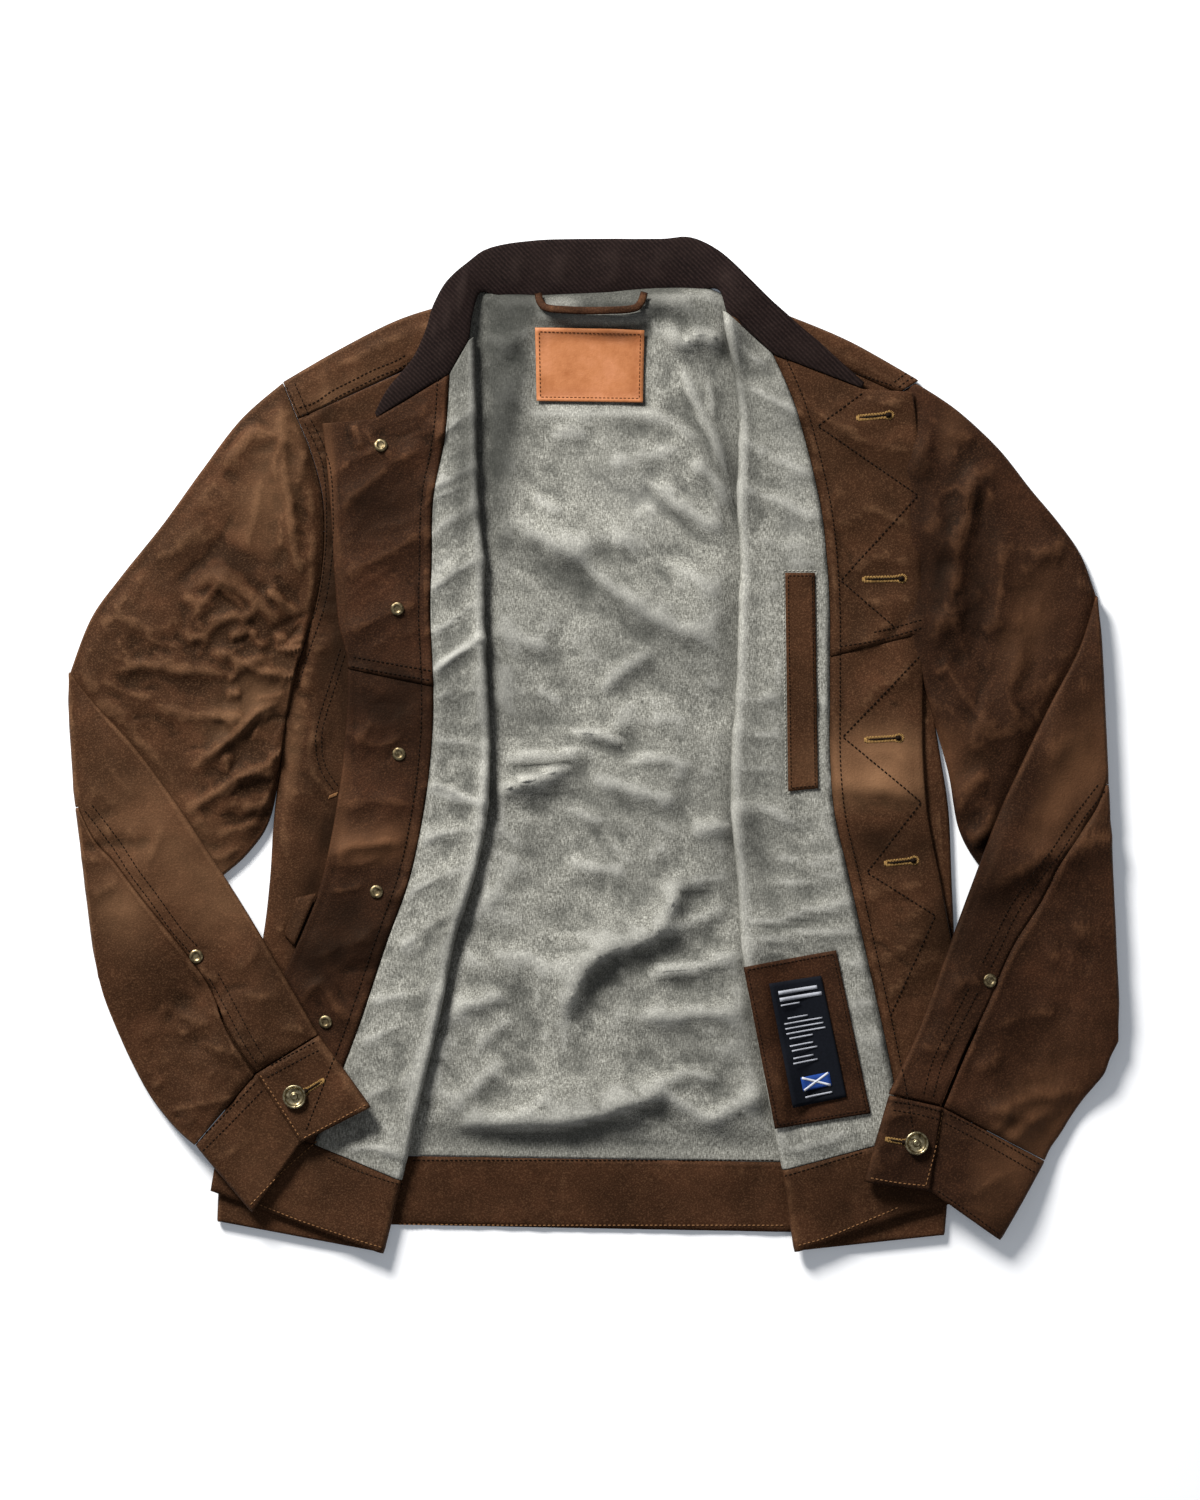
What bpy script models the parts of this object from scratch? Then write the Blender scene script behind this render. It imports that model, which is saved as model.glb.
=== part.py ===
"""Waxed cotton trucker jacket, lying flat on its back with both fronts folded open.

Lengths are millimetres, turned into metres when a mesh is made. +X is the wearer's
left, +Y is towards the collar and +Z is up. The floor is z = 0. The middle of the
jacket is the origin. "Right" and "left" are the wearer's.

From the floor up the body is: back shell, back lining, the lower run of each front
(outer face up), and the upper run of each front (folded outwards, inside up). Each
sleeve is a flattened tube on the floor beside the body, folded over once at the elbow,
so that the forearm and the cuff lie on top of the front.
"""

import math
from collections import namedtuple

import bmesh
import bpy
from mathutils import Vector
from mathutils.bvhtree import BVHTree

MM = 0.001
MERGE_DISTANCE = 0.00005

# Driving dimensions of the cloth.
WALL = 1.0
SEAM = 0.4
LAYER_AIR = 1.0
FOLD_AIR = 1.6
DOUBLE_WALL = 2 * WALL + SEAM
SEWN_GAP = 0.3

# Heights of the middle of each cloth layer above the floor.
BACK_SHELL_Z = WALL / 2
BACK_LINING_Z = BACK_SHELL_Z + WALL + SEAM
LOW_LINING_Z = BACK_LINING_Z + WALL + LAYER_AIR
LOW_SHELL_Z = LOW_LINING_Z + WALL + SEAM
TOP_SHELL_Z = LOW_SHELL_Z + WALL + FOLD_AIR
TOP_LINING_Z = TOP_SHELL_Z + WALL + SEAM
BODY_TOP = TOP_LINING_Z + WALL / 2

# The fold of a front turns about one axis: the shell inside, the lining outside.
FOLD_AXIS_Z = (LOW_SHELL_Z + TOP_SHELL_Z) / 2
SHELL_TURN = (TOP_SHELL_Z - LOW_SHELL_Z) / 2
LINING_TURN = (TOP_LINING_Z - LOW_LINING_Z) / 2
FOLD_REACH = LINING_TURN + WALL / 2
LINING_RETURN = 26.0
ARC_STEPS = 4

# A sleeve is a flat tube; the forearm turns back over it at the elbow.
TUBE_TURN = (LOW_SHELL_Z - BACK_SHELL_Z) / 2
TUBE_HEIGHT = LOW_SHELL_Z + WALL / 2
CURL_REACH = 0.25 * TUBE_TURN
CURL_RISE = 0.45 * TUBE_TURN
FOREARM_AIR = 1.2
FOREARM_ON_SLEEVE = TUBE_HEIGHT + FOREARM_AIR
FOREARM_ON_BODY = BODY_TOP + FOREARM_AIR
ELBOW_AXIS_Z = (TUBE_HEIGHT + FOREARM_ON_SLEEVE) / 2
SUPPORT_MARGIN = 12.0
SUPPORT_SLOPE = 42.0
ARMHOLE_BOWS = (1.0, 0.55, 0.25, 0.08, 0.0, 0.0)

CUFF_WALL = 2.0
CUFF_LOW = CUFF_WALL / 2
CUFF_HIGH = TUBE_HEIGHT - CUFF_WALL / 2
CUFF_FLAP = CUFF_HIGH + CUFF_WALL + SEWN_GAP
CUFF_UNDERLAP = 16.0
CUFF_ROWS = 3

# One row of a front for each level from the yoke seam down to the hem: the side or
# armhole, the rolled fold, the seam of lining and facing, the button line, the edge.
FrontRow = namedtuple("FrontRow", "side fold facing buttons edge")

FRONT_RIGHT = (
    FrontRow((-199, 219), (-81, 274), (-97, 249), (-147, 219), (-182, 216)),
    FrontRow((-190, 197), (-79, 212), (-100, 208), (-142, 198), (-179, 191)),
    FrontRow((-182, 165), (-78, 165), (-108, 165), (-141, 160), (-176, 157)),
    FrontRow((-182, 125), (-74, 125), (-109, 125), (-140, 122), (-174, 120)),
    FrontRow((-189, 85), (-74, 85), (-110, 89), (-139, 86), (-171, 83)),
    FrontRow((-200, 50), (-72, 45), (-108, 41), (-137, 47), (-165, 53)),
    FrontRow((-209, 3), (-70, 1), (-109, 1), (-137, 1), (-167, 1)),
    FrontRow((-215, -44), (-72, -44), (-114, -41), (-143, -43), (-173, -45)),
    FrontRow((-218, -89), (-81, -89), (-124, -89), (-152, -91), (-183, -92)),
    FrontRow((-223, -130), (-94, -131), (-139, -131), (-168, -130), (-198, -130)),
    FrontRow((-234, -183), (-104, -183), (-157, -185), (-188, -181), (-219, -177)),
    FrontRow((-245, -237), (-117, -236), (-174, -230), (-206, -224), (-238, -218)),
    FrontRow((-251, -272), (-129, -290), (-188, -266), (-218, -257), (-249, -250)),
    FrontRow((-253, -318), (-141, -339), (-194, -320), (-226, -308), (-257, -297)),
)
FRONT_LEFT = (
    FrontRow((203, 236), (85, 291), (119, 262), (179, 239), (212, 237)),
    FrontRow((200, 205), (96, 225), (135, 224), (178, 215), (216, 205)),
    FrontRow((191, 165), (95, 165), (150, 165), (184, 165), (218, 165)),
    FrontRow((190, 125), (97, 125), (155, 125), (187, 125), (218, 125)),
    FrontRow((199, 98), (96, 93), (157, 90), (188, 93), (219, 98)),
    FrontRow((211, 67), (95, 60), (157, 61), (188, 69), (219, 77)),
    FrontRow((226, 21), (94, 29), (157, 30), (188, 32), (219, 33)),
    FrontRow((232, -10), (91, -5), (157, -5), (188, -5), (219, -5)),
    FrontRow((237, -44), (91, -44), (160, -44), (191, -44), (222, -44)),
    FrontRow((239, -89), (95, -89), (170, -88), (201, -90), (231, -91)),
    FrontRow((241, -143), (99, -143), (182, -142), (211, -140), (240, -138)),
    FrontRow((240, -210), (111, -210), (197, -210), (226, -200), (255, -194)),
    FrontRow((238, -280), (125, -283), (206, -262), (234, -256), (261, -249)),
    FrontRow((234, -327), (133, -338), (212, -312), (240, -305), (266, -297)),
)
CROSS_SEAM_ROW = 5
UNDERARM_ROW = 6
WAIST_ROW = 12
HEM_ROW = 13

# One row of a yoke for each place from the armhole to the neck: the shoulder edge, and
# how far along the seam with the front.
YokeRow = namedtuple("YokeRow", "shoulder part")

YOKE_RIGHT = (
    YokeRow((-209, 244), 0.0),
    YokeRow((-171, 266), 0.34),
    YokeRow((-131, 286), 0.68),
    YokeRow((-92, 298), 0.97),
)
YOKE_LEFT = (
    YokeRow((217, 245), 0.0),
    YokeRow((171, 271), 0.30),
    YokeRow((128, 289), 0.60),
    YokeRow((104, 298), 0.88),
)

# Edge of the back at the neck, between the two yokes.
NECK = ((-73, 301), (-37, 300), (3, 302), (44, 305), (80, 305))

# One row of a sleeve for each section: edge at the shoulder side, seam, underarm edge.
SleeveRow = namedtuple("SleeveRow", "outer seam inner")

UPPER_RIGHT = (
    SleeveRow((-209, 244), (-209, 145), (-209, 3)),
    SleeveRow((-237, 219), (-231, 116), (-221, -40)),
    SleeveRow((-263, 185), (-252, 84), (-236, -69)),
    SleeveRow((-289, 149), (-276, 52), (-257, -93)),
    SleeveRow((-317, 114), (-304, 21), (-285, -118)),
    SleeveRow((-337, 86), (-327, -4), (-312, -139)),
)
ELBOW_RIGHT = SleeveRow((-348, 50), (-342, -40), (-328, -155))
FOREARM_RIGHT = (
    SleeveRow((-332, 27), (-334, -62), (-327, -169)),
    SleeveRow((-308, 1), (-321, -76), (-320, -187)),
    SleeveRow((-281, -35), (-302, -101), (-310, -210)),
    SleeveRow((-255, -75), (-281, -132), (-298, -233)),
    SleeveRow((-231, -113), (-262, -160), (-286, -249)),
    SleeveRow((-208, -151), (-245, -188), (-276, -259)),
    SleeveRow((-184, -192), (-226, -218), (-267, -266)),
)
CUFF_EDGE_RIGHT = SleeveRow((-149, -240), (-196, -264), (-229, -311))

UPPER_LEFT = (
    SleeveRow((217, 245), (218, 155), (226, 21)),
    SleeveRow((243, 226), (240, 130), (237, -18)),
    SleeveRow((270, 200), (259, 97), (244, -56)),
    SleeveRow((291, 173), (278, 71), (259, -82)),
    SleeveRow((310, 150), (300, 46), (285, -111)),
    SleeveRow((325, 128), (320, 20), (313, -142)),
)
ELBOW_LEFT = SleeveRow((332, 101), (338, -25), (346, -198))
FOREARM_LEFT = (
    SleeveRow((324, 66), (335, -40), (344, -208)),
    SleeveRow((305, 30), (324, -57), (340, -219)),
    SleeveRow((286, -9), (310, -78), (334, -227)),
    SleeveRow((268, -49), (297, -104), (326, -237)),
    SleeveRow((251, -95), (278, -134), (318, -249)),
    SleeveRow((233, -144), (262, -170), (312, -259)),
    SleeveRow((216, -190), (246, -204), (305, -269)),
    SleeveRow((196, -232), (231, -240), (301, -277)),
)
CUFF_EDGE_LEFT = SleeveRow((179, -290), (223, -296), (271, -330))

# The collar stand, from the wearer's right tip round the neck to the left tip: the
# neck seam, the free edge, and the height of the middle of the band there.
CollarRow = namedtuple("CollarRow", "seam edge z")

NECK_REACH = 6.0
FRONT_BAND_Z = (TOP_SHELL_Z + TOP_LINING_Z) / 2
SHOULDER_BAND_Z = 4.6
NAPE_BAND_Z = 1.6
BACK_BAND_Z = 1.0
COLLAR = (
    CollarRow((-146, 220), (-147, 223), FRONT_BAND_Z),
    CollarRow((-134, 227), (-139, 238), FRONT_BAND_Z),
    CollarRow((-118, 236), (-130, 249), FRONT_BAND_Z),
    CollarRow((-106, 244), (-122, 259), FRONT_BAND_Z),
    CollarRow((-97, 249), (-116, 271), FRONT_BAND_Z),
    CollarRow((-90, 261), (-112, 282), FRONT_BAND_Z),
    CollarRow((-84, 272), (-108, 295), FRONT_BAND_Z),
    CollarRow((-82, 287), (-99, 311), FRONT_BAND_Z),
    CollarRow((-77, 303), (-84, 325), SHOULDER_BAND_Z),
    CollarRow((-64, 301), (-70, 334), NAPE_BAND_Z),
    CollarRow((-37, 300), (-40, 339), BACK_BAND_Z),
    CollarRow((3, 302), (3, 340), BACK_BAND_Z),
    CollarRow((44, 305), (44, 340), BACK_BAND_Z),
    CollarRow((68, 305), (64, 341), NAPE_BAND_Z),
    CollarRow((83, 305), (84, 331), SHOULDER_BAND_Z),
    CollarRow((88, 290), (104, 312), FRONT_BAND_Z),
    CollarRow((98, 281), (115, 301), FRONT_BAND_Z),
    CollarRow((108, 271), (126, 291), FRONT_BAND_Z),
    CollarRow((119, 262), (137, 281), FRONT_BAND_Z),
    CollarRow((134, 256), (149, 271), FRONT_BAND_Z),
    CollarRow((149, 250), (161, 260), FRONT_BAND_Z),
    CollarRow((164, 245), (171, 251), FRONT_BAND_Z),
    CollarRow((178, 239), (180, 243), FRONT_BAND_Z),
)

# The largest folds of the lining: middle, direction in degrees, size and height.
FoldRow = namedtuple("FoldRow", "x y heading length width height")

LINING_FOLDS = (
    FoldRow(62, 240, -62, 90, 16, 2.6),
    FoldRow(40, 165, -50, 60, 20, 1.8),
    FoldRow(20, 110, -30, 120, 26, 2.2),
    FoldRow(-40, -22, -12, 70, 18, 2.6),
    FoldRow(-25, -175, 62, 80, 20, 2.4),
    FoldRow(45, -140, 28, 90, 20, 2.4),
    FoldRow(60, -180, 20, 80, 22, 2.0),
    FoldRow(-20, -244, 3, 150, 18, 1.8),
)

# The part of the back lining that no front covers, inside which its folds fade out.
OPEN_RIGHT = -70.0
OPEN_LEFT = 90.0
OPEN_TOP = 290.0
OPEN_BOTTOM = -262.0
FLARE_FROM = -50.0
RIGHT_FLARE = 0.27
LEFT_FLARE = 0.13
OPEN_INSET = 6.0
OPEN_FADE = 16.0

# Hardware: where each piece sits. The tack caps are the backs of the front's buttons.
TACKS = (
    ("tack_cap_1", -143, 201),
    ("tack_cap_2", -132, 92),
    ("tack_cap_3", -131, -5),
    ("tack_cap_4", -146, -97),
    ("tack_cap_5", -180, -184),
)
CUFF_BUTTONS = (
    ("cuff_button_right", "cuff_right", -200, -233),
    ("cuff_button_left", "cuff_left", 214, -264),
)
VENT_RIVETS = (
    ("vent_rivet_right", "sleeve_right", -266, -140),
    ("vent_rivet_left", "sleeve_left", 263, -156),
)
HARDWARE_GAP = 0.4
RIM_CHECKS = 12
TURN_STEPS = 12
DROP_FROM = 100.0
TACK_RADIUS = 4.4
RIVET_RADIUS = 4.6
BUTTON_RADIUS = 8.0

# Turned profiles: radius and height, from the middle of the underside round to the top.
TACK_PROFILE = (
    (0, 0), (4.0, 0), (TACK_RADIUS, 0.4), (TACK_RADIUS, 0.9), (3.6, 1.4), (2.6, 1.5),
    (2.2, 1.2), (0, 1.2),
)
RIVET_PROFILE = (
    (0, 0), (RIVET_RADIUS, 0), (RIVET_RADIUS, 0.6), (4.0, 1.2), (2.4, 1.3), (1.9, 0.7),
    (0, 0.7),
)
BUTTON_PROFILE = (
    (0, 0), (3.0, 0), (3.2, 0.8), (6.6, 1.0), (7.7, 1.6), (BUTTON_RADIUS, 2.5),
    (7.6, 3.4), (6.6, 3.8), (5.6, 3.4), (5.0, 2.6), (0, 2.5),
)

# Flat pieces sewn on: four corners, the top left one first, going round clockwise.
LEATHER_PATCH = ((-40, 280), (33, 278), (32, 230), (-39, 231))
POCKET_WELT = ((127, 116), (147, 116), (149, -28), (129, -30))
LABEL_PATCH = ((99, -147), (161, -136), (184, -245), (120, -255))
WOVEN_LABEL = ((116, -158), (151, -153), (168, -234), (132, -241))
HAND_WELT_RIGHT = ((-200, -101), (-186, -98), (-201, -133), (-208, -126))
HANGER_LOOP = ((-41, 295), (-31, 291), (-2, 290), (25, 290), (36, 294))
LOOP_WIDTH = 7.0
LOOP_WALL = 1.4
WELT_WALL = 0.8

Material = namedtuple("Material", "name colour roughness metallic")

WAXED_COTTON = Material("waxed_cotton", (0.100, 0.043, 0.020), 0.55, 0.0)
LINING_CLOTH = Material("lining_cloth", (0.250, 0.255, 0.240), 0.90, 0.0)
COLLAR_CLOTH = Material("collar_cloth", (0.035, 0.022, 0.018), 0.85, 0.0)
TAN_LEATHER = Material("tan_leather", (0.560, 0.260, 0.120), 0.50, 0.0)
LABEL_CLOTH = Material("label_cloth", (0.010, 0.013, 0.025), 0.75, 0.0)
AGED_BRASS = Material("aged_brass", (0.400, 0.340, 0.220), 0.35, 1.0)


def flat(point):
    """A place on the floor plan as a vector."""
    return Vector((point[0], point[1]))


def lift_to(point, z):
    """The plan point raised to a height."""
    return Vector((point.x, point.y, z))


def smoothstep(t):
    """0 below 0, 1 above 1, and a smooth rise between."""
    t = min(max(t, 0.0), 1.0)
    return t * t * (3 - 2 * t)


def refine(points, steps=2):
    """A smooth curve through the points, with this many steps between each two."""
    dense = []
    for i in range(len(points) - 1):
        before = points[max(i - 1, 0)]
        start = points[i]
        end = points[i + 1]
        after = points[min(i + 2, len(points) - 1)]
        for k in range(steps):
            t = k / steps
            pull = (end - before) * 0.5
            push = (after - start) * 0.5
            dense.append(
                start * (2 * t**3 - 3 * t**2 + 1)
                + pull * (t**3 - 2 * t**2 + t)
                + end * (3 * t**2 - 2 * t**3)
                + push * (t**3 - t**2)
            )
    dense.append(points[-1].copy())
    return dense


def columns(table, name):
    """One named column of a table as plan points."""
    return [flat(getattr(row, name)) for row in table]


def trimmed(line, start=0.0, end=0.0):
    """The line with its ends pulled in along it by these lengths."""
    line = [point.copy() for point in line]
    if start:
        line[0] += (line[1] - line[0]).normalized() * start
    if end:
        line[-1] += (line[-2] - line[-1]).normalized() * end
    return line


def trimmed_rows(rows, first=0.0, last=0.0):
    """The grid with its first and last rows pulled in by these lengths."""
    lines = [trimmed(line, first, last) for line in zip(*rows)]
    return [list(row) for row in zip(*lines)]


def between(start, end, count):
    """Points on the straight line, without its ends."""
    return [start.lerp(end, k / (count + 1)) for k in range(1, count + 1)]


def turn(axis, outward, axis_z, radius, low_first=True):
    """Half a circle about a fold's axis, from the lower layer to the upper one."""
    arc = []
    for k in range(ARC_STEPS + 1):
        angle = math.pi * (k / ARC_STEPS - 0.5)
        reach = axis + outward * radius * math.cos(angle)
        arc.append(lift_to(reach, axis_z + radius * math.sin(angle)))
    return arc if low_first else arc[::-1]


def make_material(spec):
    """A Principled material."""
    material = bpy.data.materials.new(spec.name)
    material.use_nodes = True
    shader = material.node_tree.nodes["Principled BSDF"]
    shader.inputs["Base Color"].default_value = (*spec.colour, 1.0)
    shader.inputs["Roughness"].default_value = spec.roughness
    shader.inputs["Metallic"].default_value = spec.metallic
    material.diffuse_color = (*spec.colour, 1.0)
    return material


class Jacket:
    """Collects the parts in one collection, each with a material of its own."""

    def __init__(self):
        for item in list(bpy.data.objects):
            bpy.data.objects.remove(item)
        self.collection = bpy.data.collections.new("waxed_cotton_jacket")
        bpy.context.scene.collection.children.link(self.collection)

    def add(self, name, mesh, spec):
        """A mesh as a named part."""
        part = bpy.data.objects.new(name, mesh)
        mesh.materials.append(make_material(spec._replace(name=f"{spec.name}_{name}")))
        self.collection.objects.link(part)
        return part

    def cloth(self, name, rows, spec, wall=WALL):
        """A sheet through rows of points in mm, given its thickness by Solidify."""
        mesh = bpy.data.meshes.new(name)
        build = bmesh.new()
        grid = [[build.verts.new(point * MM) for point in row] for row in rows]
        for low, high in zip(grid, grid[1:]):
            for k in range(len(low) - 1):
                build.faces.new((low[k], low[k + 1], high[k + 1], high[k]))
        bmesh.ops.recalc_face_normals(build, faces=build.faces)
        build.to_mesh(mesh)
        build.free()
        part = self.add(name, mesh, spec)
        solid = part.modifiers.new("thickness", "SOLIDIFY")
        solid.thickness = wall * MM
        solid.offset = 0.0
        solid.use_quality_normals = True
        return part

    def turned(self, name, profile, place, tilt, spec):
        """A round piece from a profile of radius and height, set on its place."""
        mesh = bpy.data.meshes.new(name)
        points = [(radius * MM, 0.0, height * MM) for radius, height in profile]
        edges = [(k, k + 1) for k in range(len(points) - 1)]
        mesh.from_pydata(points, edges, [])
        part = self.add(name, mesh, spec)
        part.location = place * MM
        part.rotation_euler = tilt
        screw = part.modifiers.new("turn", "SCREW")
        screw.axis = "Z"
        screw.steps = TURN_STEPS
        screw.render_steps = TURN_STEPS
        screw.use_merge_vertices = True
        screw.merge_threshold = MERGE_DISTANCE
        screw.use_normal_calculate = True
        return part


def lining_lift(x, y):
    """Height that the largest folds add to the lining at a place."""
    height = 0.0
    for fold in LINING_FOLDS:
        heading = math.radians(fold.heading)
        along = (x - fold.x) * math.cos(heading) + (y - fold.y) * math.sin(heading)
        across = (y - fold.y) * math.cos(heading) - (x - fold.x) * math.sin(heading)
        fade = smoothstep(1 - abs(along) / (fold.length / 2))
        height += fold.height * fade * math.exp(-((across / (fold.width / 2)) ** 2))
    return height


def side_closure(row):
    """1 where the side seam closes the edge, and 0 along the armhole."""
    return 1.0 if row > UNDERARM_ROW else 0.0


class Front:
    """The plan of one front panel, row by row."""

    def __init__(self, table):
        shell = table[: WAIST_ROW + 1]
        self.side = columns(shell, "side")
        self.fold = columns(shell, "fold")
        self.facing = columns(shell, "facing")
        self.buttons = columns(shell, "buttons")
        self.edge = columns(shell, "edge")
        self.rows = len(self.side)

    def axis(self, row):
        """The axis of the rolled fold at this row, and the way out from it."""
        from_side = (self.fold[row] - self.side[row]).normalized()
        from_edge = (self.fold[row] - self.facing[row]).normalized()
        outward = (from_side + from_edge).normalized()
        return self.fold[row] - outward * FOLD_REACH, outward

    def shell_row(self, row):
        """Side, lower run, fold and upper run of the waxed cloth."""
        axis, outward = self.axis(row)
        inward = (axis - self.side[row]).normalized()
        closed = side_closure(row)
        drop = TUBE_TURN - SEAM / 2
        line = [lift_to(self.side[row] + inward * WALL / 2, LOW_SHELL_Z - drop * closed)]
        shoulder = self.side[row] + inward * (WALL / 2 + CURL_REACH)
        line.append(lift_to(shoulder, LOW_SHELL_Z - CURL_RISE * closed))
        flat_from = self.side[row] + inward * (WALL / 2 + TUBE_TURN)
        line.append(lift_to(flat_from, LOW_SHELL_Z))
        low = lift_to(axis, LOW_SHELL_Z)
        line += between(line[-1], low, 3)
        line += turn(axis, outward, FOLD_AXIS_Z, SHELL_TURN)
        line += self.upper_run(row, axis, TOP_SHELL_Z)
        return line

    def upper_run(self, row, axis, z):
        """From the fold to the front edge, without the point on the axis."""
        seam = lift_to(self.facing[row], z)
        buttons = lift_to(self.buttons[row], z)
        edge = lift_to(self.edge[row], z)
        run = between(lift_to(axis, z), seam, 2) + [seam]
        run += between(seam, buttons, 1) + [buttons]
        run += between(buttons, edge, 1) + [edge]
        return run

    def lining_row(self, row):
        """A short return under the fold, the fold, and the run to the facing."""
        axis, outward = self.axis(row)
        inward = (axis - self.side[row]).normalized()
        low = lift_to(axis, LOW_LINING_Z)
        start = low - lift_to(inward, 0.0) * LINING_RETURN
        line = [start, start.lerp(low, 0.5)]
        line += turn(axis, outward, FOLD_AXIS_Z, LINING_TURN)
        line += self.upper_run(row, axis, TOP_LINING_Z)[:3]
        return trimmed(line, end=SEAM / 2)

    def facing_row(self, row):
        """From the lining's seam to the front edge."""
        axis, _outward = self.axis(row)
        line = self.upper_run(row, axis, TOP_LINING_Z)[2:]
        return trimmed(line, start=SEAM / 2)


def build_front(jacket, side_name, table):
    """Shell, lining and two facing pieces of one front."""
    front = Front(table)
    cross = CROSS_SEAM_ROW
    rows = range(front.rows)
    shell = [trimmed(front.shell_row(row), start=SEAM / 2) for row in rows]
    jacket.cloth(f"front_{side_name}_shell", trimmed_rows(shell, SEAM / 2, SEAM / 2), WAXED_COTTON)
    lining = [front.lining_row(row) for row in rows]
    jacket.cloth(f"front_{side_name}_lining", trimmed_rows(lining, SEAM / 2, SEAM / 2), LINING_CLOTH)
    facing = [front.facing_row(row) for row in rows]
    pieces = (("upper", facing[: cross + 1]), ("lower", facing[cross:]))
    for part_name, piece in pieces:
        name = f"front_{side_name}_facing_{part_name}"
        jacket.cloth(name, trimmed_rows(piece, SEAM / 2, SEAM / 2), WAXED_COTTON)


def yoke_seams(table, front_table):
    """Points of the seam between a yoke and its front, from the armhole inwards."""
    front = Front(front_table)
    axis, _outward = front.axis(0)
    return [front.side[0].lerp(axis, row.part) for row in table]


def build_yoke(jacket, side_name, table, front_table):
    """The strip over one shoulder, from the front seam round to the back."""
    shoulders = columns(table, "shoulder")
    seams = yoke_seams(table, front_table)
    rows = []
    for shoulder, seam in zip(shoulders, seams):
        outward = (shoulder - seam).normalized()
        axis = shoulder - outward * (TUBE_TURN + WALL / 2)
        mid_z = (LOW_SHELL_Z + BACK_SHELL_Z) / 2
        low = [lift_to(seam, BACK_SHELL_Z)]
        high = [lift_to(seam, LOW_SHELL_Z)]
        row = low + between(low[0], lift_to(axis, BACK_SHELL_Z), 1)
        row += turn(axis, outward, mid_z, TUBE_TURN)
        row += between(lift_to(axis, LOW_SHELL_Z), high[0], 1) + high
        rows.append(trimmed(row, SEAM / 2, SEAM / 2))
    jacket.cloth(f"yoke_{side_name}", trimmed_rows(rows, SEAM / 2), WAXED_COTTON)


def back_grid(fractions, top_line, right, left, inset):
    """Rows across the back from the top line to the waist seam."""
    rows = [[point.copy() for point in top_line]]
    for low, high in list(zip(right, left))[1:]:
        start = low + Vector((inset, 0))
        end = high - Vector((inset, 0))
        rows.append([start.lerp(end, part) for part in fractions])
    return rows


def build_back(jacket):
    """Back shell and back lining."""
    right = columns(FRONT_RIGHT[: WAIST_ROW + 1], "side")
    left = columns(FRONT_LEFT[: WAIST_ROW + 1], "side")
    top = yoke_seams(YOKE_RIGHT, FRONT_RIGHT)
    top += [flat(point) for point in NECK]
    top += yoke_seams(YOKE_LEFT, FRONT_LEFT)[::-1]
    width = top[-1].x - top[0].x
    fractions = [(point.x - top[0].x) / width for point in top]
    plan = back_grid(fractions, top, right, left, 0.0)
    shell = []
    for number, line in enumerate(plan):
        closed = side_closure(number)
        row = [lift_to(point, BACK_SHELL_Z) for point in line]
        for end, step in ((0, 1), (-1, -1)):
            out = Vector((step * WALL / 2, 0, 0))
            edge = row[end] + out
            rise = (TUBE_TURN - SEAM / 2) * closed
            base = edge + Vector((step * TUBE_TURN, 0, 0))
            curl = edge + Vector((step * CURL_REACH, 0, CURL_RISE * closed))
            edge.z += rise
            row[end] = edge
            row.insert(1 if end == 0 else len(row) - 1, curl)
            row.insert(2 if end == 0 else len(row) - 2, base)
        shell.append(trimmed(row, SEAM / 2, SEAM / 2))
    jacket.cloth("back_shell", trimmed_rows(shell, SEAM / 2, SEAM / 2), WAXED_COTTON)

    inset = 2 * TUBE_TURN
    plan = back_grid(fractions, top, right, left, inset)
    lining = []
    for line in plan:
        lining.append([lift_to(p, BACK_LINING_Z + open_lift(p)) for p in line])
    lining = [trimmed(row, inset, inset) for row in lining[:1]] + lining[1:]
    jacket.cloth("back_lining", trimmed_rows(lining, SEAM, SEAM / 2), LINING_CLOTH)


def open_lift(point):
    """The lining's folds, faded out where a front covers it."""
    flare = min(point.y - FLARE_FROM, 0.0)
    right_fold = OPEN_RIGHT + flare * RIGHT_FLARE
    left_fold = OPEN_LEFT - flare * LEFT_FLARE
    inside = min(point.x - right_fold, left_fold - point.x) - OPEN_INSET
    below_neck = OPEN_TOP - point.y
    above_waist = point.y - OPEN_BOTTOM
    fade = smoothstep(min(inside, below_neck, above_waist) / OPEN_FADE)
    return lining_lift(point.x, point.y) * fade


def waist_path(right_row, left_row):
    """The waistband's way round: right edge, fold, side, back, side, fold, left edge."""
    top_z = (TOP_SHELL_Z + TOP_LINING_Z) / 2
    low_z = (LOW_SHELL_Z + LOW_LINING_Z) / 2
    back_z = (BACK_SHELL_Z + BACK_LINING_Z) / 2
    halves = []
    for row in (right_row, left_row):
        side, fold, facing, buttons, edge = [flat(point) for point in row]
        outward = ((fold - side).normalized() + (fold - facing).normalized()).normalized()
        axis = fold - outward * FOLD_REACH
        radius = (top_z - low_z) / 2
        line = [lift_to(point, top_z) for point in (edge, buttons, facing)]
        line += between(lift_to(facing, top_z), lift_to(axis, top_z), 2)
        line += turn(axis, outward, FOLD_AXIS_Z, radius, low_first=False)
        side_radius = (low_z - back_z) / 2
        side_out = Vector((math.copysign(1.0, side.x), 0))
        side_axis = side - side_out * (side_radius + DOUBLE_WALL / 2)
        line += between(lift_to(axis, low_z), lift_to(side_axis, low_z), 4)
        mid_z = (low_z + back_z) / 2
        line += turn(side_axis, side_out, mid_z, side_radius, low_first=False)
        halves.append(line)
    right_half, left_half = halves
    across = between(right_half[-1], left_half[-1], 12)
    return right_half + across + left_half[::-1]


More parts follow.
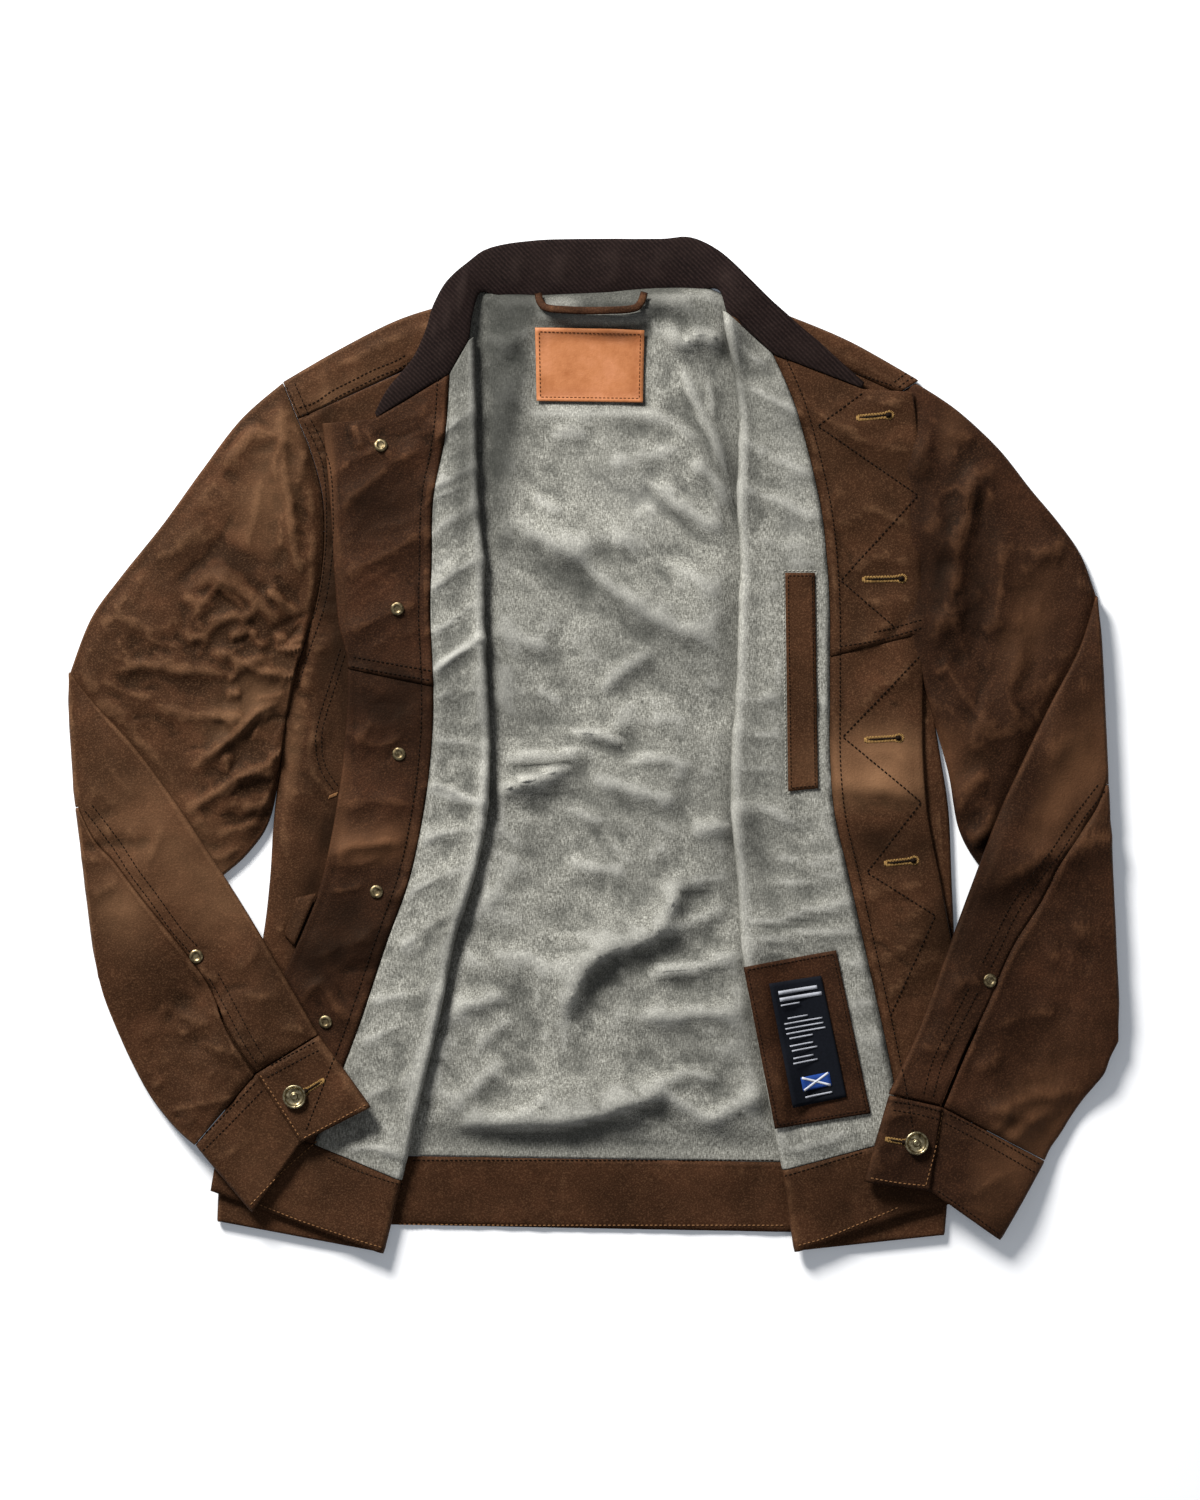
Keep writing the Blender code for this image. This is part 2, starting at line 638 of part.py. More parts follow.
def build_waistband(jacket):
    """One doubled strip all round the hem, from front edge to front edge."""
    top = waist_path(FRONT_RIGHT[WAIST_ROW], FRONT_LEFT[WAIST_ROW])
    hem = waist_path(FRONT_RIGHT[HEM_ROW], FRONT_LEFT[HEM_ROW])
    middle = [upper.lerp(lower, 0.5) for upper, lower in zip(top, hem)]
    rows = trimmed_rows([top, middle, hem], SEAM / 2)
    jacket.cloth("waistband", rows, WAXED_COTTON, DOUBLE_WALL)


def distance_outside(point, outline):
    """0 inside the outline, else the distance to it."""
    inside = False
    nearest = math.inf
    for start, end in zip(outline, outline[1:] + outline[:1]):
        edge = end - start
        part = min(max((point - start).dot(edge) / edge.length_squared, 0.0), 1.0)
        nearest = min(nearest, (point - (start + edge * part)).length)
        if (start.y > point.y) != (end.y > point.y):
            cross_x = start.x + (point.y - start.y) / (end.y - start.y) * edge.x
            if point.x < cross_x:
                inside = not inside
    return 0.0 if inside else nearest


def body_outline():
    """The plan of the body with its folded fronts."""
    right = []
    left = []
    for row in FRONT_RIGHT:
        right.append(Vector((min(row.side[0], row.edge[0]), row.side[1])))
    for row in FRONT_LEFT:
        left.append(Vector((max(row.side[0], row.edge[0]), row.side[1])))
    hem = [flat(FRONT_RIGHT[HEM_ROW].fold), flat(FRONT_LEFT[HEM_ROW].fold)]
    return right + hem + left[::-1]


def sleeve_outline(upper, elbow):
    """The plan of an upper sleeve."""
    rows = list(upper) + [elbow]
    outer = [flat(row.outer) for row in rows]
    inner = [flat(row.inner) for row in rows]
    return outer + inner[::-1]


def rest_height(point, supports):
    """How high cloth lies at a place, over the outlines it is laid on."""
    height = 0.0
    for outline, level in supports:
        out = distance_outside(point, outline) - SUPPORT_MARGIN
        height = max(height, level * smoothstep(1 - out / SUPPORT_SLOPE))
    return height


class Sleeve:
    """Sections of one sleeve tube, from the armhole round the elbow to the cuff."""

    def __init__(self, front_table, upper, elbow, forearm, cuff_edge):
        self.upper = upper
        self.elbow = elbow
        self.forearm = forearm
        self.cuff_edge = cuff_edge
        armhole = columns(front_table[: WAIST_ROW + 1], "side")
        self.armhole = [flat(upper[0].outer)] + armhole[: UNDERARM_ROW + 1]
        start = self.armhole[0]
        end = self.armhole[-1]
        span = end - start
        self.parts = [(p - start).dot(span) / span.length_squared for p in self.armhole]
        self.bows = [p - start.lerp(end, v) for p, v in zip(self.armhole, self.parts)]
        seam_part = (flat(upper[1].seam) - flat(upper[1].outer)).length
        seam_part /= (flat(upper[1].inner) - flat(upper[1].outer)).length
        gaps = [abs(v - seam_part) for v in self.parts]
        self.seam_at = gaps.index(min(gaps))
        self.supports = (
            (sleeve_outline(upper, elbow), FOREARM_ON_SLEEVE),
            (body_outline(), FOREARM_ON_BODY),
        )

    def plan_line(self, row, bow=0.0):
        """Points across the tube at one section, bent through the seam point."""
        outer = flat(row.outer)
        seam = flat(row.seam)
        inner = flat(row.inner)
        seam_part = self.parts[self.seam_at]
        line = []
        for part, curve in zip(self.parts, self.bows):
            if part <= seam_part:
                point = outer.lerp(seam, part / seam_part)
            else:
                point = seam.lerp(inner, (part - seam_part) / (1 - seam_part))
            line.append(point + curve * bow)
        return line

    def section(self, line, angle, base=None):
        """One ring: the wall that faces up at the shoulder, then the one on the floor.

        angle is how far the tube has turned about the elbow's axis, in radians.
        """
        width = (line[-1] - line[0]).normalized()
        outward = Vector((-width.y, width.x))
        if outward.x * line[0].x < 0:
            outward = -outward
        centre_radius = ELBOW_AXIS_Z - TUBE_HEIGHT / 2
        shift = lift_to(outward, 0.0) * centre_radius * math.sin(angle)
        centre_z = ELBOW_AXIS_Z - centre_radius * math.cos(angle)
        normal = lift_to(-outward * math.sin(angle), math.cos(angle))
        inset = TUBE_TURN + WALL / 2
        start = line[0] + (line[1] - line[0]).normalized() * inset
        end = line[-1] + (line[-2] - line[-1]).normalized() * inset
        middle = [start] + line[1:-1] + [end]
        settle = [0.0] * len(middle)
        if base is not None:
            settle = [base(point) - FOREARM_ON_SLEEVE for point in middle]
        centres = [lift_to(p, centre_z + s) + shift for p, s in zip(middle, settle)]
        face = [point + normal * TUBE_TURN for point in centres]
        floor = [point - normal * TUBE_TURN for point in centres]
        outer_arc = self.edge_arc(centres[0], centres[0] - centres[1], normal)
        inner_arc = self.edge_arc(centres[-1], centres[-1] - centres[-2], normal)
        return face, outer_arc, floor, inner_arc

    def edge_arc(self, centre, away, normal):
        """The rounded edge of the tube, from the face to the floor, ends left out."""
        away = away.normalized()
        away = (away - normal * away.dot(normal)).normalized()
        arc = []
        for k in range(1, ARC_STEPS):
            angle = math.pi * (0.5 - k / ARC_STEPS)
            reach = away * math.cos(angle) + normal * math.sin(angle)
            arc.append(centre + reach * TUBE_TURN)
        return arc

    def sections(self):
        """All rings from the armhole to the cuff seam."""
        rings = []
        pairs = zip(self.upper, ARMHOLE_BOWS)
        upper_lines = [self.plan_line(row, bow) for row, bow in pairs]
        upper_lines[0] = [point.copy() for point in self.armhole]
        elbow_line = self.plan_line(self.elbow)
        rings += [self.section(line, 0.0) for line in upper_lines]
        for k in range(ARC_STEPS + 1):
            rings.append(self.section(elbow_line, math.pi * k / ARC_STEPS))
        for row in self.forearm:
            rings.append(self.section(self.plan_line(row), math.pi, self.base_at))
        return rings

    def base_at(self, point):
        """Height of the underside of the forearm at a place."""
        return rest_height(point, self.supports)


def build_sleeve(jacket, side_name, sleeve):
    """One arm, cut in one and closed by the seam that runs down to the cuff's slit."""
    rows = []
    seam = sleeve.seam_at
    for face, outer_arc, floor, inner_arc in sleeve.sections():
        ring = floor[seam:] + inner_arc[::-1] + face[::-1] + outer_arc + floor[: seam + 1]
        rows.append(trimmed(ring, SEAM / 2, SEAM / 2))
    rows = trimmed_rows(rows, SEAM / 2, SEAM / 2)
    jacket.cloth(f"sleeve_{side_name}", rows, WAXED_COTTON)


def cuff_ring(sleeve, row):
    """The way round a cuff: flap end, outer edge, underneath, inner edge, underlap."""
    outer = flat(row.outer)
    slit = flat(row.seam)
    inner = flat(row.inner)
    to_slit = (slit - outer).normalized()
    to_inner = (inner - slit).normalized()
    flap_turn = (CUFF_FLAP - CUFF_LOW) / 2
    wrap_turn = (CUFF_HIGH - CUFF_LOW) / 2
    start = outer + to_slit * (flap_turn + CUFF_WALL / 2)
    end = inner - to_inner * (wrap_turn + CUFF_WALL / 2)
    underlap = slit - to_slit * CUFF_UNDERLAP
    path = [(point, CUFF_FLAP) for point in [slit] + between(slit, start, 3)]
    path += [(p, z) for p, z in flat_turn(start, -to_slit, CUFF_FLAP, CUFF_LOW)]
    bottom = between(start, slit, 3) + [slit] + between(slit, end, 3)
    path += [(point, CUFF_LOW) for point in bottom]
    path += [(p, z) for p, z in flat_turn(end, to_inner, CUFF_LOW, CUFF_HIGH)]
    top = between(end, slit, 3) + [slit, underlap]
    path += [(point, CUFF_HIGH) for point in top]
    return [lift_to(point, sleeve.base_at(point) + z) for point, z in path]


def flat_turn(axis, outward, start_z, end_z):
    """Half a circle from one height to another, as pairs of place and height."""
    middle = (start_z + end_z) / 2
    radius = abs(end_z - start_z) / 2
    upward = 1.0 if end_z > start_z else -1.0
    pairs = []
    for k in range(ARC_STEPS + 1):
        angle = math.pi * (k / ARC_STEPS - 0.5)
        place = axis + outward * radius * math.cos(angle)
        pairs.append((place, middle + upward * radius * math.sin(angle)))
    return pairs


def build_cuff(jacket, side_name, sleeve):
    """One doubled band that laps over itself at the slit."""
    seam_ring = cuff_ring(sleeve, sleeve.forearm[-1])
    edge_ring = cuff_ring(sleeve, sleeve.cuff_edge)
    rows = []
    for step in range(CUFF_ROWS + 1):
        rows.append([a.lerp(b, step / CUFF_ROWS) for a, b in zip(seam_ring, edge_ring)])
    jacket.cloth(f"cuff_{side_name}", trimmed_rows(rows, SEAM), WAXED_COTTON, CUFF_WALL)


def neck_edge(front_table):
    """The edge of a front that the collar is sewn to."""
    front = Front(front_table)
    axis, _outward = front.axis(0)
    return [axis, front.facing[0], front.buttons[0]]


def nearest_on(point, lines):
    """The nearest place to a point on any of the lines, if it is close to one."""
    best = point
    nearest = NECK_REACH
    for line in lines:
        for start, end in zip(line, line[1:]):
            edge = end - start
            part = min(max((point - start).dot(edge) / edge.length_squared, 0.0), 1.0)
            place = start + edge * part
            if (place - point).length < nearest:
                nearest = (place - point).length
                best = place
    return best


def build_collar(jacket):
    """The stand collar: a doubled band along the neck seam."""
    neck_edges = [neck_edge(FRONT_RIGHT), neck_edge(FRONT_LEFT)]
    rows = []
    for row in COLLAR:
        plan = flat(row.seam)
        if row.z == FRONT_BAND_Z:
            plan = nearest_on(plan, neck_edges)
        seam = lift_to(plan, row.z)
        edge = lift_to(flat(row.edge), row.z)
        rows.append(trimmed([seam, seam.lerp(edge, 0.5), edge], start=SEAM))
    jacket.cloth("collar", rows, COLLAR_CLOTH, 2 * WALL)


def sheet_rows(corners, z_at, across, down):
    """A grid inside four corners, each point at the height z_at gives there."""
    top_left, top_right, low_right, low_left = [flat(point) for point in corners]
    rows = []
    for j in range(down + 1):
        start = top_left.lerp(low_left, j / down)
        end = top_right.lerp(low_right, j / down)
        line = [start.lerp(end, i / across) for i in range(across + 1)]
        rows.append([lift_to(point, z_at(point)) for point in line])
    return rows


def build_sewn_on(jacket):
    """Patches, label, welts and hanger loop, raised off the cloth they lie on."""
    front_z = BODY_TOP + SEWN_GAP + WALL / 2

    def on_back(point):
        return BACK_LINING_Z + open_lift(point) + WALL + SEWN_GAP

    def on_front(_point):
        return front_z

    def on_patch(_point):
        return front_z + WALL + SEWN_GAP

    def on_low_front(_point):
        return LOW_SHELL_Z + WALL / 2 + SEWN_GAP + WELT_WALL / 2

    leather = sheet_rows(LEATHER_PATCH, on_back, 8, 5)
    jacket.cloth("leather_patch", leather, TAN_LEATHER)
    welt = sheet_rows(POCKET_WELT, on_front, 2, 6)
    jacket.cloth("inner_pocket_welt", welt, WAXED_COTTON)
    patch = sheet_rows(LABEL_PATCH, on_front, 3, 5)
    jacket.cloth("label_patch", patch, WAXED_COTTON)
    label = sheet_rows(WOVEN_LABEL, on_patch, 2, 4)
    jacket.cloth("woven_label", label, LABEL_CLOTH)
    hand = sheet_rows(HAND_WELT_RIGHT, on_low_front, 2, 3)
    jacket.cloth("hand_pocket_welt_right", hand, WAXED_COTTON, WELT_WALL)

    middle = refine([flat(point) for point in HANGER_LOOP])
    rows = []
    for before, point, after in zip(middle[:1] + middle, middle, middle[1:] + middle[-1:]):
        way = (after - before).normalized()
        across = Vector((-way.y, way.x)) * LOOP_WIDTH / 2
        z = on_back(point) + LOOP_WALL / 2
        rows.append([lift_to(point + across, z), lift_to(point - across, z)])
    jacket.cloth("hanger_loop", rows, WAXED_COTTON, LOOP_WALL)


def seat_on(part, x, y, radius):
    """Where a round piece sits on the part below it: its place, clear of the cloth all
    round its rim, and the tilt of the cloth."""
    bpy.context.view_layer.update()
    depsgraph = bpy.context.evaluated_depsgraph_get()
    tree = BVHTree.FromObject(part, depsgraph)
    down = Vector((0, 0, -1))
    above = Vector((x, y, DROP_FROM)) * MM
    centre, normal, _face, _distance = tree.ray_cast(above, down)
    rise = 0.0
    for k in range(2 * RIM_CHECKS):
        angle = 2 * math.pi * k / RIM_CHECKS
        reach = radius if k < RIM_CHECKS else radius / 2
        rim = Vector((reach * math.cos(angle), reach * math.sin(angle), 0.0))
        hit = tree.ray_cast(above + rim * MM, down)[0]
        if hit is not None:
            rise = max(rise, (hit - centre).dot(normal) / MM)
    tilt = Vector((0, 0, 1)).rotation_difference(normal).to_euler()
    return centre / MM + normal * (rise + HARDWARE_GAP), tilt


def build_hardware(jacket):
    """Tack caps of the front, vent rivets and cuff buttons."""
    level = (0.0, 0.0, 0.0)
    for name, x, y in TACKS:
        place = Vector((x, y, BODY_TOP + HARDWARE_GAP))
        jacket.turned(name, TACK_PROFILE, place, level, AGED_BRASS)
    for name, carrier, x, y in VENT_RIVETS:
        place, tilt = seat_on(bpy.data.objects[carrier], x, y, RIVET_RADIUS)
        jacket.turned(name, RIVET_PROFILE, place, tilt, AGED_BRASS)
    for name, carrier, x, y in CUFF_BUTTONS:
        place, tilt = seat_on(bpy.data.objects[carrier], x, y, BUTTON_RADIUS)
        jacket.turned(name, BUTTON_PROFILE, place, tilt, AGED_BRASS)


def build_jacket():
    """All parts of the jacket."""
    jacket = Jacket()
    build_back(jacket)
    build_front(jacket, "right", FRONT_RIGHT)
    build_front(jacket, "left", FRONT_LEFT)
    build_yoke(jacket, "right", YOKE_RIGHT, FRONT_RIGHT)
    build_yoke(jacket, "left", YOKE_LEFT, FRONT_LEFT)
    build_waistband(jacket)
    build_collar(jacket)
    right = Sleeve(FRONT_RIGHT, UPPER_RIGHT, ELBOW_RIGHT, FOREARM_RIGHT, CUFF_EDGE_RIGHT)
    left = Sleeve(FRONT_LEFT, UPPER_LEFT, ELBOW_LEFT, FOREARM_LEFT, CUFF_EDGE_LEFT)
    for name, sleeve in (("right", right), ("left", left)):
        build_sleeve(jacket, name, sleeve)
        build_cuff(jacket, name, sleeve)
    build_sewn_on(jacket)
    build_hardware(jacket)


build_jacket()
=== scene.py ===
"""Looks of a waxed cotton trucker jacket that lies open and flat on its back.

Lengths are millimetres on the garment, made metres when a mesh is built. +X is the
wearer's left, +Y is towards the collar, +Z is up and the floor is z = 0. "Right" and
"left" are the wearer's. Places of creases and stitch rows are given as pixels of the
1200 x 1500 image, PIXEL mm each, and spot() turns them into the garment's own plan.
"""

import math
import random
from collections import namedtuple

import bmesh
import bpy
import numpy as np
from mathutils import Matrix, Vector
from mathutils.bvhtree import BVHTree


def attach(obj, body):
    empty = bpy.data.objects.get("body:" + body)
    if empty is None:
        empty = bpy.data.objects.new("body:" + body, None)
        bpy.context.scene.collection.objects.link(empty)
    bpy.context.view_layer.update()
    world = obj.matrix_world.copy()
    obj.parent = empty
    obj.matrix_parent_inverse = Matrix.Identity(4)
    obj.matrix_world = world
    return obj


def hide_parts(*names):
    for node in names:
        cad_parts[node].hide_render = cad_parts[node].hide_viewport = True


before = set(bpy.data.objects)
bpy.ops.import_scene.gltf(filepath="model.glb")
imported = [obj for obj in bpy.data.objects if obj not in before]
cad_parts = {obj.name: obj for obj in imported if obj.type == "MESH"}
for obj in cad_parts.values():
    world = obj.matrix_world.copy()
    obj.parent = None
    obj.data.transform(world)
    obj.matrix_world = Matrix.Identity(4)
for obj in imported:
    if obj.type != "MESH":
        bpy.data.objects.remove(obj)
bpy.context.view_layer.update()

MM = 0.001
PIXEL = 0.67
MIDDLE_PIXEL = (595.0, 746.5)
IMAGE_SIZE = (1200, 1500)
STEP = 2.0
COARSE = 2.2 * STEP

# Cloth walls and the heights of the middle of each layer, as in the CAD model.
WALL = 1.0
SEAM = 0.4
BACK_SHELL_Z = 0.5
BACK_LINING_Z = 1.9
LOW_LINING_Z = 3.9
LOW_SHELL_Z = 5.3
TOP_SHELL_Z = 7.9
TOP_LINING_Z = 9.3
BACK_TOP = BACK_LINING_Z + WALL / 2
BODY_TOP = TOP_LINING_Z + WALL / 2
FOLD_REACH = 3.2
ROLL_LINING = 3.7
ROLL_SHELL = 2.3
TUBE_TURN = 2.4
TUBE_HEIGHT = 5.8
FOREARM_AIR = 1.2
FOREARM_ON_SLEEVE = TUBE_HEIGHT + FOREARM_AIR
ELBOW_AXIS_Z = (TUBE_HEIGHT + FOREARM_ON_SLEEVE) / 2
CUFF_WALL = 2.0
CUFF_LOW = 1.0
CUFF_HIGH = 4.8
CUFF_FLAP = 7.1
CUFF_UNDERLAP = 16.0
CUFF_LONG_STEPS = 26
CUFF_STEPS = 12
UNDERLAP_STEPS = 6
CUFF_RELIEF = 0.6
CUFF_DENT = 0.3
DOUBLE_WALL = 2.4
SEWN_GAP = 0.3
LINING_RETURN = 26.0
SHOULDER_BAND_Z = 4.6
NECK_REACH = 9.0
LOOP_WIDTH = 4.8
LOOP_WALL = 1.4
LOOP_STEP = 1.6
LOOP_RISE = 1.4

# How the layers turn at folds, edges and seams.
ROLL_Z = LOW_LINING_Z + ROLL_LINING
ROLL_BULGE = ROLL_Z + ROLL_LINING - TOP_LINING_Z
BAND_ROLL = 2.9
EDGE_ROLL = 1.5
SIDE_CLOSES_OVER = 14.0
SEAM_DIP = 0.9
TOPSTITCH = 7.5
CROSS_STEP = 0.9
CROSS_LAP = 0.8
PLACKET_LENGTH = 78.0
ELBOW_PRESS = 0.3
HIDDEN_DROP = 0.4
SETTLE_SLACK = 0.3
SHOWN_MARGIN = 10.0
FROM_YOKE_SEAM = 8.0
FROM_SHOULDER = 9.0
END_SHARE = 0.35
QUARTER_TURN = np.arange(6) / 6 * math.pi / 2

# The back lining: how far it stays from the sides, between which places its columns are
# fine, how high it puffs up, how strong its creases and grain are, how high and how flat
# it lies round the leather patch, how low it may sink, and how it rises from the neck.
LINING_INSET = 10.0
FINE_LINING = (-100.0, 116.0)
LINING_LOFT = 3.8
LINING_FOLDS = 2.6
LINING_FORM = {"sharp": 1.25, "broad": 0.95}
LINING_GRAIN = 2.0
UNDER_PATCH = 3.2
PATCH_PRESS = 0.9
FROM_PATCH = 9.0
LINING_LOW = -0.25
FROM_NECK = 9.0

# Widths of the back and the doubled bands, the usual drop between two rows of a front's
# plan, and rows of stitches: how far from an edge, and the width of the dent they make.
BACK_WIDTH = 430.0
ROW_DROP = 45.0
BAND_DEPTH = 52.0
CUFF_DEPTH = 54.0
STITCH_LINE = 4.0
STITCH_DENT = 1.8
COLLAR_STEPS = 17

# The waistband's way round in steps, how far it bulges with the fold, and its relief.
FLAP_STEPS = 16
FRONT_BAND_STEPS = 30
BACK_BAND_STEPS = 170
BAND_BULGE_WIDTH = 20.0
BAND_RELIEF = 0.5
BAND_DENT = 0.3

# The collar: the height and reach of its belly, the height of its creases, and how much
# higher it stands over the fronts.
COLLAR_BELLY = 1.5
COLLAR_BELLY_REACH = 26.0
COLLAR_FOLDS = 0.4
COLLAR_OVER_FRONT = 1.2

# Plan of each front, a row for each level: side, fold, facing seam, button line, edge.
FRONT_RIGHT = (
    ((-199, 219), (-81, 274), (-97, 249), (-147, 219), (-182, 216)),
    ((-190, 197), (-79, 212), (-100, 208), (-142, 198), (-179, 191)),
    ((-182, 165), (-78, 165), (-108, 165), (-141, 160), (-176, 157)),
    ((-182, 125), (-74, 125), (-109, 125), (-140, 122), (-174, 120)),
    ((-189, 85), (-74, 85), (-110, 89), (-139, 86), (-171, 83)),
    ((-200, 50), (-72, 45), (-108, 41), (-137, 47), (-165, 53)),
    ((-209, 3), (-70, 1), (-109, 1), (-137, 1), (-167, 1)),
    ((-215, -44), (-72, -44), (-114, -41), (-143, -43), (-173, -45)),
    ((-218, -89), (-81, -89), (-124, -89), (-152, -91), (-183, -92)),
    ((-223, -130), (-94, -131), (-139, -131), (-168, -130), (-198, -130)),
    ((-234, -183), (-104, -183), (-157, -185), (-188, -181), (-219, -177)),
    ((-245, -237), (-117, -236), (-174, -230), (-206, -224), (-238, -218)),
    ((-251, -272), (-129, -290), (-188, -266), (-218, -257), (-249, -250)),
    ((-253, -318), (-141, -339), (-194, -320), (-226, -308), (-257, -297)),
)
FRONT_LEFT = (
    ((203, 236), (85, 291), (119, 262), (179, 239), (212, 237)),
    ((200, 205), (96, 225), (135, 224), (178, 215), (216, 205)),
    ((191, 165), (95, 165), (150, 165), (184, 165), (218, 165)),
    ((190, 125), (97, 125), (155, 125), (187, 125), (218, 125)),
    ((199, 98), (96, 93), (157, 90), (188, 93), (219, 98)),
    ((211, 67), (95, 60), (157, 61), (188, 69), (219, 77)),
    ((226, 21), (94, 29), (157, 30), (188, 32), (219, 33)),
    ((232, -10), (91, -5), (157, -5), (188, -5), (219, -5)),
    ((237, -44), (91, -44), (160, -44), (191, -44), (222, -44)),
    ((239, -89), (95, -89), (170, -88), (201, -90), (231, -91)),
    ((241, -143), (99, -143), (182, -142), (211, -140), (240, -138)),
    ((240, -210), (111, -210), (197, -210), (226, -200), (255, -194)),
    ((238, -280), (125, -283), (206, -262), (234, -256), (261, -249)),
    ((234, -327), (133, -338), (212, -312), (240, -305), (266, -297)),
)
CROSS_SEAM_ROW = 5
UNDERARM_ROW = 6
WAIST_ROW = 12

# Yokes: the shoulder edge, and how far along the seam with the front.
YOKE_RIGHT = (((-209, 244), 0.0), ((-171, 266), 0.34), ((-131, 286), 0.68), ((-92, 298), 0.97))
YOKE_LEFT = (((217, 245), 0.0), ((171, 271), 0.30), ((128, 289), 0.60), ((104, 298), 0.88))
NECK = ((-84, 273), (-73, 301), (-37, 300), (3, 302), (44, 305), (80, 305), (102, 283))
LINING_NECK = ((-91, 270), (-87, 301), (-77, 306), (-70, 303), (-37, 302), (3, 304), (44, 307),
               (80, 307), (96, 300), (104, 282))

# Sleeve sections: edge at the shoulder side, seam, underarm edge.
UPPER_RIGHT = (
    ((-209, 244), (-209, 145), (-209, 3)),
    ((-237, 219), (-231, 116), (-217, -46)),
    ((-263, 185), (-252, 84), (-232, -71)),
    ((-289, 149), (-276, 52), (-257, -93)),
    ((-317, 114), (-304, 21), (-285, -118)),
    ((-337, 86), (-327, -4), (-312, -139)),
)
ELBOW_RIGHT = ((-351, 50), (-345, -40), (-331, -155))
FOREARM_RIGHT = (
    ((-332, 27), (-334, -62), (-327, -169)),
    ((-308, 1), (-321, -76), (-320, -187)),
    ((-281, -35), (-302, -101), (-310, -210)),
    ((-255, -75), (-277, -132), (-298, -233)),
    ((-231, -113), (-257, -160), (-286, -249)),
    ((-208, -151), (-245, -188), (-276, -259)),
    ((-184, -192), (-226, -218), (-267, -266)),
)
CUFF_EDGE_RIGHT = ((-149, -240), (-196, -264), (-229, -311))
UPPER_LEFT = (
    ((217, 245), (218, 155), (226, 21)),
    ((243, 226), (240, 130), (237, -18)),
    ((270, 200), (259, 97), (244, -56)),
    ((291, 173), (278, 71), (259, -82)),
    ((310, 150), (300, 46), (285, -111)),
    ((325, 128), (320, 20), (313, -142)),
)
ELBOW_LEFT = ((335, 101), (341, -25), (349, -198))
FOREARM_LEFT = (
    ((324, 66), (335, -40), (344, -208)),
    ((305, 30), (324, -57), (340, -219)),
    ((286, -9), (310, -78), (334, -227)),
    ((268, -49), (297, -104), (326, -237)),
    ((251, -95), (278, -134), (318, -249)),
    ((233, -144), (262, -170), (312, -259)),
    ((216, -190), (246, -204), (305, -269)),
    ((196, -232), (231, -240), (301, -277)),
)
CUFF_EDGE_LEFT = ((179, -290), (223, -296), (271, -330))
ARMHOLE_BOWS = (1.0, 0.55, 0.25, 0.08, 0.0, 0.0)

# Collar stand from the wearer's right tip round the neck: neck seam, free edge, height.
COLLAR = (
    ((-146, 220), (-147, 223), 8.6),
    ((-134, 227), (-139, 238), 8.6),
    ((-118, 236), (-130, 249), 8.6),
    ((-106, 244), (-122, 259), 8.6),
    ((-97, 249), (-116, 271), 8.6),
    ((-90, 261), (-112, 282), 8.6),
    ((-84, 272), (-108, 295), 8.6),
    ((-82, 287), (-99, 311), 8.6),
    ((-77, 303), (-84, 325), 4.6),
    ((-64, 301), (-70, 334), 1.6),
    ((-37, 300), (-40, 339), 1.0),
    ((3, 302), (3, 340), 1.0),
    ((44, 305), (44, 340), 1.0),
    ((68, 305), (64, 341), 1.6),
    ((83, 305), (84, 331), 4.6),
    ((88, 290), (104, 312), 8.6),
    ((98, 281), (115, 301), 8.6),
    ((108, 271), (126, 291), 8.6),
    ((119, 262), (137, 281), 8.6),
    ((134, 256), (149, 271), 8.6),
    ((149, 250), (161, 260), 8.6),
    ((164, 245), (171, 251), 8.6),
    ((178, 239), (180, 243), 8.6),
)

# Flat pieces sewn on: four corners, the top left one first, going round clockwise.
LEATHER_PATCH = ((-40, 280), (33, 278), (32, 230), (-39, 231))
POCKET_WELT = ((127, 116), (147, 116), (149, -28), (129, -30))
LABEL_PATCH = ((99, -147), (161, -136), (184, -245), (120, -255))
WOVEN_LABEL = ((116, -158), (151, -153), (168, -234), (132, -241))
HAND_WELT_RIGHT = ((-200, -101), (-186, -98), (-201, -133), (-208, -126))
HANGER_LOOP = ((-38, 303), (-36, 296), (-29, 292), (-2, 290.5), (23, 291.5), (30, 295), (33, 303))


def spot(pixel):
    """An image pixel as a place on the garment's plan."""
    return (
        (pixel[0] - MIDDLE_PIXEL[0]) * PIXEL,
        (MIDDLE_PIXEL[1] - pixel[1]) * PIXEL,
    )


def smoothstep(t):
    """0 below 0, 1 above 1, and a smooth rise between."""
    t = np.clip(t, 0.0, 1.0)
    return t * t * (3 - 2 * t)


def unit(vectors):
    """The vectors with length one."""
    return vectors / np.maximum(np.linalg.norm(vectors, axis=-1, keepdims=True), 1e-9)


def from_line(plan, line):
    """How far the points of each row lie from that row's point on a line."""
    return np.linalg.norm(plan - line[:, None], axis=-1)


def grow(gap, reach, least=0.0):
    """The least value at a gap of 0, rising smoothly to 1 over this reach."""
    return least + (1 - least) * smoothstep(gap / reach)


def bell(gap, width):
    """1 where the gap is 0, falling off over this width."""
    return np.exp(-((gap / width) ** 2))


def stitch_dents(depth, *lines):
    """Dents at these distances from an edge, where rows of stitches pull the cloth in."""
    return sum(bell(depth - line, STITCH_DENT) for line in lines)


# ---------------------------------------------------------------- noise and creases


# Large odd numbers that scatter the bits of a lattice point's place and seed.
SCATTER = (374761393, 668265263, 1274126177, 1103515245)
BITS_32 = 0xFFFFFFFF
BITS_16 = 0xFFFF


def lattice(ix, iy, seed):
    """A repeatable number from 0 to 1 for each lattice point."""
    h = (ix * SCATTER[0] + iy * SCATTER[1] + seed * SCATTER[2]) & BITS_32
    h = ((h ^ (h >> 13)) * SCATTER[3]) & BITS_32
    return ((h ^ (h >> 16)) & BITS_16) / BITS_16


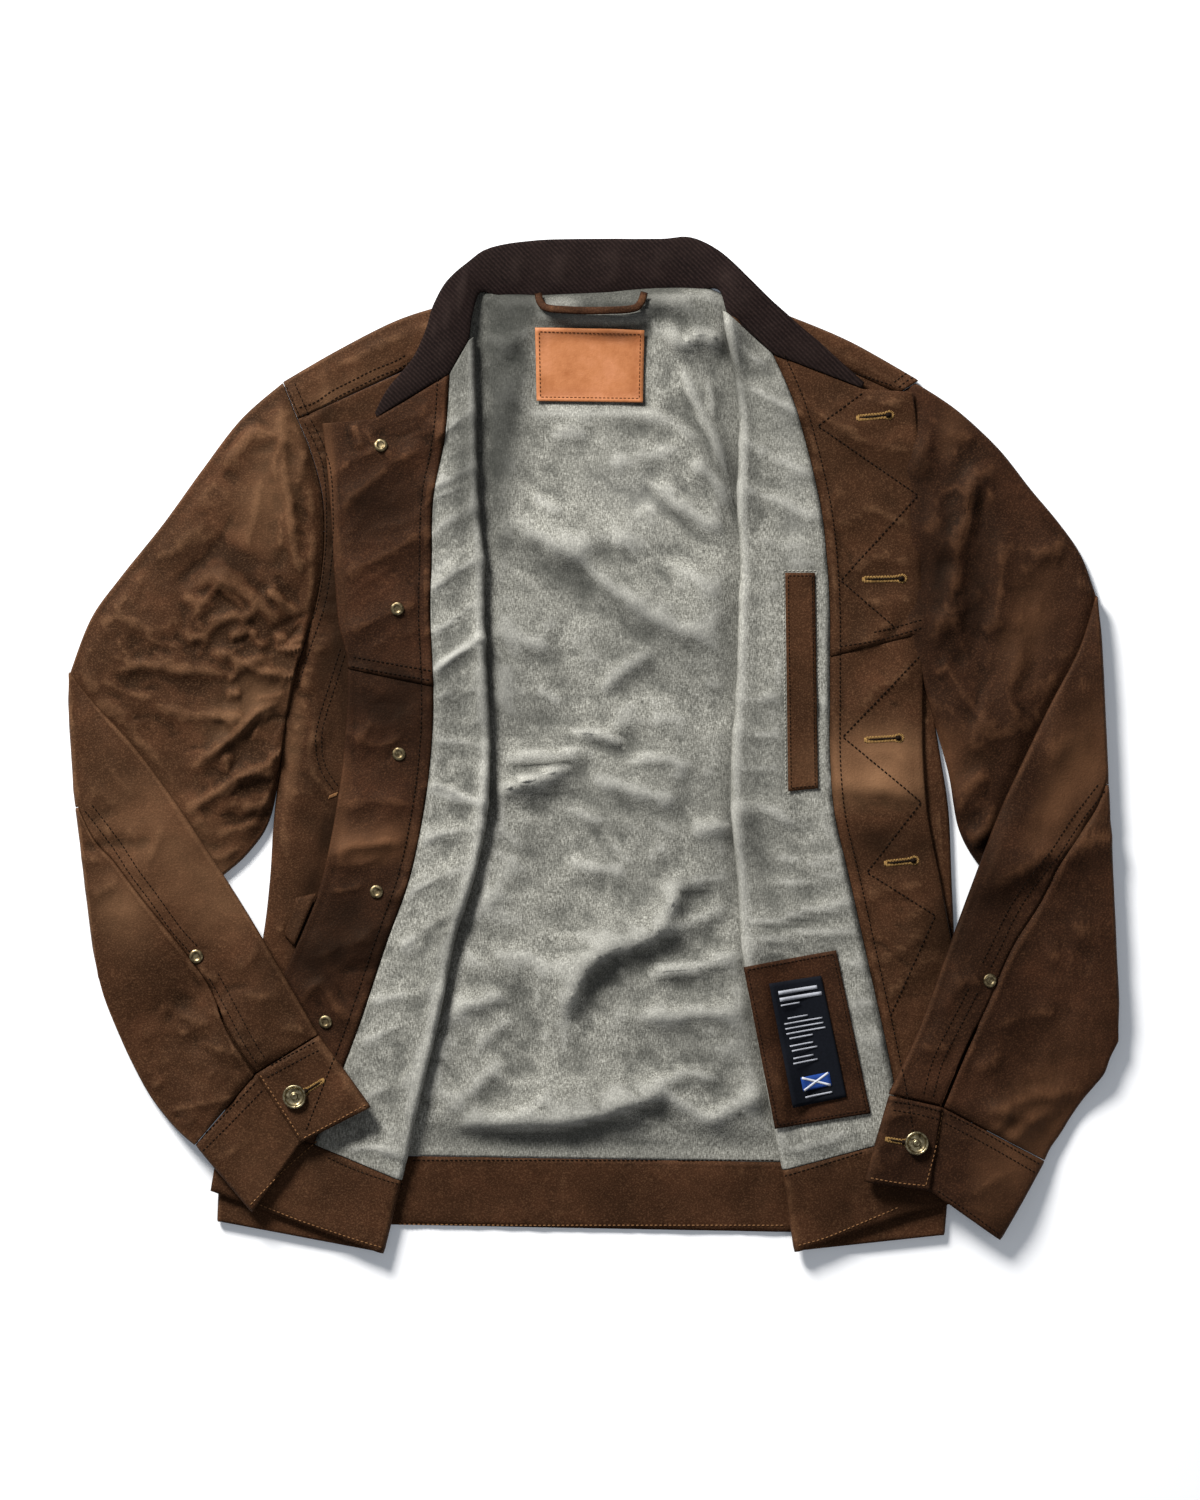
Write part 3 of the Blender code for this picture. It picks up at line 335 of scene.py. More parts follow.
def noise(x, y, seed):
    """Smooth gradient noise from about -1 to 1, one feature to a unit."""
    ix = np.floor(x).astype(np.int64)
    iy = np.floor(y).astype(np.int64)
    fx = x - ix
    fy = y - iy
    u = fx**3 * (fx * (fx * 6 - 15) + 10)
    v = fy**3 * (fy * (fy * 6 - 15) + 10)
    total = 0.0
    for dx in (0, 1):
        for dy in (0, 1):
            angle = lattice(ix + dx, iy + dy, seed) * 2 * math.pi
            slope = np.cos(angle) * (fx - dx) + np.sin(angle) * (fy - dy)
            total = total + slope * (u if dx else 1 - u) * (v if dy else 1 - v)
    return total * 1.5


def ridges(x, y, seed):
    """Sharp-crested noise from 0 to 1, as crumpled cloth shows."""
    return (1 - np.minimum(np.abs(noise(x, y, seed)) * 1.6, 1.0)) ** 2


def facets(x, y, size, seed):
    """Flat slopes between keen folds, from 0 to 1, as stiff cloth crumples."""
    field = noise(x / size, y / size, seed) + 0.45 * noise(2.1 * x / size, 2.1 * y / size, seed + 1)
    return 1 - np.abs(np.mod(2.3 * field, 2.0) - 1)


def smooth_line(points, steps):
    """A smooth line through plan points."""
    return densify(np.array(points, float), 0, None, steps)


def densify(grid, axis, spacing, steps=None, marks=False):
    """Control points made finer along one axis, about spacing mm apart."""
    grid = np.moveaxis(grid, axis, 0)
    last = len(grid) - 1
    spans = np.linalg.norm(np.diff(grid, axis=0), axis=-1).reshape(last, -1).max(axis=1)
    dense = []
    starts = []
    for i in range(last):
        count = steps or max(1, round(spans[i] / spacing))
        before = grid[max(i - 1, 0)]
        after = grid[min(i + 2, last)]
        pull = (grid[i + 1] - before) / 2
        push = (after - grid[i]) / 2
        starts.append(len(dense))
        for k in range(count):
            t = k / count
            dense.append(
                grid[i] * (2 * t**3 - 3 * t**2 + 1)
                + pull * (t**3 - 2 * t**2 + t)
                + grid[i + 1] * (3 * t**2 - 2 * t**3)
                + push * (t**3 - t**2)
            )
    starts.append(len(dense))
    dense.append(grid[-1])
    dense = np.moveaxis(np.array(dense), 0, axis)
    return (dense, starts) if marks else dense


# A crease: its height in mm, the width in mm of its lit slope (left of the way it runs) and
# of its shaded slope, then its crest in image pixels, from left to right or upwards.
Crease = namedtuple("Crease", "path height lit shade")
CREASE_BEND = 1.8
CREASE_BEND_SIZE = 24
CREASE_FADE = 0.28
CREASE_WAVER = 0.25
CREASE_WAVER_SIZE = 17
CREASE_REACH = 3.0


def crease_table(*rows):
    """The creases of a table with rows of height, lit width, shaded width and path."""
    return tuple(Crease(path, height, lit, shade) for height, lit, shade, *path in rows)


def to_path(x, y, path):
    """Distance from points to a line, how far along it, and which side (left is > 0)."""
    steps = np.linalg.norm(np.diff(path, axis=0), axis=1)
    starts = np.concatenate([[0.0], np.cumsum(steps)])
    best = np.full(x.shape, np.inf)
    along = np.zeros(x.shape)
    side = np.zeros(x.shape)
    for k, (a, b) in enumerate(zip(path, path[1:])):
        edge = b - a
        t = np.clip(((x - a[0]) * edge[0] + (y - a[1]) * edge[1]) / (edge @ edge), 0, 1)
        dx = x - a[0] - t * edge[0]
        dy = y - a[1] - t * edge[1]
        gap = dx * dx + dy * dy
        closer = gap < best
        best = np.where(closer, gap, best)
        along = np.where(closer, starts[k] + t * steps[k], along)
        side = np.where(closer, edge[0] * dy - edge[1] * dx, side)
    return np.sqrt(best), along, side, starts[-1]


def crease_lift(creases, x, y, sharp=1.35, broad=0.8):
    """Height that the creases add at plan points in mm.

    A low sharp gives a keen crest, a high one a round roll; broad scales the widths.
    """
    total = np.zeros(x.shape)
    bent_x = x + CREASE_BEND * noise(x / CREASE_BEND_SIZE, y / CREASE_BEND_SIZE, 11)
    bent_y = y + CREASE_BEND * noise(x / CREASE_BEND_SIZE, y / CREASE_BEND_SIZE, 12)
    for number, crease in enumerate(creases):
        path = smooth_line([spot(p) for p in crease.path], 4)
        reach = CREASE_REACH * broad * max(crease.lit, crease.shade)
        near = (bent_x > path[:, 0].min() - reach) & (bent_x < path[:, 0].max() + reach)
        near &= (bent_y > path[:, 1].min() - reach) & (bent_y < path[:, 1].max() + reach)
        if not near.any():
            continue
        gap, along, side, length = to_path(bent_x[near], bent_y[near], path)
        part = along / length
        fade = smoothstep(part / CREASE_FADE) * smoothstep((1 - part) / CREASE_FADE)
        width = broad * np.where(side > 0, crease.lit, crease.shade)
        uneven = noise(along / CREASE_WAVER_SIZE, np.full(along.shape, 3.7 * number), 13)
        lift = crease.height * fade * (1 + CREASE_WAVER * uneven)
        total[near] += lift * np.exp(-((gap / width) ** sharp))
    return total


# Creases strewn over patches. A row holds a patch's middle and reach in image pixels, the
# bearing of most of its creases in degrees up from the +X way, how many, and the greatest
# height in mm. One crease in three is a shallower trough.
STREWN_BEARING = 24
STREWN_HALF = (8, 30)
STREWN_BEND = 0.35
STREWN_SHARE = (0.35, 1.0)
STREWN_WAYS = (1.0, 1.0, -0.6)
STREWN_WIDTH = (2.2, 5.2)
LIT_TO_SHADE = 1.25


def strew(seed, size, *patches):
    """Short creases at random places, uneven in length, height and width."""
    chance = random.Random(seed)
    strewn = []
    for middle, reach, main_bearing, count, greatest in patches:
        for _ in range(count):
            x = middle[0] + chance.uniform(-1, 1) * reach[0]
            y = middle[1] + chance.uniform(-1, 1) * reach[1]
            bearing = math.radians(main_bearing + chance.gauss(0, STREWN_BEARING))
            half = chance.uniform(*STREWN_HALF) * size
            bend = chance.uniform(-STREWN_BEND, STREWN_BEND) * half
            way = (math.cos(bearing), -math.sin(bearing))
            path = (
                (x - way[0] * half, y - way[1] * half),
                (x - way[1] * bend, y + way[0] * bend),
                (x + way[0] * half, y + way[1] * half),
            )
            height = greatest * chance.uniform(*STREWN_SHARE) * chance.choice(STREWN_WAYS)
            width = chance.uniform(*STREWN_WIDTH) * size
            strewn.append(Crease(path, height, LIT_TO_SHADE * width, width))
    return tuple(strewn)


# Painted light (above 0) and painted shade (below 0) on the cloth's colour, where light and
# shade fall: middle and reach in image pixels, bearing of the long way in degrees, and how much.
PaintedLight = namedtuple("PaintedLight", "middle reach bearing amount")


def painted_light_table(*rows):
    """The painted light and shade of a table."""
    return tuple(PaintedLight(*row) for row in rows)


def painted_light_at(x, y, toning):
    """The painted light (above 0) and painted shade at plan points, from -1 to 1."""
    total = np.zeros(x.shape)
    for tone in toning:
        middle = spot(tone.middle)
        turn = math.radians(tone.bearing)
        dx = x - middle[0]
        dy = y - middle[1]
        along = (dx * math.cos(turn) + dy * math.sin(turn)) / (tone.reach[0] * PIXEL)
        across = (dy * math.cos(turn) - dx * math.sin(turn)) / (tone.reach[1] * PIXEL)
        total += tone.amount * np.exp(-(along**2) - across**2)
    return np.clip(total * (1 + 0.5 * noise(x / 22, y / 22, 91)), -1, 1)


# Painted light and painted shade on the waxed cloth, where the lamp lights it or leaves it in
# shade.
WAXED_PAINTED_LIGHT = painted_light_table(
    # The wearer's right sleeve, forearm and cuff.
    ((268, 500), (80, 28), 70, 0.3),
    ((226, 566), (34, 18), -20, -0.7),
    ((256, 700), (50, 24), 35, 0.35),
    ((150, 830), (60, 44), -50, 0.3),
    ((222, 900), (60, 34), -55, 0.4),
    ((124, 912), (30, 22), -60, 0.5),
    ((270, 1170), (60, 34), 45, 0.1),
    # The facing with the tack buttons.
    ((333, 480), (90, 5), 95, 0.5),
    ((376, 506), (34, 30), 20, -0.8),
    ((395, 674), (46, 7), -20, -0.9),
    ((395, 712), (64, 38), -8, -1.0),
    ((372, 846), (50, 20), 5, 0.6),
    ((345, 790), (50, 6), 84, 0.4),
    ((348, 945), (86, 52), 15, -1.0),
    # The facing with the buttonholes.
    ((885, 462), (52, 20), -10, -0.5),
    ((885, 768), (64, 34), 5, 1.0),
    ((886, 842), (54, 20), 0, -0.8),
    ((920, 560), (110, 8), 88, -0.6),
    # The wearer's left sleeve.
    ((940, 580), (90, 14), 84, -0.8),
    ((976, 596), (60, 16), 80, -0.7),
    ((1026, 620), (50, 24), 70, 0.35),
    ((950, 440), (50, 14), 70, 0.3),
    ((1072, 775), (60, 30), 75, 0.7),
    ((1022, 836), (40, 20), 50, 0.5),
    ((1076, 866), (34, 12), 12, -0.6),
    ((968, 900), (100, 32), 62, -0.9),
    ((1026, 1140), (90, 36), 60, 0.5),
    # The shoulder's edge and the hem.
    ((345, 395), (60, 14), 25, 0.3),
    ((620, 1194), (300, 34), 0, -0.25),
    ((330, 1196), (70, 34), 10, 0.12),
    ((862, 1196), (70, 34), -10, -0.35),
    ((912, 1140), (28, 40), 60, -0.3),
)
# Mostly painted shadow on the outer cloth, in shade between the sleeve and the front's edge.
LOW_SHELL_PAINTED_SHADE = painted_light_table(
    ((327, 590), (76, 11), 88, -0.9),
    ((340, 640), (120, 7), 95, -1.0),
    ((322, 860), (120, 11), 72, -0.9),
    ((332, 470), (60, 8), 95, -0.8),
    ((298, 740), (60, 10), 80, 0.4),
    ((322, 740), (110, 20), 85, -0.55),
    ((350, 408), (44, 10), 25, -0.4),
)
# Painted shade where the collar and the fronts shade the back lining, and a little painted light.
LINING_PAINTED_LIGHT = painted_light_table(
    ((500, 620), (260, 12), 90, -0.35),
    ((600, 302), (120, 22), 0, -1.0),
    ((505, 350), (70, 36), 80, -1.0),
    ((500, 440), (90, 22), 88, -0.8),
    ((570, 580), (110, 16), -32, -0.55),
    ((700, 440), (60, 16), -60, -0.4),
    ((684, 316), (34, 18), -10, -0.6),
    ((620, 960), (50, 14), 20, -0.3),
    ((640, 500), (50, 30), -30, 0.2),
)
# Painted light and shade on the fronts' lining strips: painted shade by the folds, painted
# highlights on crests.
STRIP_PAINTED_LIGHT = painted_light_table(
    ((484, 440), (170, 10), 89, -0.6),
    ((480, 720), (160, 7), 82, -0.35),
    ((464, 480), (120, 13), 86, -0.65),
    ((452, 560), (40, 7), 42, 0.5),
    ((458, 652), (34, 4), 38, 0.9),
    ((456, 797), (34, 4), -14, 0.8),
    ((448, 710), (90, 18), 84, -0.4),
    ((448, 350), (70, 24), 70, -0.9),
    ((434, 980), (130, 8), 68, -0.35),
    ((735, 380), (60, 10), -75, -0.5),
    ((800, 600), (180, 10), -86, 0.25),
)


# ---------------------------------------------------------------- what lies on what


def spread(field, reach):
    """The highest neighbour within reach cells."""
    for axis in (0, 1):
        out = field.copy()
        for shift in range(1, reach + 1):
            out = np.maximum(out, np.roll(field, shift, axis))
            out = np.maximum(out, np.roll(field, -shift, axis))
        field = out
    return field


def soften(field, reach):
    """The mean of the neighbours within reach cells."""
    for axis in (0, 1):
        total = field.copy()
        for shift in range(1, reach + 1):
            total = total + np.roll(field, shift, axis) + np.roll(field, -shift, axis)
        field = total / (2 * reach + 1)
    return field


class Ground:
    """The height of everything laid so far, on square cells over the floor."""

    HALF = 420.0
    CELL = 2.0

    def __init__(self):
        count = int(2 * self.HALF / self.CELL)
        self.z = np.zeros((count, count))

    def lay(self, points, wall):
        """Adds the top of a sheet to what lies there."""
        points = points.reshape(-1, 3)
        ix = ((points[:, 0] + self.HALF) / self.CELL).astype(int)
        iy = ((points[:, 1] + self.HALF) / self.CELL).astype(int)
        fresh = np.zeros(self.z.shape)
        np.maximum.at(fresh, (iy, ix), points[:, 2] + wall / 2)
        self.z = np.maximum(self.z, spread(fresh, 1))

    def rest(self, x, y, margin=2, blur=2):
        """The height at which soft cloth comes to lie over what is there."""
        field = spread(self.z, margin + blur)
        for _ in range(2):
            field = soften(field, blur)
        gx = np.clip((x + self.HALF) / self.CELL - 0.5, 0, field.shape[1] - 2)
        gy = np.clip((y + self.HALF) / self.CELL - 0.5, 0, field.shape[0] - 2)
        ix = gx.astype(int)
        iy = gy.astype(int)
        fx = gx - ix
        fy = gy - iy
        low = field[iy, ix] * (1 - fx) + field[iy, ix + 1] * fx
        high = field[iy + 1, ix] * (1 - fx) + field[iy + 1, ix + 1] * fx
        return low * (1 - fy) + high * fy


GROUND = Ground()


# ---------------------------------------------------------------- sheets as meshes


def join_columns(*blocks):
    """Blocks of columns (rows, columns, 3) side by side."""
    return np.concatenate(blocks, axis=1)


def at_height(plan, z):
    """Plan points with a height: (..., 2) and a number or an array."""
    z = np.broadcast_to(z, plan.shape[:-1])
    return np.concatenate([plan, z[..., None]], axis=-1)


def run(start, end, count, closed=False):
    """Columns of points from start to end, the end left out unless closed."""
    t = np.arange(count + 1 if closed else count) / count
    return start[:, None] + (end - start)[:, None] * t[None, :, None]


def arc(axis, outward, axis_z, radius, count):
    """Half a circle of columns about a fold's axis, upwards, both ends in."""
    angle = math.pi * (np.arange(count + 1) / count - 0.5)
    reach = axis[:, None] + outward[:, None] * (radius * np.cos(angle))[None, :, None]
    return at_height(reach, axis_z + radius * np.sin(angle))


def across_count(start, end, spacing):
    """How many steps of this spacing lie between two lines."""
    return max(2, round(float(np.median(np.linalg.norm(end - start, axis=-1))) / spacing))


def grid_normals(grid):
    """The normal at each point of a grid."""
    along_rows = np.gradient(grid, axis=0)
    along_columns = np.gradient(grid, axis=1)
    return unit(np.cross(along_columns, along_rows))


def box_blur(field, reach):
    """The mean over a square of grid points, edges repeated."""
    for axis in (0, 1):
        pad = [(0, 0), (0, 0)]
        pad[axis] = (reach + 1, reach)
        total = np.cumsum(np.pad(field, pad, mode="edge"), axis=axis)
        size = field.shape[axis]
        high = np.take(total, np.arange(2 * reach + 1, 2 * reach + 1 + size), axis=axis)
        low = np.take(total, np.arange(0, size), axis=axis)
        field = (high - low) / (2 * reach + 1)
    return field


# How strongly small and broad relief mark the cloth's crests and creases.
FINE_CREST = 5.6
BROAD_CREST = 5.0


def crests(grid, near, far):
    """Where cloth stands proud (to 1) or lies in a crease (to -1)."""
    z = grid[..., 2]
    fine = z - box_blur(z, max(1, round(near / STEP)))
    broad = z - box_blur(z, max(1, round(far / STEP)))
    return np.clip(fine * FINE_CREST / near + broad * BROAD_CREST / far, -1, 1)


def every_second(count):
    """Every second index up to the last, both ends in."""
    return np.unique(np.append(np.arange(0, count, 2), count - 1))


def triangles(index):
    """Two triangles for each cell of a grid of point numbers."""
    a, b = index[:-1, :-1], index[:-1, 1:]
    c, d = index[1:, 1:], index[1:, :-1]
    return np.concatenate([np.stack([a, b, c], axis=-1).reshape(-1, 3),
                           np.stack([a, c, d], axis=-1).reshape(-1, 3)])


def rim_faces(outer, inner, kept):
    """The edge of a shell: its full border joined to the border with fewer points."""
    marks = np.flatnonzero(kept)
    count = len(outer)
    faces = []
    for p, q in zip(marks, np.append(marks[1:], marks[0] + count)):
        middle = (p + q) // 2
        near, far = inner[p], inner[q % count]
        for i in range(p, q):
            held = near if i < middle else far
            faces.append((outer[i % count], held, outer[(i + 1) % count]))
        faces.append((outer[middle % count], near, far))
    return np.array(faces)


def shell(name, grid, material, wall=WALL, rim=0.5, near=3.5, far=11.0, toning=WAXED_PAINTED_LIGHT):
    """A closed thin shell on a grid of middle points (rows, columns, 3) in mm.

    The hidden side keeps every second point each way. The rim is the share of the wall's
    thickness that is left at the border, and near and far are the sizes in mm of the
    relief that is marked as crests and creases.
    """
    rows, cols = grid.shape[:2]
    half = np.full((rows, cols), wall / 2)
    half[[0, -1], :] *= rim
    half[:, [0, -1]] *= rim
    offset = grid_normals(grid) * half[..., None]
    kept = np.ix_(every_second(rows), every_second(cols))
    hidden = (grid - offset)[kept]
    points = np.concatenate([(grid + offset).reshape(-1, 3), hidden.reshape(-1, 3)])
    index = np.arange(rows * cols).reshape(rows, cols)
    under = np.full((rows, cols), -1)
    under[kept] = rows * cols + np.arange(hidden[..., 0].size).reshape(hidden.shape[:2])
    ring = [np.concatenate([field[0, :], field[1:, -1], field[-1, -2::-1], field[-2:0:-1, 0]])
            for field in (index, under)]
    faces = np.concatenate([
        triangles(index),
        triangles(under[kept])[:, ::-1],
        rim_faces(ring[0], ring[1], ring[1] >= 0),
    ])
    # Marks for the materials: crests and creases of the relief, on which they paint a highlight or
    # wear and shade, and the tables' painted light and painted shade.
    fold = crests(grid, near, far)
    tone = painted_light_at(grid[..., 0], grid[..., 1], toning)
    marks = {}
    for mark, field in (("crest", fold), ("crease", -fold), ("painted_highlight", tone), ("shade", -tone)):
        field = np.maximum(field, 0.0)
        marks[mark] = np.concatenate([field.ravel(), field[kept].ravel()])
    return make_piece(name, points, faces, material, marks)


def make_piece(name, points, faces, material, marks=None):
    """A mesh object from points in mm and faces of one size, with numbers at its points."""
    points[:, 2] = np.maximum(points[:, 2], 0.0)
    mesh = bpy.data.meshes.new(name)
    mesh.vertices.add(len(points))
    mesh.vertices.foreach_set("co", (points * MM).ravel())
    size = faces.shape[1]
    mesh.loops.add(faces.size)
    mesh.loops.foreach_set("vertex_index", faces.ravel())
    mesh.polygons.add(len(faces))
    mesh.polygons.foreach_set("loop_start", np.arange(0, faces.size, size))
    mesh.polygons.foreach_set("loop_total", np.full(len(faces), size))
    for mark, values in (marks or {}).items():
        layer = mesh.attributes.new(mark, "FLOAT", "POINT")
        layer.data.foreach_set("value", values.astype(np.float32))
    mesh.update(calc_edges=True)
    mesh.validate()
    mesh.shade_smooth()
    mesh.materials.append(material)
    piece = bpy.data.objects.new(name, mesh)
    bpy.context.scene.collection.objects.link(piece)
    return piece


# ---------------------------------------------------------------- the body


BACK_CREASES = crease_table(
    # The long fold that climbs from the hem to the wearer's left front.
    (4.6, 15, 8, (561, 1058), (565, 1022), (573, 990), (592, 960), (625, 945), (655, 932),
     (668, 912), (678, 889), (702, 880), (740, 875)),
    (2.6, 7, 6, (640, 992), (662, 972), (700, 966), (735, 956), (752, 948)),
    (2.6, 7, 7, (628, 1020), (665, 1013), (710, 1010), (755, 1014)),
    (1.6, 5, 5, (650, 930), (690, 922), (730, 905)),
    (3.2, 14, 6, (430, 1127), (500, 1127), (560, 1121), (610, 1110), (650, 1096), (672, 1098),
     (700, 1112), (728, 1120)),
    (1.9, 7, 6, (448, 1112), (470, 1090), (490, 1070), (505, 1050)),
    (2.4, 8, 6, (698, 1132), (735, 1106), (775, 1086)),
    (2.0, 4, 4, (590, 1141), (640, 1136), (700, 1144), (765, 1145)),
    (1.6, 6, 8, (640, 1098), (665, 1080), (700, 1074), (730, 1080)),
    (1.6, 8, 7, (440, 1030), (465, 1006), (492, 998), (520, 1004)),
    (1.3, 6, 6, (470, 1060), (495, 1030), (520, 1015)),
    (1.2, 9, 7, (480, 960), (520, 955), (555, 962)),
    # The sharp fold at the wearer's right, above the middle.
    (2.6, 7, 3, (500, 768), (520, 759), (552, 757), (586, 753)),
    (3.4, 4, 8, (488, 800), (520, 782), (552, 772), (584, 762)),
    (2.2, 4, 4, (566, 738), (585, 732), (606, 736), (630, 746)),
    (2.4, 9, 9, (580, 770), (604, 782), (640, 792), (690, 803)),
    (1.6, 4, 5, (618, 768), (646, 759), (672, 760), (700, 771)),
    (1.0, 6, 6, (540, 806), (575, 812), (610, 824)),
    (2.4, 8, 7, (688, 834), (712, 827), (742, 829)),
    (1.3, 8, 7, (560, 862), (590, 866), (632, 872)),
    (1.3, 9, 8, (484, 918), (500, 880), (525, 850)),
    (1.2, 5, 3, (534, 693), (550, 697), (566, 706)),
    (1.5, 5, 5, (596, 704), (617, 676), (640, 658), (664, 646)),
    (1.1, 7, 7, (600, 735), (625, 722), (660, 718), (700, 720)),
    # The long soft roll across the shoulder blades.
    (3.0, 19, 9, (484, 528), (530, 534), (566, 552), (602, 580), (634, 604), (672, 626), (706, 640),
     (738, 668)),
    (1.6, 11, 8, (478, 628), (520, 640), (560, 650)),
    (-1.3, 4, 4, (636, 474), (656, 500), (684, 528), (714, 548)),
    (1.8, 9, 9, (652, 470), (676, 498), (704, 520), (738, 532)),
    (2.6, 6, 8, (682, 463), (704, 471), (724, 490), (742, 512)),
    (1.2, 7, 7, (560, 560), (585, 546), (620, 540), (650, 536)),
    (1.2, 4, 4, (528, 500), (545, 503), (562, 514)),
    (1.2, 8, 8, (660, 562), (690, 575), (726, 590)),
    (1.2, 7, 8, (596, 470), (625, 462), (660, 452), (690, 448)),
    # Under the neck: the tuck below the loop and the creases round the patch.
    (3.0, 4, 6, (528, 320), (548, 316), (632, 316), (648, 306), (668, 302), (686, 306), (704, 324)),
    (2.4, 9, 2.4, (676, 356), (692, 398), (709, 434), (724, 464), (736, 492)),
    (1.3, 4, 2, (705, 376), (710, 398), (713, 422)),
    (3.2, 5, 8, (672, 318), (678, 344), (694, 336), (712, 338), (730, 346)),
    (2.2, 6, 9, (512, 418), (556, 408), (606, 405), (652, 414), (694, 438), (712, 460)),
    (1.3, 4, 4, (548, 436), (570, 431), (592, 434)),
    (1.8, 4, 5, (470, 338), (502, 342), (526, 330), (540, 318)),
    (1.1, 5, 4, (478, 372), (500, 356), (520, 348)),
)

RIGHT_FRONT_CREASES = crease_table(
    # Lining strip: bright diagonals that climb to the fold.
    (3.0, 7, 4, (424, 676), (446, 662), (468, 648), (494, 624)),
    (2.8, 4, 6, (416, 787), (446, 788), (470, 796), (500, 806)),
    (2.0, 7, 6, (430, 446), (452, 428), (484, 404)),
    (2.6, 8, 9, (420, 498), (446, 482), (490, 462)),
    (1.6, 9, 7, (420, 552), (446, 524), (494, 500)),
    (2.4, 9, 6, (418, 596), (446, 580), (470, 566), (492, 548)),
    (2.0, 8, 7, (418, 640), (448, 624), (490, 596)),
    (1.2, 6, 5, (424, 700), (456, 692), (496, 690)),
    (1.6, 6, 6, (424, 738), (456, 742), (496, 752)),
    (2.0, 10, 7, (410, 850), (440, 834), (494, 826)),
    (2.0, 9, 8, (398, 906), (430, 880), (480, 866)),
    (2.0, 9, 8, (388, 962), (416, 934), (470, 900)),
    (1.8, 7, 8, (360, 1000), (400, 996), (450, 978)),
    (1.4, 9, 8, (346, 1050), (390, 1030), (440, 1014)),
    (1.6, 9, 8, (340, 1120), (370, 1094), (420, 1080)),
    (2.0, 6, 5, (340, 1152), (372, 1146), (414, 1160)),
    # Facing: broad soft rolls.
    (1.8, 10, 12, (312, 540), (346, 506), (388, 468), (438, 440)),
    (1.2, 7, 8, (320, 486), (352, 462), (388, 446)),
    (2.0, 14, 10, (330, 590), (362, 566), (400, 548), (440, 520)),
    (1.4, 10, 9, (330, 640), (370, 622), (430, 600)),
    (1.6, 4, 3, (350, 425), (358, 436), (362, 452)),
    (1.2, 5, 5, (366, 424), (372, 440), (398, 460)),
    (1.6, 5, 6, (330, 728), (350, 735), (372, 748)),
    (1.6, 9, 9, (328, 812), (360, 800), (430, 806)),
    (3.6, 12, 9, (318, 862), (352, 846), (412, 840)),
    (1.3, 12, 10, (300, 960), (340, 948), (392, 934)),
    (1.5, 6, 6, (292, 1012), (320, 985), (336, 1004), (370, 1030)),
)

LEFT_FRONT_CREASES = crease_table(
    # Lining strip: diagonals that fall away from the fold, level folds lower down.
    (2.4, 5, 7, (722, 312), (732, 338), (752, 358), (776, 372)),
    (3.0, 6, 8, (732, 380), (758, 392), (782, 404), (812, 420)),
    (2.6, 9, 8, (728, 430), (762, 452), (788, 466), (822, 484)),
    (2.8, 8, 7, (726, 484), (760, 496), (792, 508), (832, 524)),
    (1.4, 9, 8, (730, 540), (770, 542), (832, 556)),
    (1.4, 8, 7, (730, 604), (760, 592), (786, 582)),
    (2.2, 6, 7, (730, 696), (756, 698), (786, 694)),
    (1.6, 5, 5, (722, 732), (756, 732), (788, 738)),
    (2.2, 6, 6, (722, 808), (756, 808), (784, 818), (800, 826)),
    (1.2, 5, 5, (726, 762), (758, 766), (786, 762)),
    (1.8, 6, 6, (760, 866), (786, 856), (816, 862), (856, 850)),
    (1.6, 6, 6, (770, 878), (800, 880), (858, 870)),
    (3.0, 5, 5, (728, 926), (770, 920), (812, 910), (866, 896)),
    (2.6, 4, 5, (730, 946), (780, 936), (822, 930), (868, 928)),
    (1.2, 5, 5, (826, 968), (850, 962), (872, 968)),
    (1.2, 5, 5, (836, 1010), (858, 1002), (880, 1006)),
    (1.4, 5, 5, (842, 1048), (866, 1036), (890, 1040)),
    (2.6, 5, 5, (768, 1136), (806, 1124), (850, 1110), (880, 1096)),
    (1.8, 4, 5, (772, 1152), (812, 1142), (858, 1128)),
    (1.6, 5, 4, (800, 690), (820, 700), (834, 716)),
    # Facing.
    (1.8, 8, 8, (800, 404), (838, 426), (880, 446), (926, 456)),
    (1.2, 5, 7, (858, 398), (882, 404), (908, 400)),
    (1.3, 11, 9, (826, 480), (850, 500), (890, 520), (926, 528)),
    (1.0, 5, 4, (836, 530), (866, 512), (880, 506)),
    (1.4, 7, 7, (846, 574), (872, 560), (896, 560), (924, 568)),
    (1.2, 5, 7, (850, 596), (884, 602), (924, 598)),
    (1.1, 7, 6, (850, 652), (872, 636), (896, 618)),
    (1.8, 10, 8, (846, 716), (880, 688), (930, 662)),
    (3.4, 24, 7, (820, 792), (852, 788), (890, 792), (934, 802)),
    (0.9, 4, 4, (860, 760), (888, 750), (912, 772)),
    (1.2, 10, 9, (846, 900), (880, 890), (940, 880)),
    (1.7, 9, 7, (866, 964), (896, 950), (930, 920)),
    (1.2, 8, 7, (872, 1000), (900, 984), (930, 952)),
)

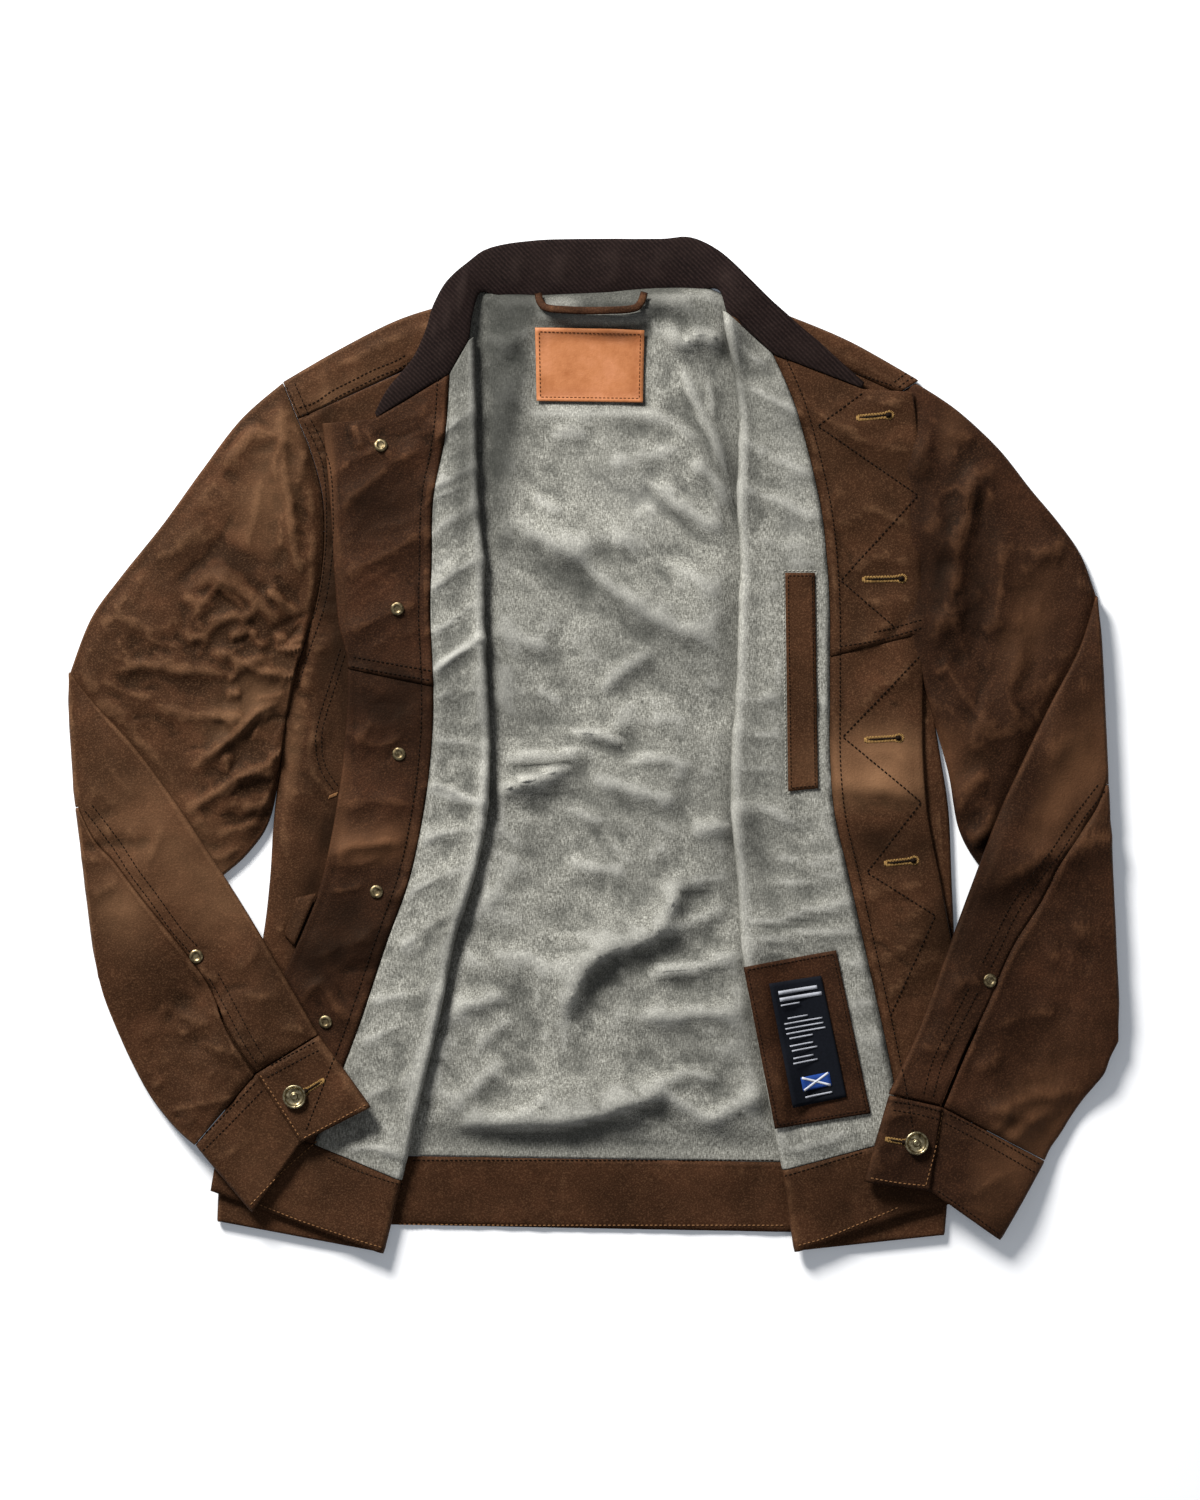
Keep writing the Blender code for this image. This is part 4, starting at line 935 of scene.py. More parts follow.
BAND_CREASES = crease_table(
    (1.2, 6, 6, (420, 1170), (424, 1195), (418, 1222)),
    (0.8, 8, 8, (560, 1160), (566, 1190), (560, 1224)),
    (0.9, 8, 8, (690, 1162), (684, 1190), (692, 1222)),
    (1.0, 6, 6, (330, 1165), (318, 1190), (304, 1212)),
    (1.2, 6, 6, (840, 1165), (850, 1190), (866, 1212)),
)
COLLAR_CREASES = crease_table(
    (4.6, 2.2, 8, (488, 250), (471, 266), (466, 284), (457, 307), (435, 332), (410, 361),
     (384, 402)),
    (-4.0, 3, 3, (482, 250), (463, 266), (458, 284), (449, 305), (427, 330), (400, 360)),
    (3.0, 12, 9, (566, 296), (560, 268), (572, 240)),
    (-2.0, 7, 7, (540, 296), (545, 268), (538, 240)),
    (2.4, 10, 8, (606, 296), (614, 268), (606, 240)),
    (2.4, 12, 9, (664, 294), (656, 268), (668, 240)),
    (2.4, 8, 8, (520, 296), (514, 270), (522, 244)),
    (1.3, 5, 5, (716, 288), (730, 272), (742, 262)),
    (1.2, 5, 5, (452, 340), (446, 352), (440, 372)),
    (1.2, 5, 5, (764, 332), (770, 346), (784, 352)),
)

# Creases of the sleeves and cuffs. Each upper sleeve lies face up, and each forearm
# shows the wall that is underneath higher up the arm.
UPPER_RIGHT_CREASES = crease_table(
    (2.6, 8, 5, (303, 596), (296, 548), (288, 482), (284, 432), (282, 396)),
    (3.4, 11, 7, (190, 592), (215, 580), (240, 590), (262, 608), (288, 634)),
    (2.2, 6, 5, (262, 588), (284, 604), (308, 624)),
    (3.0, 6, 5, (206, 652), (238, 660), (262, 672), (290, 672)),
    (3.8, 7, 5, (186, 772), (205, 760), (235, 735), (265, 710), (288, 696)),
    (3.4, 6, 6, (178, 818), (210, 800), (240, 778), (268, 765), (288, 757)),
    (2.4, 8, 5, (106, 672), (150, 668), (200, 672), (244, 676)),
    (-1.8, 12, 12, (240, 500), (226, 530), (205, 562), (170, 584)),
    (1.3, 10, 8, (268, 470), (256, 520), (240, 560)),
    (1.8, 7, 8, (150, 700), (176, 712), (214, 716), (250, 706)),
    (1.5, 7, 7, (212, 840), (238, 828), (266, 822)),
    (1.2, 6, 7, (216, 868), (240, 858), (268, 852)),
    (1.6, 9, 9, (100, 618), (130, 622), (165, 640)),
    (1.4, 12, 10, (150, 560), (178, 548), (210, 520)),
    (1.5, 11, 9, (222, 470), (240, 452), (262, 420)),
)
FORE_RIGHT_CREASES = crease_table(
    (-1.3, 5, 5, (84, 850), (108, 842), (130, 842), (168, 836)),
    (-1.1, 4, 4, (88, 822), (104, 816), (124, 806)),
    (1.0, 3, 3, (92, 897), (108, 886), (124, 876)),
    (1.1, 4, 4, (150, 862), (158, 842), (168, 820)),
    (1.6, 4, 4, (200, 962), (208, 974), (222, 978)),
    (1.3, 4, 4, (198, 1044), (222, 1048), (254, 1056)),
    (1.4, 5, 6, (176, 1112), (208, 1100), (242, 1094)),
    (1.2, 8, 8, (132, 1040), (160, 1030), (200, 1030)),
    (1.1, 6, 7, (240, 990), (262, 996), (290, 990)),
    (1.3, 5, 6, (270, 1030), (292, 1026), (316, 1030)),
    (1.0, 8, 8, (110, 760), (122, 780), (140, 800)),
)
UPPER_LEFT_CREASES = crease_table(
    (4.4, 8, 9, (936, 644), (948, 600), (958, 560), (964, 520), (970, 488), (986, 470),
     (1012, 462)),
    (2.6, 5, 6, (914, 484), (921, 455), (928, 426)),
    (2.2, 7, 8, (1004, 750), (985, 722), (962, 692), (938, 656)),
    (2.4, 13, 15, (992, 650), (1000, 560), (1006, 514)),
    (2.6, 20, 12, (1010, 770), (1012, 700), (1018, 630)),
    (1.6, 7, 7, (940, 700), (958, 720), (976, 756)),
    (1.8, 6, 7, (948, 800), (966, 790), (990, 770)),
    (1.6, 6, 7, (962, 846), (978, 834), (1000, 800)),
    (1.6, 9, 9, (1030, 560), (1046, 552), (1066, 560)),
    (1.6, 6, 6, (940, 440), (956, 436), (976, 440)),
    (1.4, 7, 7, (950, 560), (938, 540), (930, 500)),
)
FORE_LEFT_CREASES = crease_table(
    (3.6, 22, 10, (968, 900), (1020, 868), (1070, 850), (1120, 834)),
    (-1.6, 4, 4, (1056, 836), (1088, 826), (1122, 818)),
    (2.8, 6, 7, (966, 1118), (1010, 1100), (1050, 1090), (1092, 1084)),
    (1.6, 5, 6, (1000, 1142), (1022, 1126), (1044, 1112)),
    (1.6, 12, 10, (1040, 760), (1062, 744), (1096, 736)),
    (1.3, 8, 8, (1072, 690), (1086, 684), (1104, 684)),
    (1.6, 12, 10, (986, 1030), (1020, 1016), (1064, 1012)),
    (1.4, 10, 9, (1070, 940), (1092, 930), (1118, 930)),
    (1.4, 5, 5, (950, 984), (966, 980), (984, 984)),
    (1.4, 5, 5, (912, 1052), (930, 1046), (952, 1048)),
)
CUFF_RIGHT_CREASES = crease_table(
    (1.0, 5, 5, (262, 1072), (290, 1060), (322, 1046)),
    (0.9, 5, 5, (330, 1120), (344, 1096), (350, 1070)),
    (1.0, 6, 6, (212, 1160), (232, 1150), (260, 1130)),
)
CUFF_LEFT_CREASES = crease_table(
    (1.0, 5, 5, (876, 1120), (900, 1112), (934, 1116)),
    (0.9, 5, 5, (888, 1170), (904, 1150), (912, 1120)),
    (1.0, 6, 6, (966, 1196), (986, 1180), (1010, 1170)),
)

# Creases of the fronts' outer cloth that shows beside the folded edges.
LOW_RIGHT_CREASES = crease_table(
    (1.6, 3, 5, (322, 700), (312, 740), (316, 774), (338, 800)),
    (1.4, 6, 6, (284, 800), (300, 790), (322, 796)),
    (1.4, 6, 7, (296, 690), (306, 664), (330, 640)),
    (1.4, 6, 8, (276, 860), (282, 820), (290, 770)),
    (1.0, 6, 6, (272, 940), (292, 915), (310, 900)),
)
LOW_LEFT_CREASES = crease_table(
    (1.8, 4, 5, (932, 770), (931, 730), (928, 700)),
    (1.2, 4, 4, (944, 880), (940, 840), (938, 800)),
)


BACK_CREASES += strew(
    1, 1.9,
    ((590, 500), (95, 110), -30, 12, 0.9),
    ((610, 780), (110, 100), 0, 14, 0.9),
    ((590, 1020), (130, 100), 18, 16, 1.0),
)
RIGHT_FRONT_CREASES += strew(
    2, 1.2,
    ((458, 560), (26, 170), 28, 16, 0.9),
    ((430, 930), (36, 170), 32, 16, 0.9),
    ((380, 540), (46, 110), 30, 10, 0.7),
    ((366, 850), (48, 130), 12, 12, 0.8),
)
LEFT_FRONT_CREASES += strew(
    3, 1.2,
    ((778, 500), (34, 170), -18, 16, 0.9),
    ((800, 880), (42, 130), 2, 18, 0.9),
    ((876, 540), (40, 140), -12, 12, 0.7),
    ((896, 850), (34, 120), 20, 12, 0.8),
)
UPPER_RIGHT_CREASES += strew(
    4, 1.0,
    ((258, 700), (36, 80), 36, 26, 2.6),
    ((246, 612), (56, 40), -24, 18, 2.2),
    ((290, 480), (14, 90), 84, 18, 1.4),
    ((160, 650), (56, 40), 10, 10, 1.0),
    ((232, 830), (34, 46), 22, 12, 1.5),
)
FORE_RIGHT_CREASES += strew(
    5, 1.0,
    ((108, 850), (28, 60), -45, 12, 1.1),
    ((205, 1010), (60, 70), 15, 20, 1.2),
    ((172, 1110), (40, 30), 18, 12, 1.3),
    ((140, 770), (50, 60), -45, 8, 0.7),
    ((270, 1010), (40, 50), 10, 8, 0.7),
)
UPPER_LEFT_CREASES += strew(
    6, 1.0,
    ((962, 570), (26, 100), 76, 18, 2.0),
    ((1010, 690), (40, 90), 66, 12, 1.2),
    ((962, 800), (26, 60), 34, 14, 1.8),
    ((1060, 560), (30, 40), 16, 8, 0.9),
    ((938, 450), (16, 56), 80, 8, 1.0),
)
FORE_LEFT_CREASES += strew(
    7, 1.0,
    ((1056, 850), (54, 40), 12, 16, 1.4),
    ((1030, 1092), (60, 34), 16, 22, 1.5),
    ((1078, 960), (34, 60), 20, 14, 1.4),
    ((962, 1000), (30, 70), 58, 10, 0.8),
)
LOW_RIGHT_CREASES += strew(8, 0.8, ((306, 590), (14, 150), 40, 34, 2.2))
BAND_CREASES += strew(9, 1.0, ((600, 1190), (170, 26), 80, 16, 0.8))


# In the three textures below each term is a height in mm times noise, whose sizes along x
# and y are in mm and whose last number is a seed of its own.
def lining_texture(x, y):
    """The unevenness of soft lining cloth."""
    lift = 0.75 * noise(x / 38, y / 30, 21) + 0.36 * noise(x / 15, y / 11, 22)
    crumpled = smoothstep(noise(x / 50, y / 50, 26) + 0.5)
    warp_x = x + 5 * noise(x / 25, y / 25, 27)
    lift += crumpled * (0.7 * facets(warp_x, y, 46, 28) + 0.35 * facets(warp_x, y, 19, 30))
    return lift + 0.14 * noise(x / 6, y / 5, 23)


def waxed_texture(x, y):
    """The dry rolls and sharp little crumples of waxed cloth."""
    warp_x = x + 6 * noise(x / 30, y / 30, 31)
    warp_y = y + 6 * noise(x / 30, y / 30, 32)
    lift = 0.6 * noise(x / 46, y / 46, 33) + 0.3 * ridges(warp_x / 38, warp_y / 28, 34)
    crumpled = smoothstep(noise(x / 60, y / 60, 37) + 0.45)
    lift += crumpled * (1.1 * facets(x, y, 62, 38) + 0.45 * facets(warp_x, warp_y, 24, 40))
    return lift + 0.1 * noise(x / 5, y / 5, 36)


def back_swell(x, y):
    """The broad swells of the back lining."""
    return 3.6 * noise(x / 74 + 0.3 * y / 74, y / 52, 24)


def settle(x, y):
    """How far the back lining's folds lift what lies over them."""
    return np.maximum(GROUND.rest(x, y) - BACK_TOP - SETTLE_SLACK, 0.0)


# The opening between the fronts: its sides at the fold, the level below which they lean
# outwards and by how much, its lower end, and the width over which it fades, in mm.
OPEN_SIDES = (-80.0, 100.0)
OPEN_LEAN = (0.27, 0.13)
LEAN_BELOW = -50.0
OPEN_LOW = -268.0
OPEN_FADE = 22.0


def open_lining(x, y):
    """1 where no front covers the back lining, fading to 0 a little way under them."""
    below = np.minimum(y - LEAN_BELOW, 0.0)
    from_right = x - (OPEN_SIDES[0] + below * OPEN_LEAN[0])
    from_left = OPEN_SIDES[1] - below * OPEN_LEAN[1] - x
    inside = np.minimum(np.minimum(from_right, from_left), y - OPEN_LOW)
    return smoothstep(inside / OPEN_FADE)


def beside(corners, x, y, reach):
    """1 on a flat piece with these corners, fading to 0 this far from it."""
    outline = np.array(corners + corners[:1], float)
    gap = to_path(x, y, outline)[0]
    within = np.ones(x.shape, bool)
    for start, end in zip(outline, outline[1:]):
        within &= (end[0] - start[0]) * (y - start[1]) - (end[1] - start[1]) * (x - start[0]) < 0
    return smoothstep(1 - np.where(within, 0.0, gap) / reach)


def side_lines():
    """The sides of the body down to the waist seam."""
    right = np.array([row[0] for row in FRONT_RIGHT[: WAIST_ROW + 1]], float)
    left = np.array([row[0] for row in FRONT_LEFT[: WAIST_ROW + 1]], float)
    return right, left


def back_grid(spacing, inset, neck, fine=(0.0, 0.0)):
    """Plan points of the back from its neck edge to the waist seam: (rows, columns, 2).

    Columns are spacing mm apart between the two places of fine, and coarse outside them.
    """
    right, left = side_lines()
    levels = np.stack([right, left], axis=1)
    levels = densify(levels, 0, spacing)
    shoulders = left[0, 0] - right[0, 0]
    xs = []
    x = 0.0
    while x < 1:
        xs.append(x)
        place = right[0, 0] + x * shoulders
        x += (spacing if fine[0] < place < fine[1] else COARSE) / BACK_WIDTH
    xs = np.array(xs + [1.0])
    top = np.concatenate([[right[0]], yoke_seam("right")[1:-1], np.array(neck, float),
                          yoke_seam("left")[::-1][1:-1], [left[0]]])
    top_x = right[0, 0] + xs * shoulders
    top_y = np.interp(top_x, top[:, 0], top[:, 1])
    chord = np.interp(top_x, [right[0, 0], left[0, 0]], [right[0, 1], left[0, 1]])
    start = levels[:, 0] + np.array([inset, 0.0])
    end = levels[:, 1] - np.array([inset, 0.0])
    plan = start[:, None] + (end - start)[:, None] * xs[None, :, None]
    depth = np.linspace(0, 1, len(levels))
    plan[..., 1] += (top_y - chord)[None, :] * (1 - depth[:, None]) ** 1.5
    return plan


class Front:
    """One front: its plan row by row, and the sheets laid from it."""

    # Height of the creases on lining and on waxed cloth, their form, and the lining's grain.
    LINING_FOLDS = 1.25
    WAXED_FOLDS = 1.5
    FOLD_FORM = {"sharp": 1.25, "broad": 0.85}
    LINING_GRAIN = 1.2
    # How many mm it takes the upper run's relief to grow from its ends, its edge, the fold,
    # the facing's seam, the flat patches and the waist, and its share at the edge and fold.
    FROM_ENDS = 7.0
    FROM_BRINK = 12.0
    FROM_FOLD = 16.0
    FROM_SEAM = 4.0
    FROM_PATCH = 7.0
    FROM_WAIST = 30.0
    BRINK_SHARE = 0.45
    FOLD_SHARE = 0.55
    PATCH_PRESS = 0.7
    # Width of the seam's dip and of the bulge over the fold, depths of the stitches' dents.
    DIP_WIDTH = 2.4
    BULGE_WIDTH = 30.0
    SEAM_DENT = 0.35
    EDGE_DENT = 0.3
    # The lower run: gathers along the side, and the growth of its relief.
    GATHER_HEIGHT = 1.5
    GATHER_PITCH = 7.5
    GATHER_LENGTH = 22.0
    GATHER_REACH = 12.0
    FROM_SIDE = 9.0
    FROM_AXIS = 12.0
    UNDER_COVER = 8.0
    COVERED_SHARE = 0.4
    COVERED_RANGE = (-0.6, 0.8)
    # The front edge turns down by this much, and the upper facing laps over this length.
    EDGE_TURN = math.radians(105)
    FROM_LAP = 7.0

    def __init__(self, name, table, creases, low_creases):
        rows, starts = densify(np.array(table[: WAIST_ROW + 1], float), 0, STEP, marks=True)
        self.name = name
        self.side, self.fold, self.facing, self.buttons, self.edge = np.moveaxis(rows, 1, 0)
        self.cross = starts[CROSS_SEAM_ROW]
        below_underarm = (np.arange(len(rows)) - starts[UNDERARM_ROW]) * STEP
        self.closed = smoothstep(below_underarm / SIDE_CLOSES_OVER)
        self.outward = unit(unit(self.fold - self.side) + unit(self.fold - self.facing))
        self.axis = self.fold - self.outward * (ROLL_LINING + WALL / 2)
        self.inward = unit(self.axis - self.side)
        self.ends = end_fade(len(rows), self.FROM_ENDS)
        self.lay_upper(creases)
        self.low_creases = low_creases

    def lay_upper(self, creases):
        """Plan, relief and height of the upper run, from the fold's axis to the edge."""
        to_edge = unit(self.edge - self.buttons)
        brink = self.edge - to_edge * EDGE_ROLL
        self.seam_column = across_count(self.axis, self.facing, STEP)
        blocks = (
            run(self.axis, self.facing, self.seam_column),
            run(self.facing, self.buttons, across_count(self.facing, self.buttons, STEP)),
            run(self.buttons, brink, across_count(self.buttons, brink, STEP), closed=True),
        )
        plan = join_columns(*blocks)
        x, y = plan[..., 0], plan[..., 1]
        away = from_line(plan, self.axis)
        past_seam = away - away[:, self.seam_column : self.seam_column + 1]
        to_brink = from_line(plan, brink)
        waxed = smoothstep(0.5 + past_seam / self.FROM_SEAM)
        relief = self.LINING_FOLDS + (self.WAXED_FOLDS - self.LINING_FOLDS) * waxed
        relief *= crease_lift(creases, x, y, **self.FOLD_FORM)
        relief += self.LINING_GRAIN * (1 - waxed) * lining_texture(x, y)
        relief += waxed * waxed_texture(x, y)
        relief *= self.ends[:, None] * grow(to_brink, self.FROM_BRINK, self.BRINK_SHARE)
        if self.name == "left":
            for corners in (POCKET_WELT, LABEL_PATCH):
                relief *= 1 - self.PATCH_PRESS * beside(corners, x, y, self.FROM_PATCH)
        relief *= grow(away, self.FROM_FOLD, self.FOLD_SHARE)
        relief -= SEAM_DIP * bell(past_seam, self.DIP_WIDTH)
        relief -= self.SEAM_DENT * stitch_dents(past_seam, TOPSTITCH)
        relief -= self.EDGE_DENT * stitch_dents(to_brink, STITCH_LINE)
        to_waist = np.arange(len(self.fold))[::-1, None] * STEP
        self.plan = plan
        self.to_edge = to_edge
        self.lift = settle(x, y) * grow(to_waist, self.FROM_WAIST)
        self.relief = relief
        bulge = ROLL_BULGE * bell(away, self.BULGE_WIDTH)
        self.top = TOP_LINING_Z + bulge + relief + self.lift

    def rolled(self, radius, count):
        """The rolled fold from the lower run to the upper one, ends left out."""
        angle = math.pi * (np.arange(1, count) / count - 0.5)
        rise = self.relief[:, :1] * smoothstep(angle / math.pi + 0.5)[None]
        reach = (radius + rise) * np.cos(angle)
        plan = self.axis[:, None] + self.outward[:, None] * reach[..., None]
        z = ROLL_Z + (radius + rise) * np.sin(angle) + self.lift[:, :1]
        return at_height(plan, z)

    def low_run(self):
        """The outer cloth from the side to the fold's axis."""
        closed = self.closed[:, None]
        out = SEAM / 4 + TUBE_TURN * (1 - np.cos(QUARTER_TURN))[None]
        out = out + (WALL / 2 + SEAM / 4) * closed
        curl = self.side[:, None] + self.inward[:, None] * out[..., None]
        drop = -(TUBE_TURN - SEAM / 2) * (1 - np.sin(QUARTER_TURN))[None] * closed
        start = self.side + self.inward * (WALL / 2 + SEAM / 2 + TUBE_TURN)
        shown = ((self.edge - self.side) * self.inward).sum(axis=-1)
        shown = np.maximum(shown, 0.0) + SHOWN_MARGIN
        middle = start + self.inward * shown[:, None]
        near = run(start, middle, max(8, round(float(shown.max()) / STEP)))
        far = run(middle, self.axis, across_count(middle, self.axis, COARSE), closed=True)
        plan = join_columns(near, far)
        x, y = plan[..., 0], plan[..., 1]
        from_side = from_line(plan, start)
        covered = grow(from_side - shown[:, None] + SHOWN_MARGIN, self.UNDER_COVER)
        relief = crease_lift(self.low_creases, x, y) + waxed_texture(x, y)
        relief *= smoothstep(from_side / self.FROM_SIDE + 0.15) * self.ends[:, None]
        rows = np.arange(len(self.side))[:, None] * STEP
        gathers = noise(rows / self.GATHER_PITCH, from_side / self.GATHER_LENGTH, 71)
        gathers *= self.GATHER_HEIGHT * bell(from_side, self.GATHER_REACH)
        relief += gathers * (1 - closed) * grow(from_side, 2.0)
        hidden = np.clip(self.COVERED_SHARE * relief, *self.COVERED_RANGE)
        relief = relief * (1 - covered) + hidden * covered
        relief *= grow(from_line(plan, self.axis), self.FROM_AXIS)
        z = LOW_SHELL_Z + relief + settle(x, y)
        low_z = LOW_SHELL_Z + drop + settle(curl[..., 0], curl[..., 1])
        return join_columns(at_height(curl, low_z), at_height(plan, z))

    def shell_grid(self):
        """The outer cloth: lower run, rolled fold and the hidden upper run."""
        upper = at_height(self.plan, self.top - (TOP_LINING_Z - TOP_SHELL_Z) - HIDDEN_DROP)
        grid = join_columns(self.low_run(), self.rolled(ROLL_SHELL, 8), upper[:, 0:-1:2])
        return trim_rows(grid, SEAM / 2, SEAM / 2)

    def lining_grid(self):
        """A short return under the fold, the fold, and the run to the facing."""
        start = self.axis - self.inward * LINING_RETURN
        back = run(start, self.axis, across_count(start, self.axis, COARSE), closed=True)
        low = at_height(back, LOW_LINING_Z + settle(back[..., 0], back[..., 1]))
        upper = at_height(self.plan, self.top)[:, : self.seam_column + 1]
        upper[:, -1] += unit(upper[:, -2] - upper[:, -1]) * SEAM / 2
        grid = join_columns(low, self.rolled(ROLL_LINING, 12), upper)
        return trim_rows(grid, SEAM / 2, SEAM / 2)

    def facing_grid(self):
        """From the lining's seam to the front edge, which turns down over the shell."""
        upper = at_height(self.plan, self.top)[:, self.seam_column :]
        upper[:, 0] += unit(upper[:, 1] - upper[:, 0]) * SEAM / 2
        angle = np.arange(1, 6) / 5 * self.EDGE_TURN
        reach = (EDGE_ROLL * np.sin(angle))[None, :, None]
        plan = self.plan[:, -1:] + self.to_edge[:, None] * reach
        z = self.top[:, -1:] - EDGE_ROLL * (1 - np.cos(angle))[None]
        return join_columns(upper, at_height(plan, z))

    def facing_pieces(self):
        """The facing above and below its cross seam; the upper one laps over the seam."""
        grid = self.facing_grid()
        upper = grid[: self.cross + 1].copy()
        above = (self.cross - np.arange(len(upper))) * STEP
        upper[..., 2] += (CROSS_STEP * smoothstep(1 - above / self.FROM_LAP))[:, None]
        upper = trim_rows(upper, SEAM / 2, -CROSS_LAP)
        return upper, trim_rows(grid[self.cross :], SEAM / 2, SEAM / 2)


def end_fade(count, reach):
    """END_SHARE at the first and last rows, 1 away from them."""
    rows = np.arange(count)
    return grow(np.minimum(rows, count - 1 - rows) * STEP, reach, END_SHARE)


def trim_rows(grid, first=0.0, last=0.0):
    """The grid with its first and last rows pulled in by these lengths."""
    grid = grid.copy()
    grid[0] += unit(grid[1] - grid[0]) * first
    grid[-1] += unit(grid[-2] - grid[-1]) * last
    return grid


def yoke_seam(side):
    """The seam between a yoke and its front, from the armhole inwards."""
    table = FRONT_RIGHT if side == "right" else FRONT_LEFT
    yoke = YOKE_RIGHT if side == "right" else YOKE_LEFT
    row = np.array(table[0], float)
    out = unit(unit(row[1] - row[0]) + unit(row[1] - row[2]))
    axis = row[1] - out * FOLD_REACH
    return np.array([row[0] + (axis - row[0]) * part for _shoulder, part in yoke])


def back_shell_grid():
    """The outer cloth of the back, turned up at its sides below the underarm."""
    plan = back_grid(COARSE, WALL / 2 + SEAM / 2 + TUBE_TURN, NECK)
    count = len(plan)
    below = (np.arange(count) / count * WAIST_ROW - UNDERARM_ROW) * ROW_DROP
    closed = smoothstep(below / SIDE_CLOSES_OVER)
    sides = []
    for column, way in ((0, -1.0), (-1, 1.0)):
        out = TUBE_TURN * np.cos(QUARTER_TURN)
        edge = plan[:, column][:, None] + np.array([way, 0.0]) * out[None, :, None]
        rise = (TUBE_TURN - SEAM / 2) * (1 - np.sin(QUARTER_TURN))[None] * closed[:, None]
        sides.append(at_height(edge, BACK_SHELL_Z + rise))
    return join_columns(sides[0], at_height(plan, BACK_SHELL_Z), sides[1][:, ::-1])


def back_lining_grid():
    """The lining of the back with its creases, smooth where the fronts cover it."""
    plan = back_grid(STEP, LINING_INSET, LINING_NECK, FINE_LINING)
    x, y = plan[..., 0], plan[..., 1]
    relief = LINING_LOFT + LINING_FOLDS * crease_lift(BACK_CREASES, x, y, **LINING_FORM)
    relief += back_swell(x, y) + LINING_GRAIN * lining_texture(x, y)
    pressed = PATCH_PRESS * beside(LEATHER_PATCH, x, y, FROM_PATCH)
    relief += (UNDER_PATCH - relief) * pressed
    relief = np.maximum(relief * open_lining(x, y), LINING_LOW)
    neck = grow(np.arange(len(plan)) * STEP + 1.0, FROM_NECK)
    return at_height(plan, BACK_LINING_Z + relief * neck[:, None])


def yoke_grid(side):
    """The strip over one shoulder, from the back round to the front's seam."""
    table = YOKE_RIGHT if side == "right" else YOKE_LEFT
    pairs = np.stack([np.array([row[0] for row in table], float), yoke_seam(side)], axis=1)
    pairs = densify(pairs, 0, STEP)
    shoulder, seam = pairs[:, 0], pairs[:, 1]
    outward = unit(shoulder - seam)
    seam = seam + outward * SEAM / 2
    axis = shoulder - outward * (TUBE_TURN + WALL / 2)
    low = at_height(run(seam, axis, across_count(seam, axis, COARSE)), BACK_SHELL_Z)
    turn = arc(axis, outward, BACK_SHELL_Z + TUBE_TURN, TUBE_TURN, 8)
    top = run(axis, seam, across_count(seam, axis, STEP), closed=True)[:, 1:]
    relief = waxed_texture(top[..., 0], top[..., 1]) + 1.0
    relief *= grow(from_line(top, seam), FROM_YOKE_SEAM) * grow(from_line(top, axis), FROM_SHOULDER)
    grid = join_columns(low, turn, at_height(top, LOW_SHELL_Z + relief))
    return trim_rows(grid, SEAM / 2, 0.0)


def band_half(row):
    """One half of the waistband's way round, from the front edge to the side."""
    side, fold, facing, buttons, edge = np.array(row, float)
    top_z = (TOP_SHELL_Z + TOP_LINING_Z) / 2
    low_z = (LOW_SHELL_Z + LOW_LINING_Z) / 2
    back_z = (BACK_SHELL_Z + BACK_LINING_Z) / 2
    roll_z = low_z + 2 * BAND_ROLL
    outward = unit(unit(fold - side) + unit(fold - facing))
    axis = fold - outward * (BAND_ROLL + DOUBLE_WALL / 2)
    path = []
    for start, end, count in ((edge, buttons, FLAP_STEPS), (buttons, facing, FLAP_STEPS),
                              (facing, axis, FRONT_BAND_STEPS)):
        for x, y, z in straight(start, end, top_z, count):
            gap = math.hypot(x - axis[0], y - axis[1])
            path.append((x, y, z + (roll_z - z) * bell(gap, BAND_BULGE_WIDTH)))
    path += half_turn(axis, outward, roll_z, low_z, 12, ends=True)
    side_radius = (low_z - back_z) / 2
    side_out = np.array([math.copysign(1.0, side[0]), 0.0])
    side_axis = side - side_out * (side_radius + DOUBLE_WALL / 2)
    path += straight(axis, side_axis, low_z, FRONT_BAND_STEPS)[1:]
    return np.array(path + half_turn(side_axis, side_out, low_z, back_z, 8, ends=True))


def waistband_grid():
    """The doubled strip all round the hem."""
    edges = []
    for level in (WAIST_ROW, WAIST_ROW + 1):
        right = band_half(FRONT_RIGHT[level])
        left = band_half(FRONT_LEFT[level])
        across = straight(right[-1, :2], left[-1, :2], right[-1, 2], BACK_BAND_STEPS)[1:]
        edges.append(np.concatenate([right, across, left[::-1]]))
    top, hem = edges
    grid, depth = strip(top, hem, BAND_DEPTH)
    x, y = grid[..., 0], grid[..., 1]
    along = np.cumsum(np.linalg.norm(np.diff(top, axis=0, prepend=top[:1]), axis=1))[None]
    wave = waxed_texture(x, y) + noise(along / 11, depth / 60, 51)
    dents = stitch_dents(depth, STITCH_LINE, BAND_DEPTH - STITCH_LINE)
    wave = BAND_RELIEF * (wave + crease_lift(BAND_CREASES, x, y)) - BAND_DENT * dents
    inner = (grid[..., 2] > BODY_TOP - 3) | (grid[..., 2] < BACK_TOP)
    soft = box_blur(np.where(inner, 1.0, 0.0), 4)
    grid[..., 2] += np.maximum(wave + 0.2, -0.1) * soft
    return trim_rows(grid, SEAM / 2, 0.0)


def strip(top, low, depth):
    """A band between two lines of points, and the depth of each of its rows in mm."""
    count = round(depth / STEP)
    t = (np.arange(count + 1) / count)[:, None, None]
    return top[None] + (low - top)[None] * t, t[..., 0] * depth


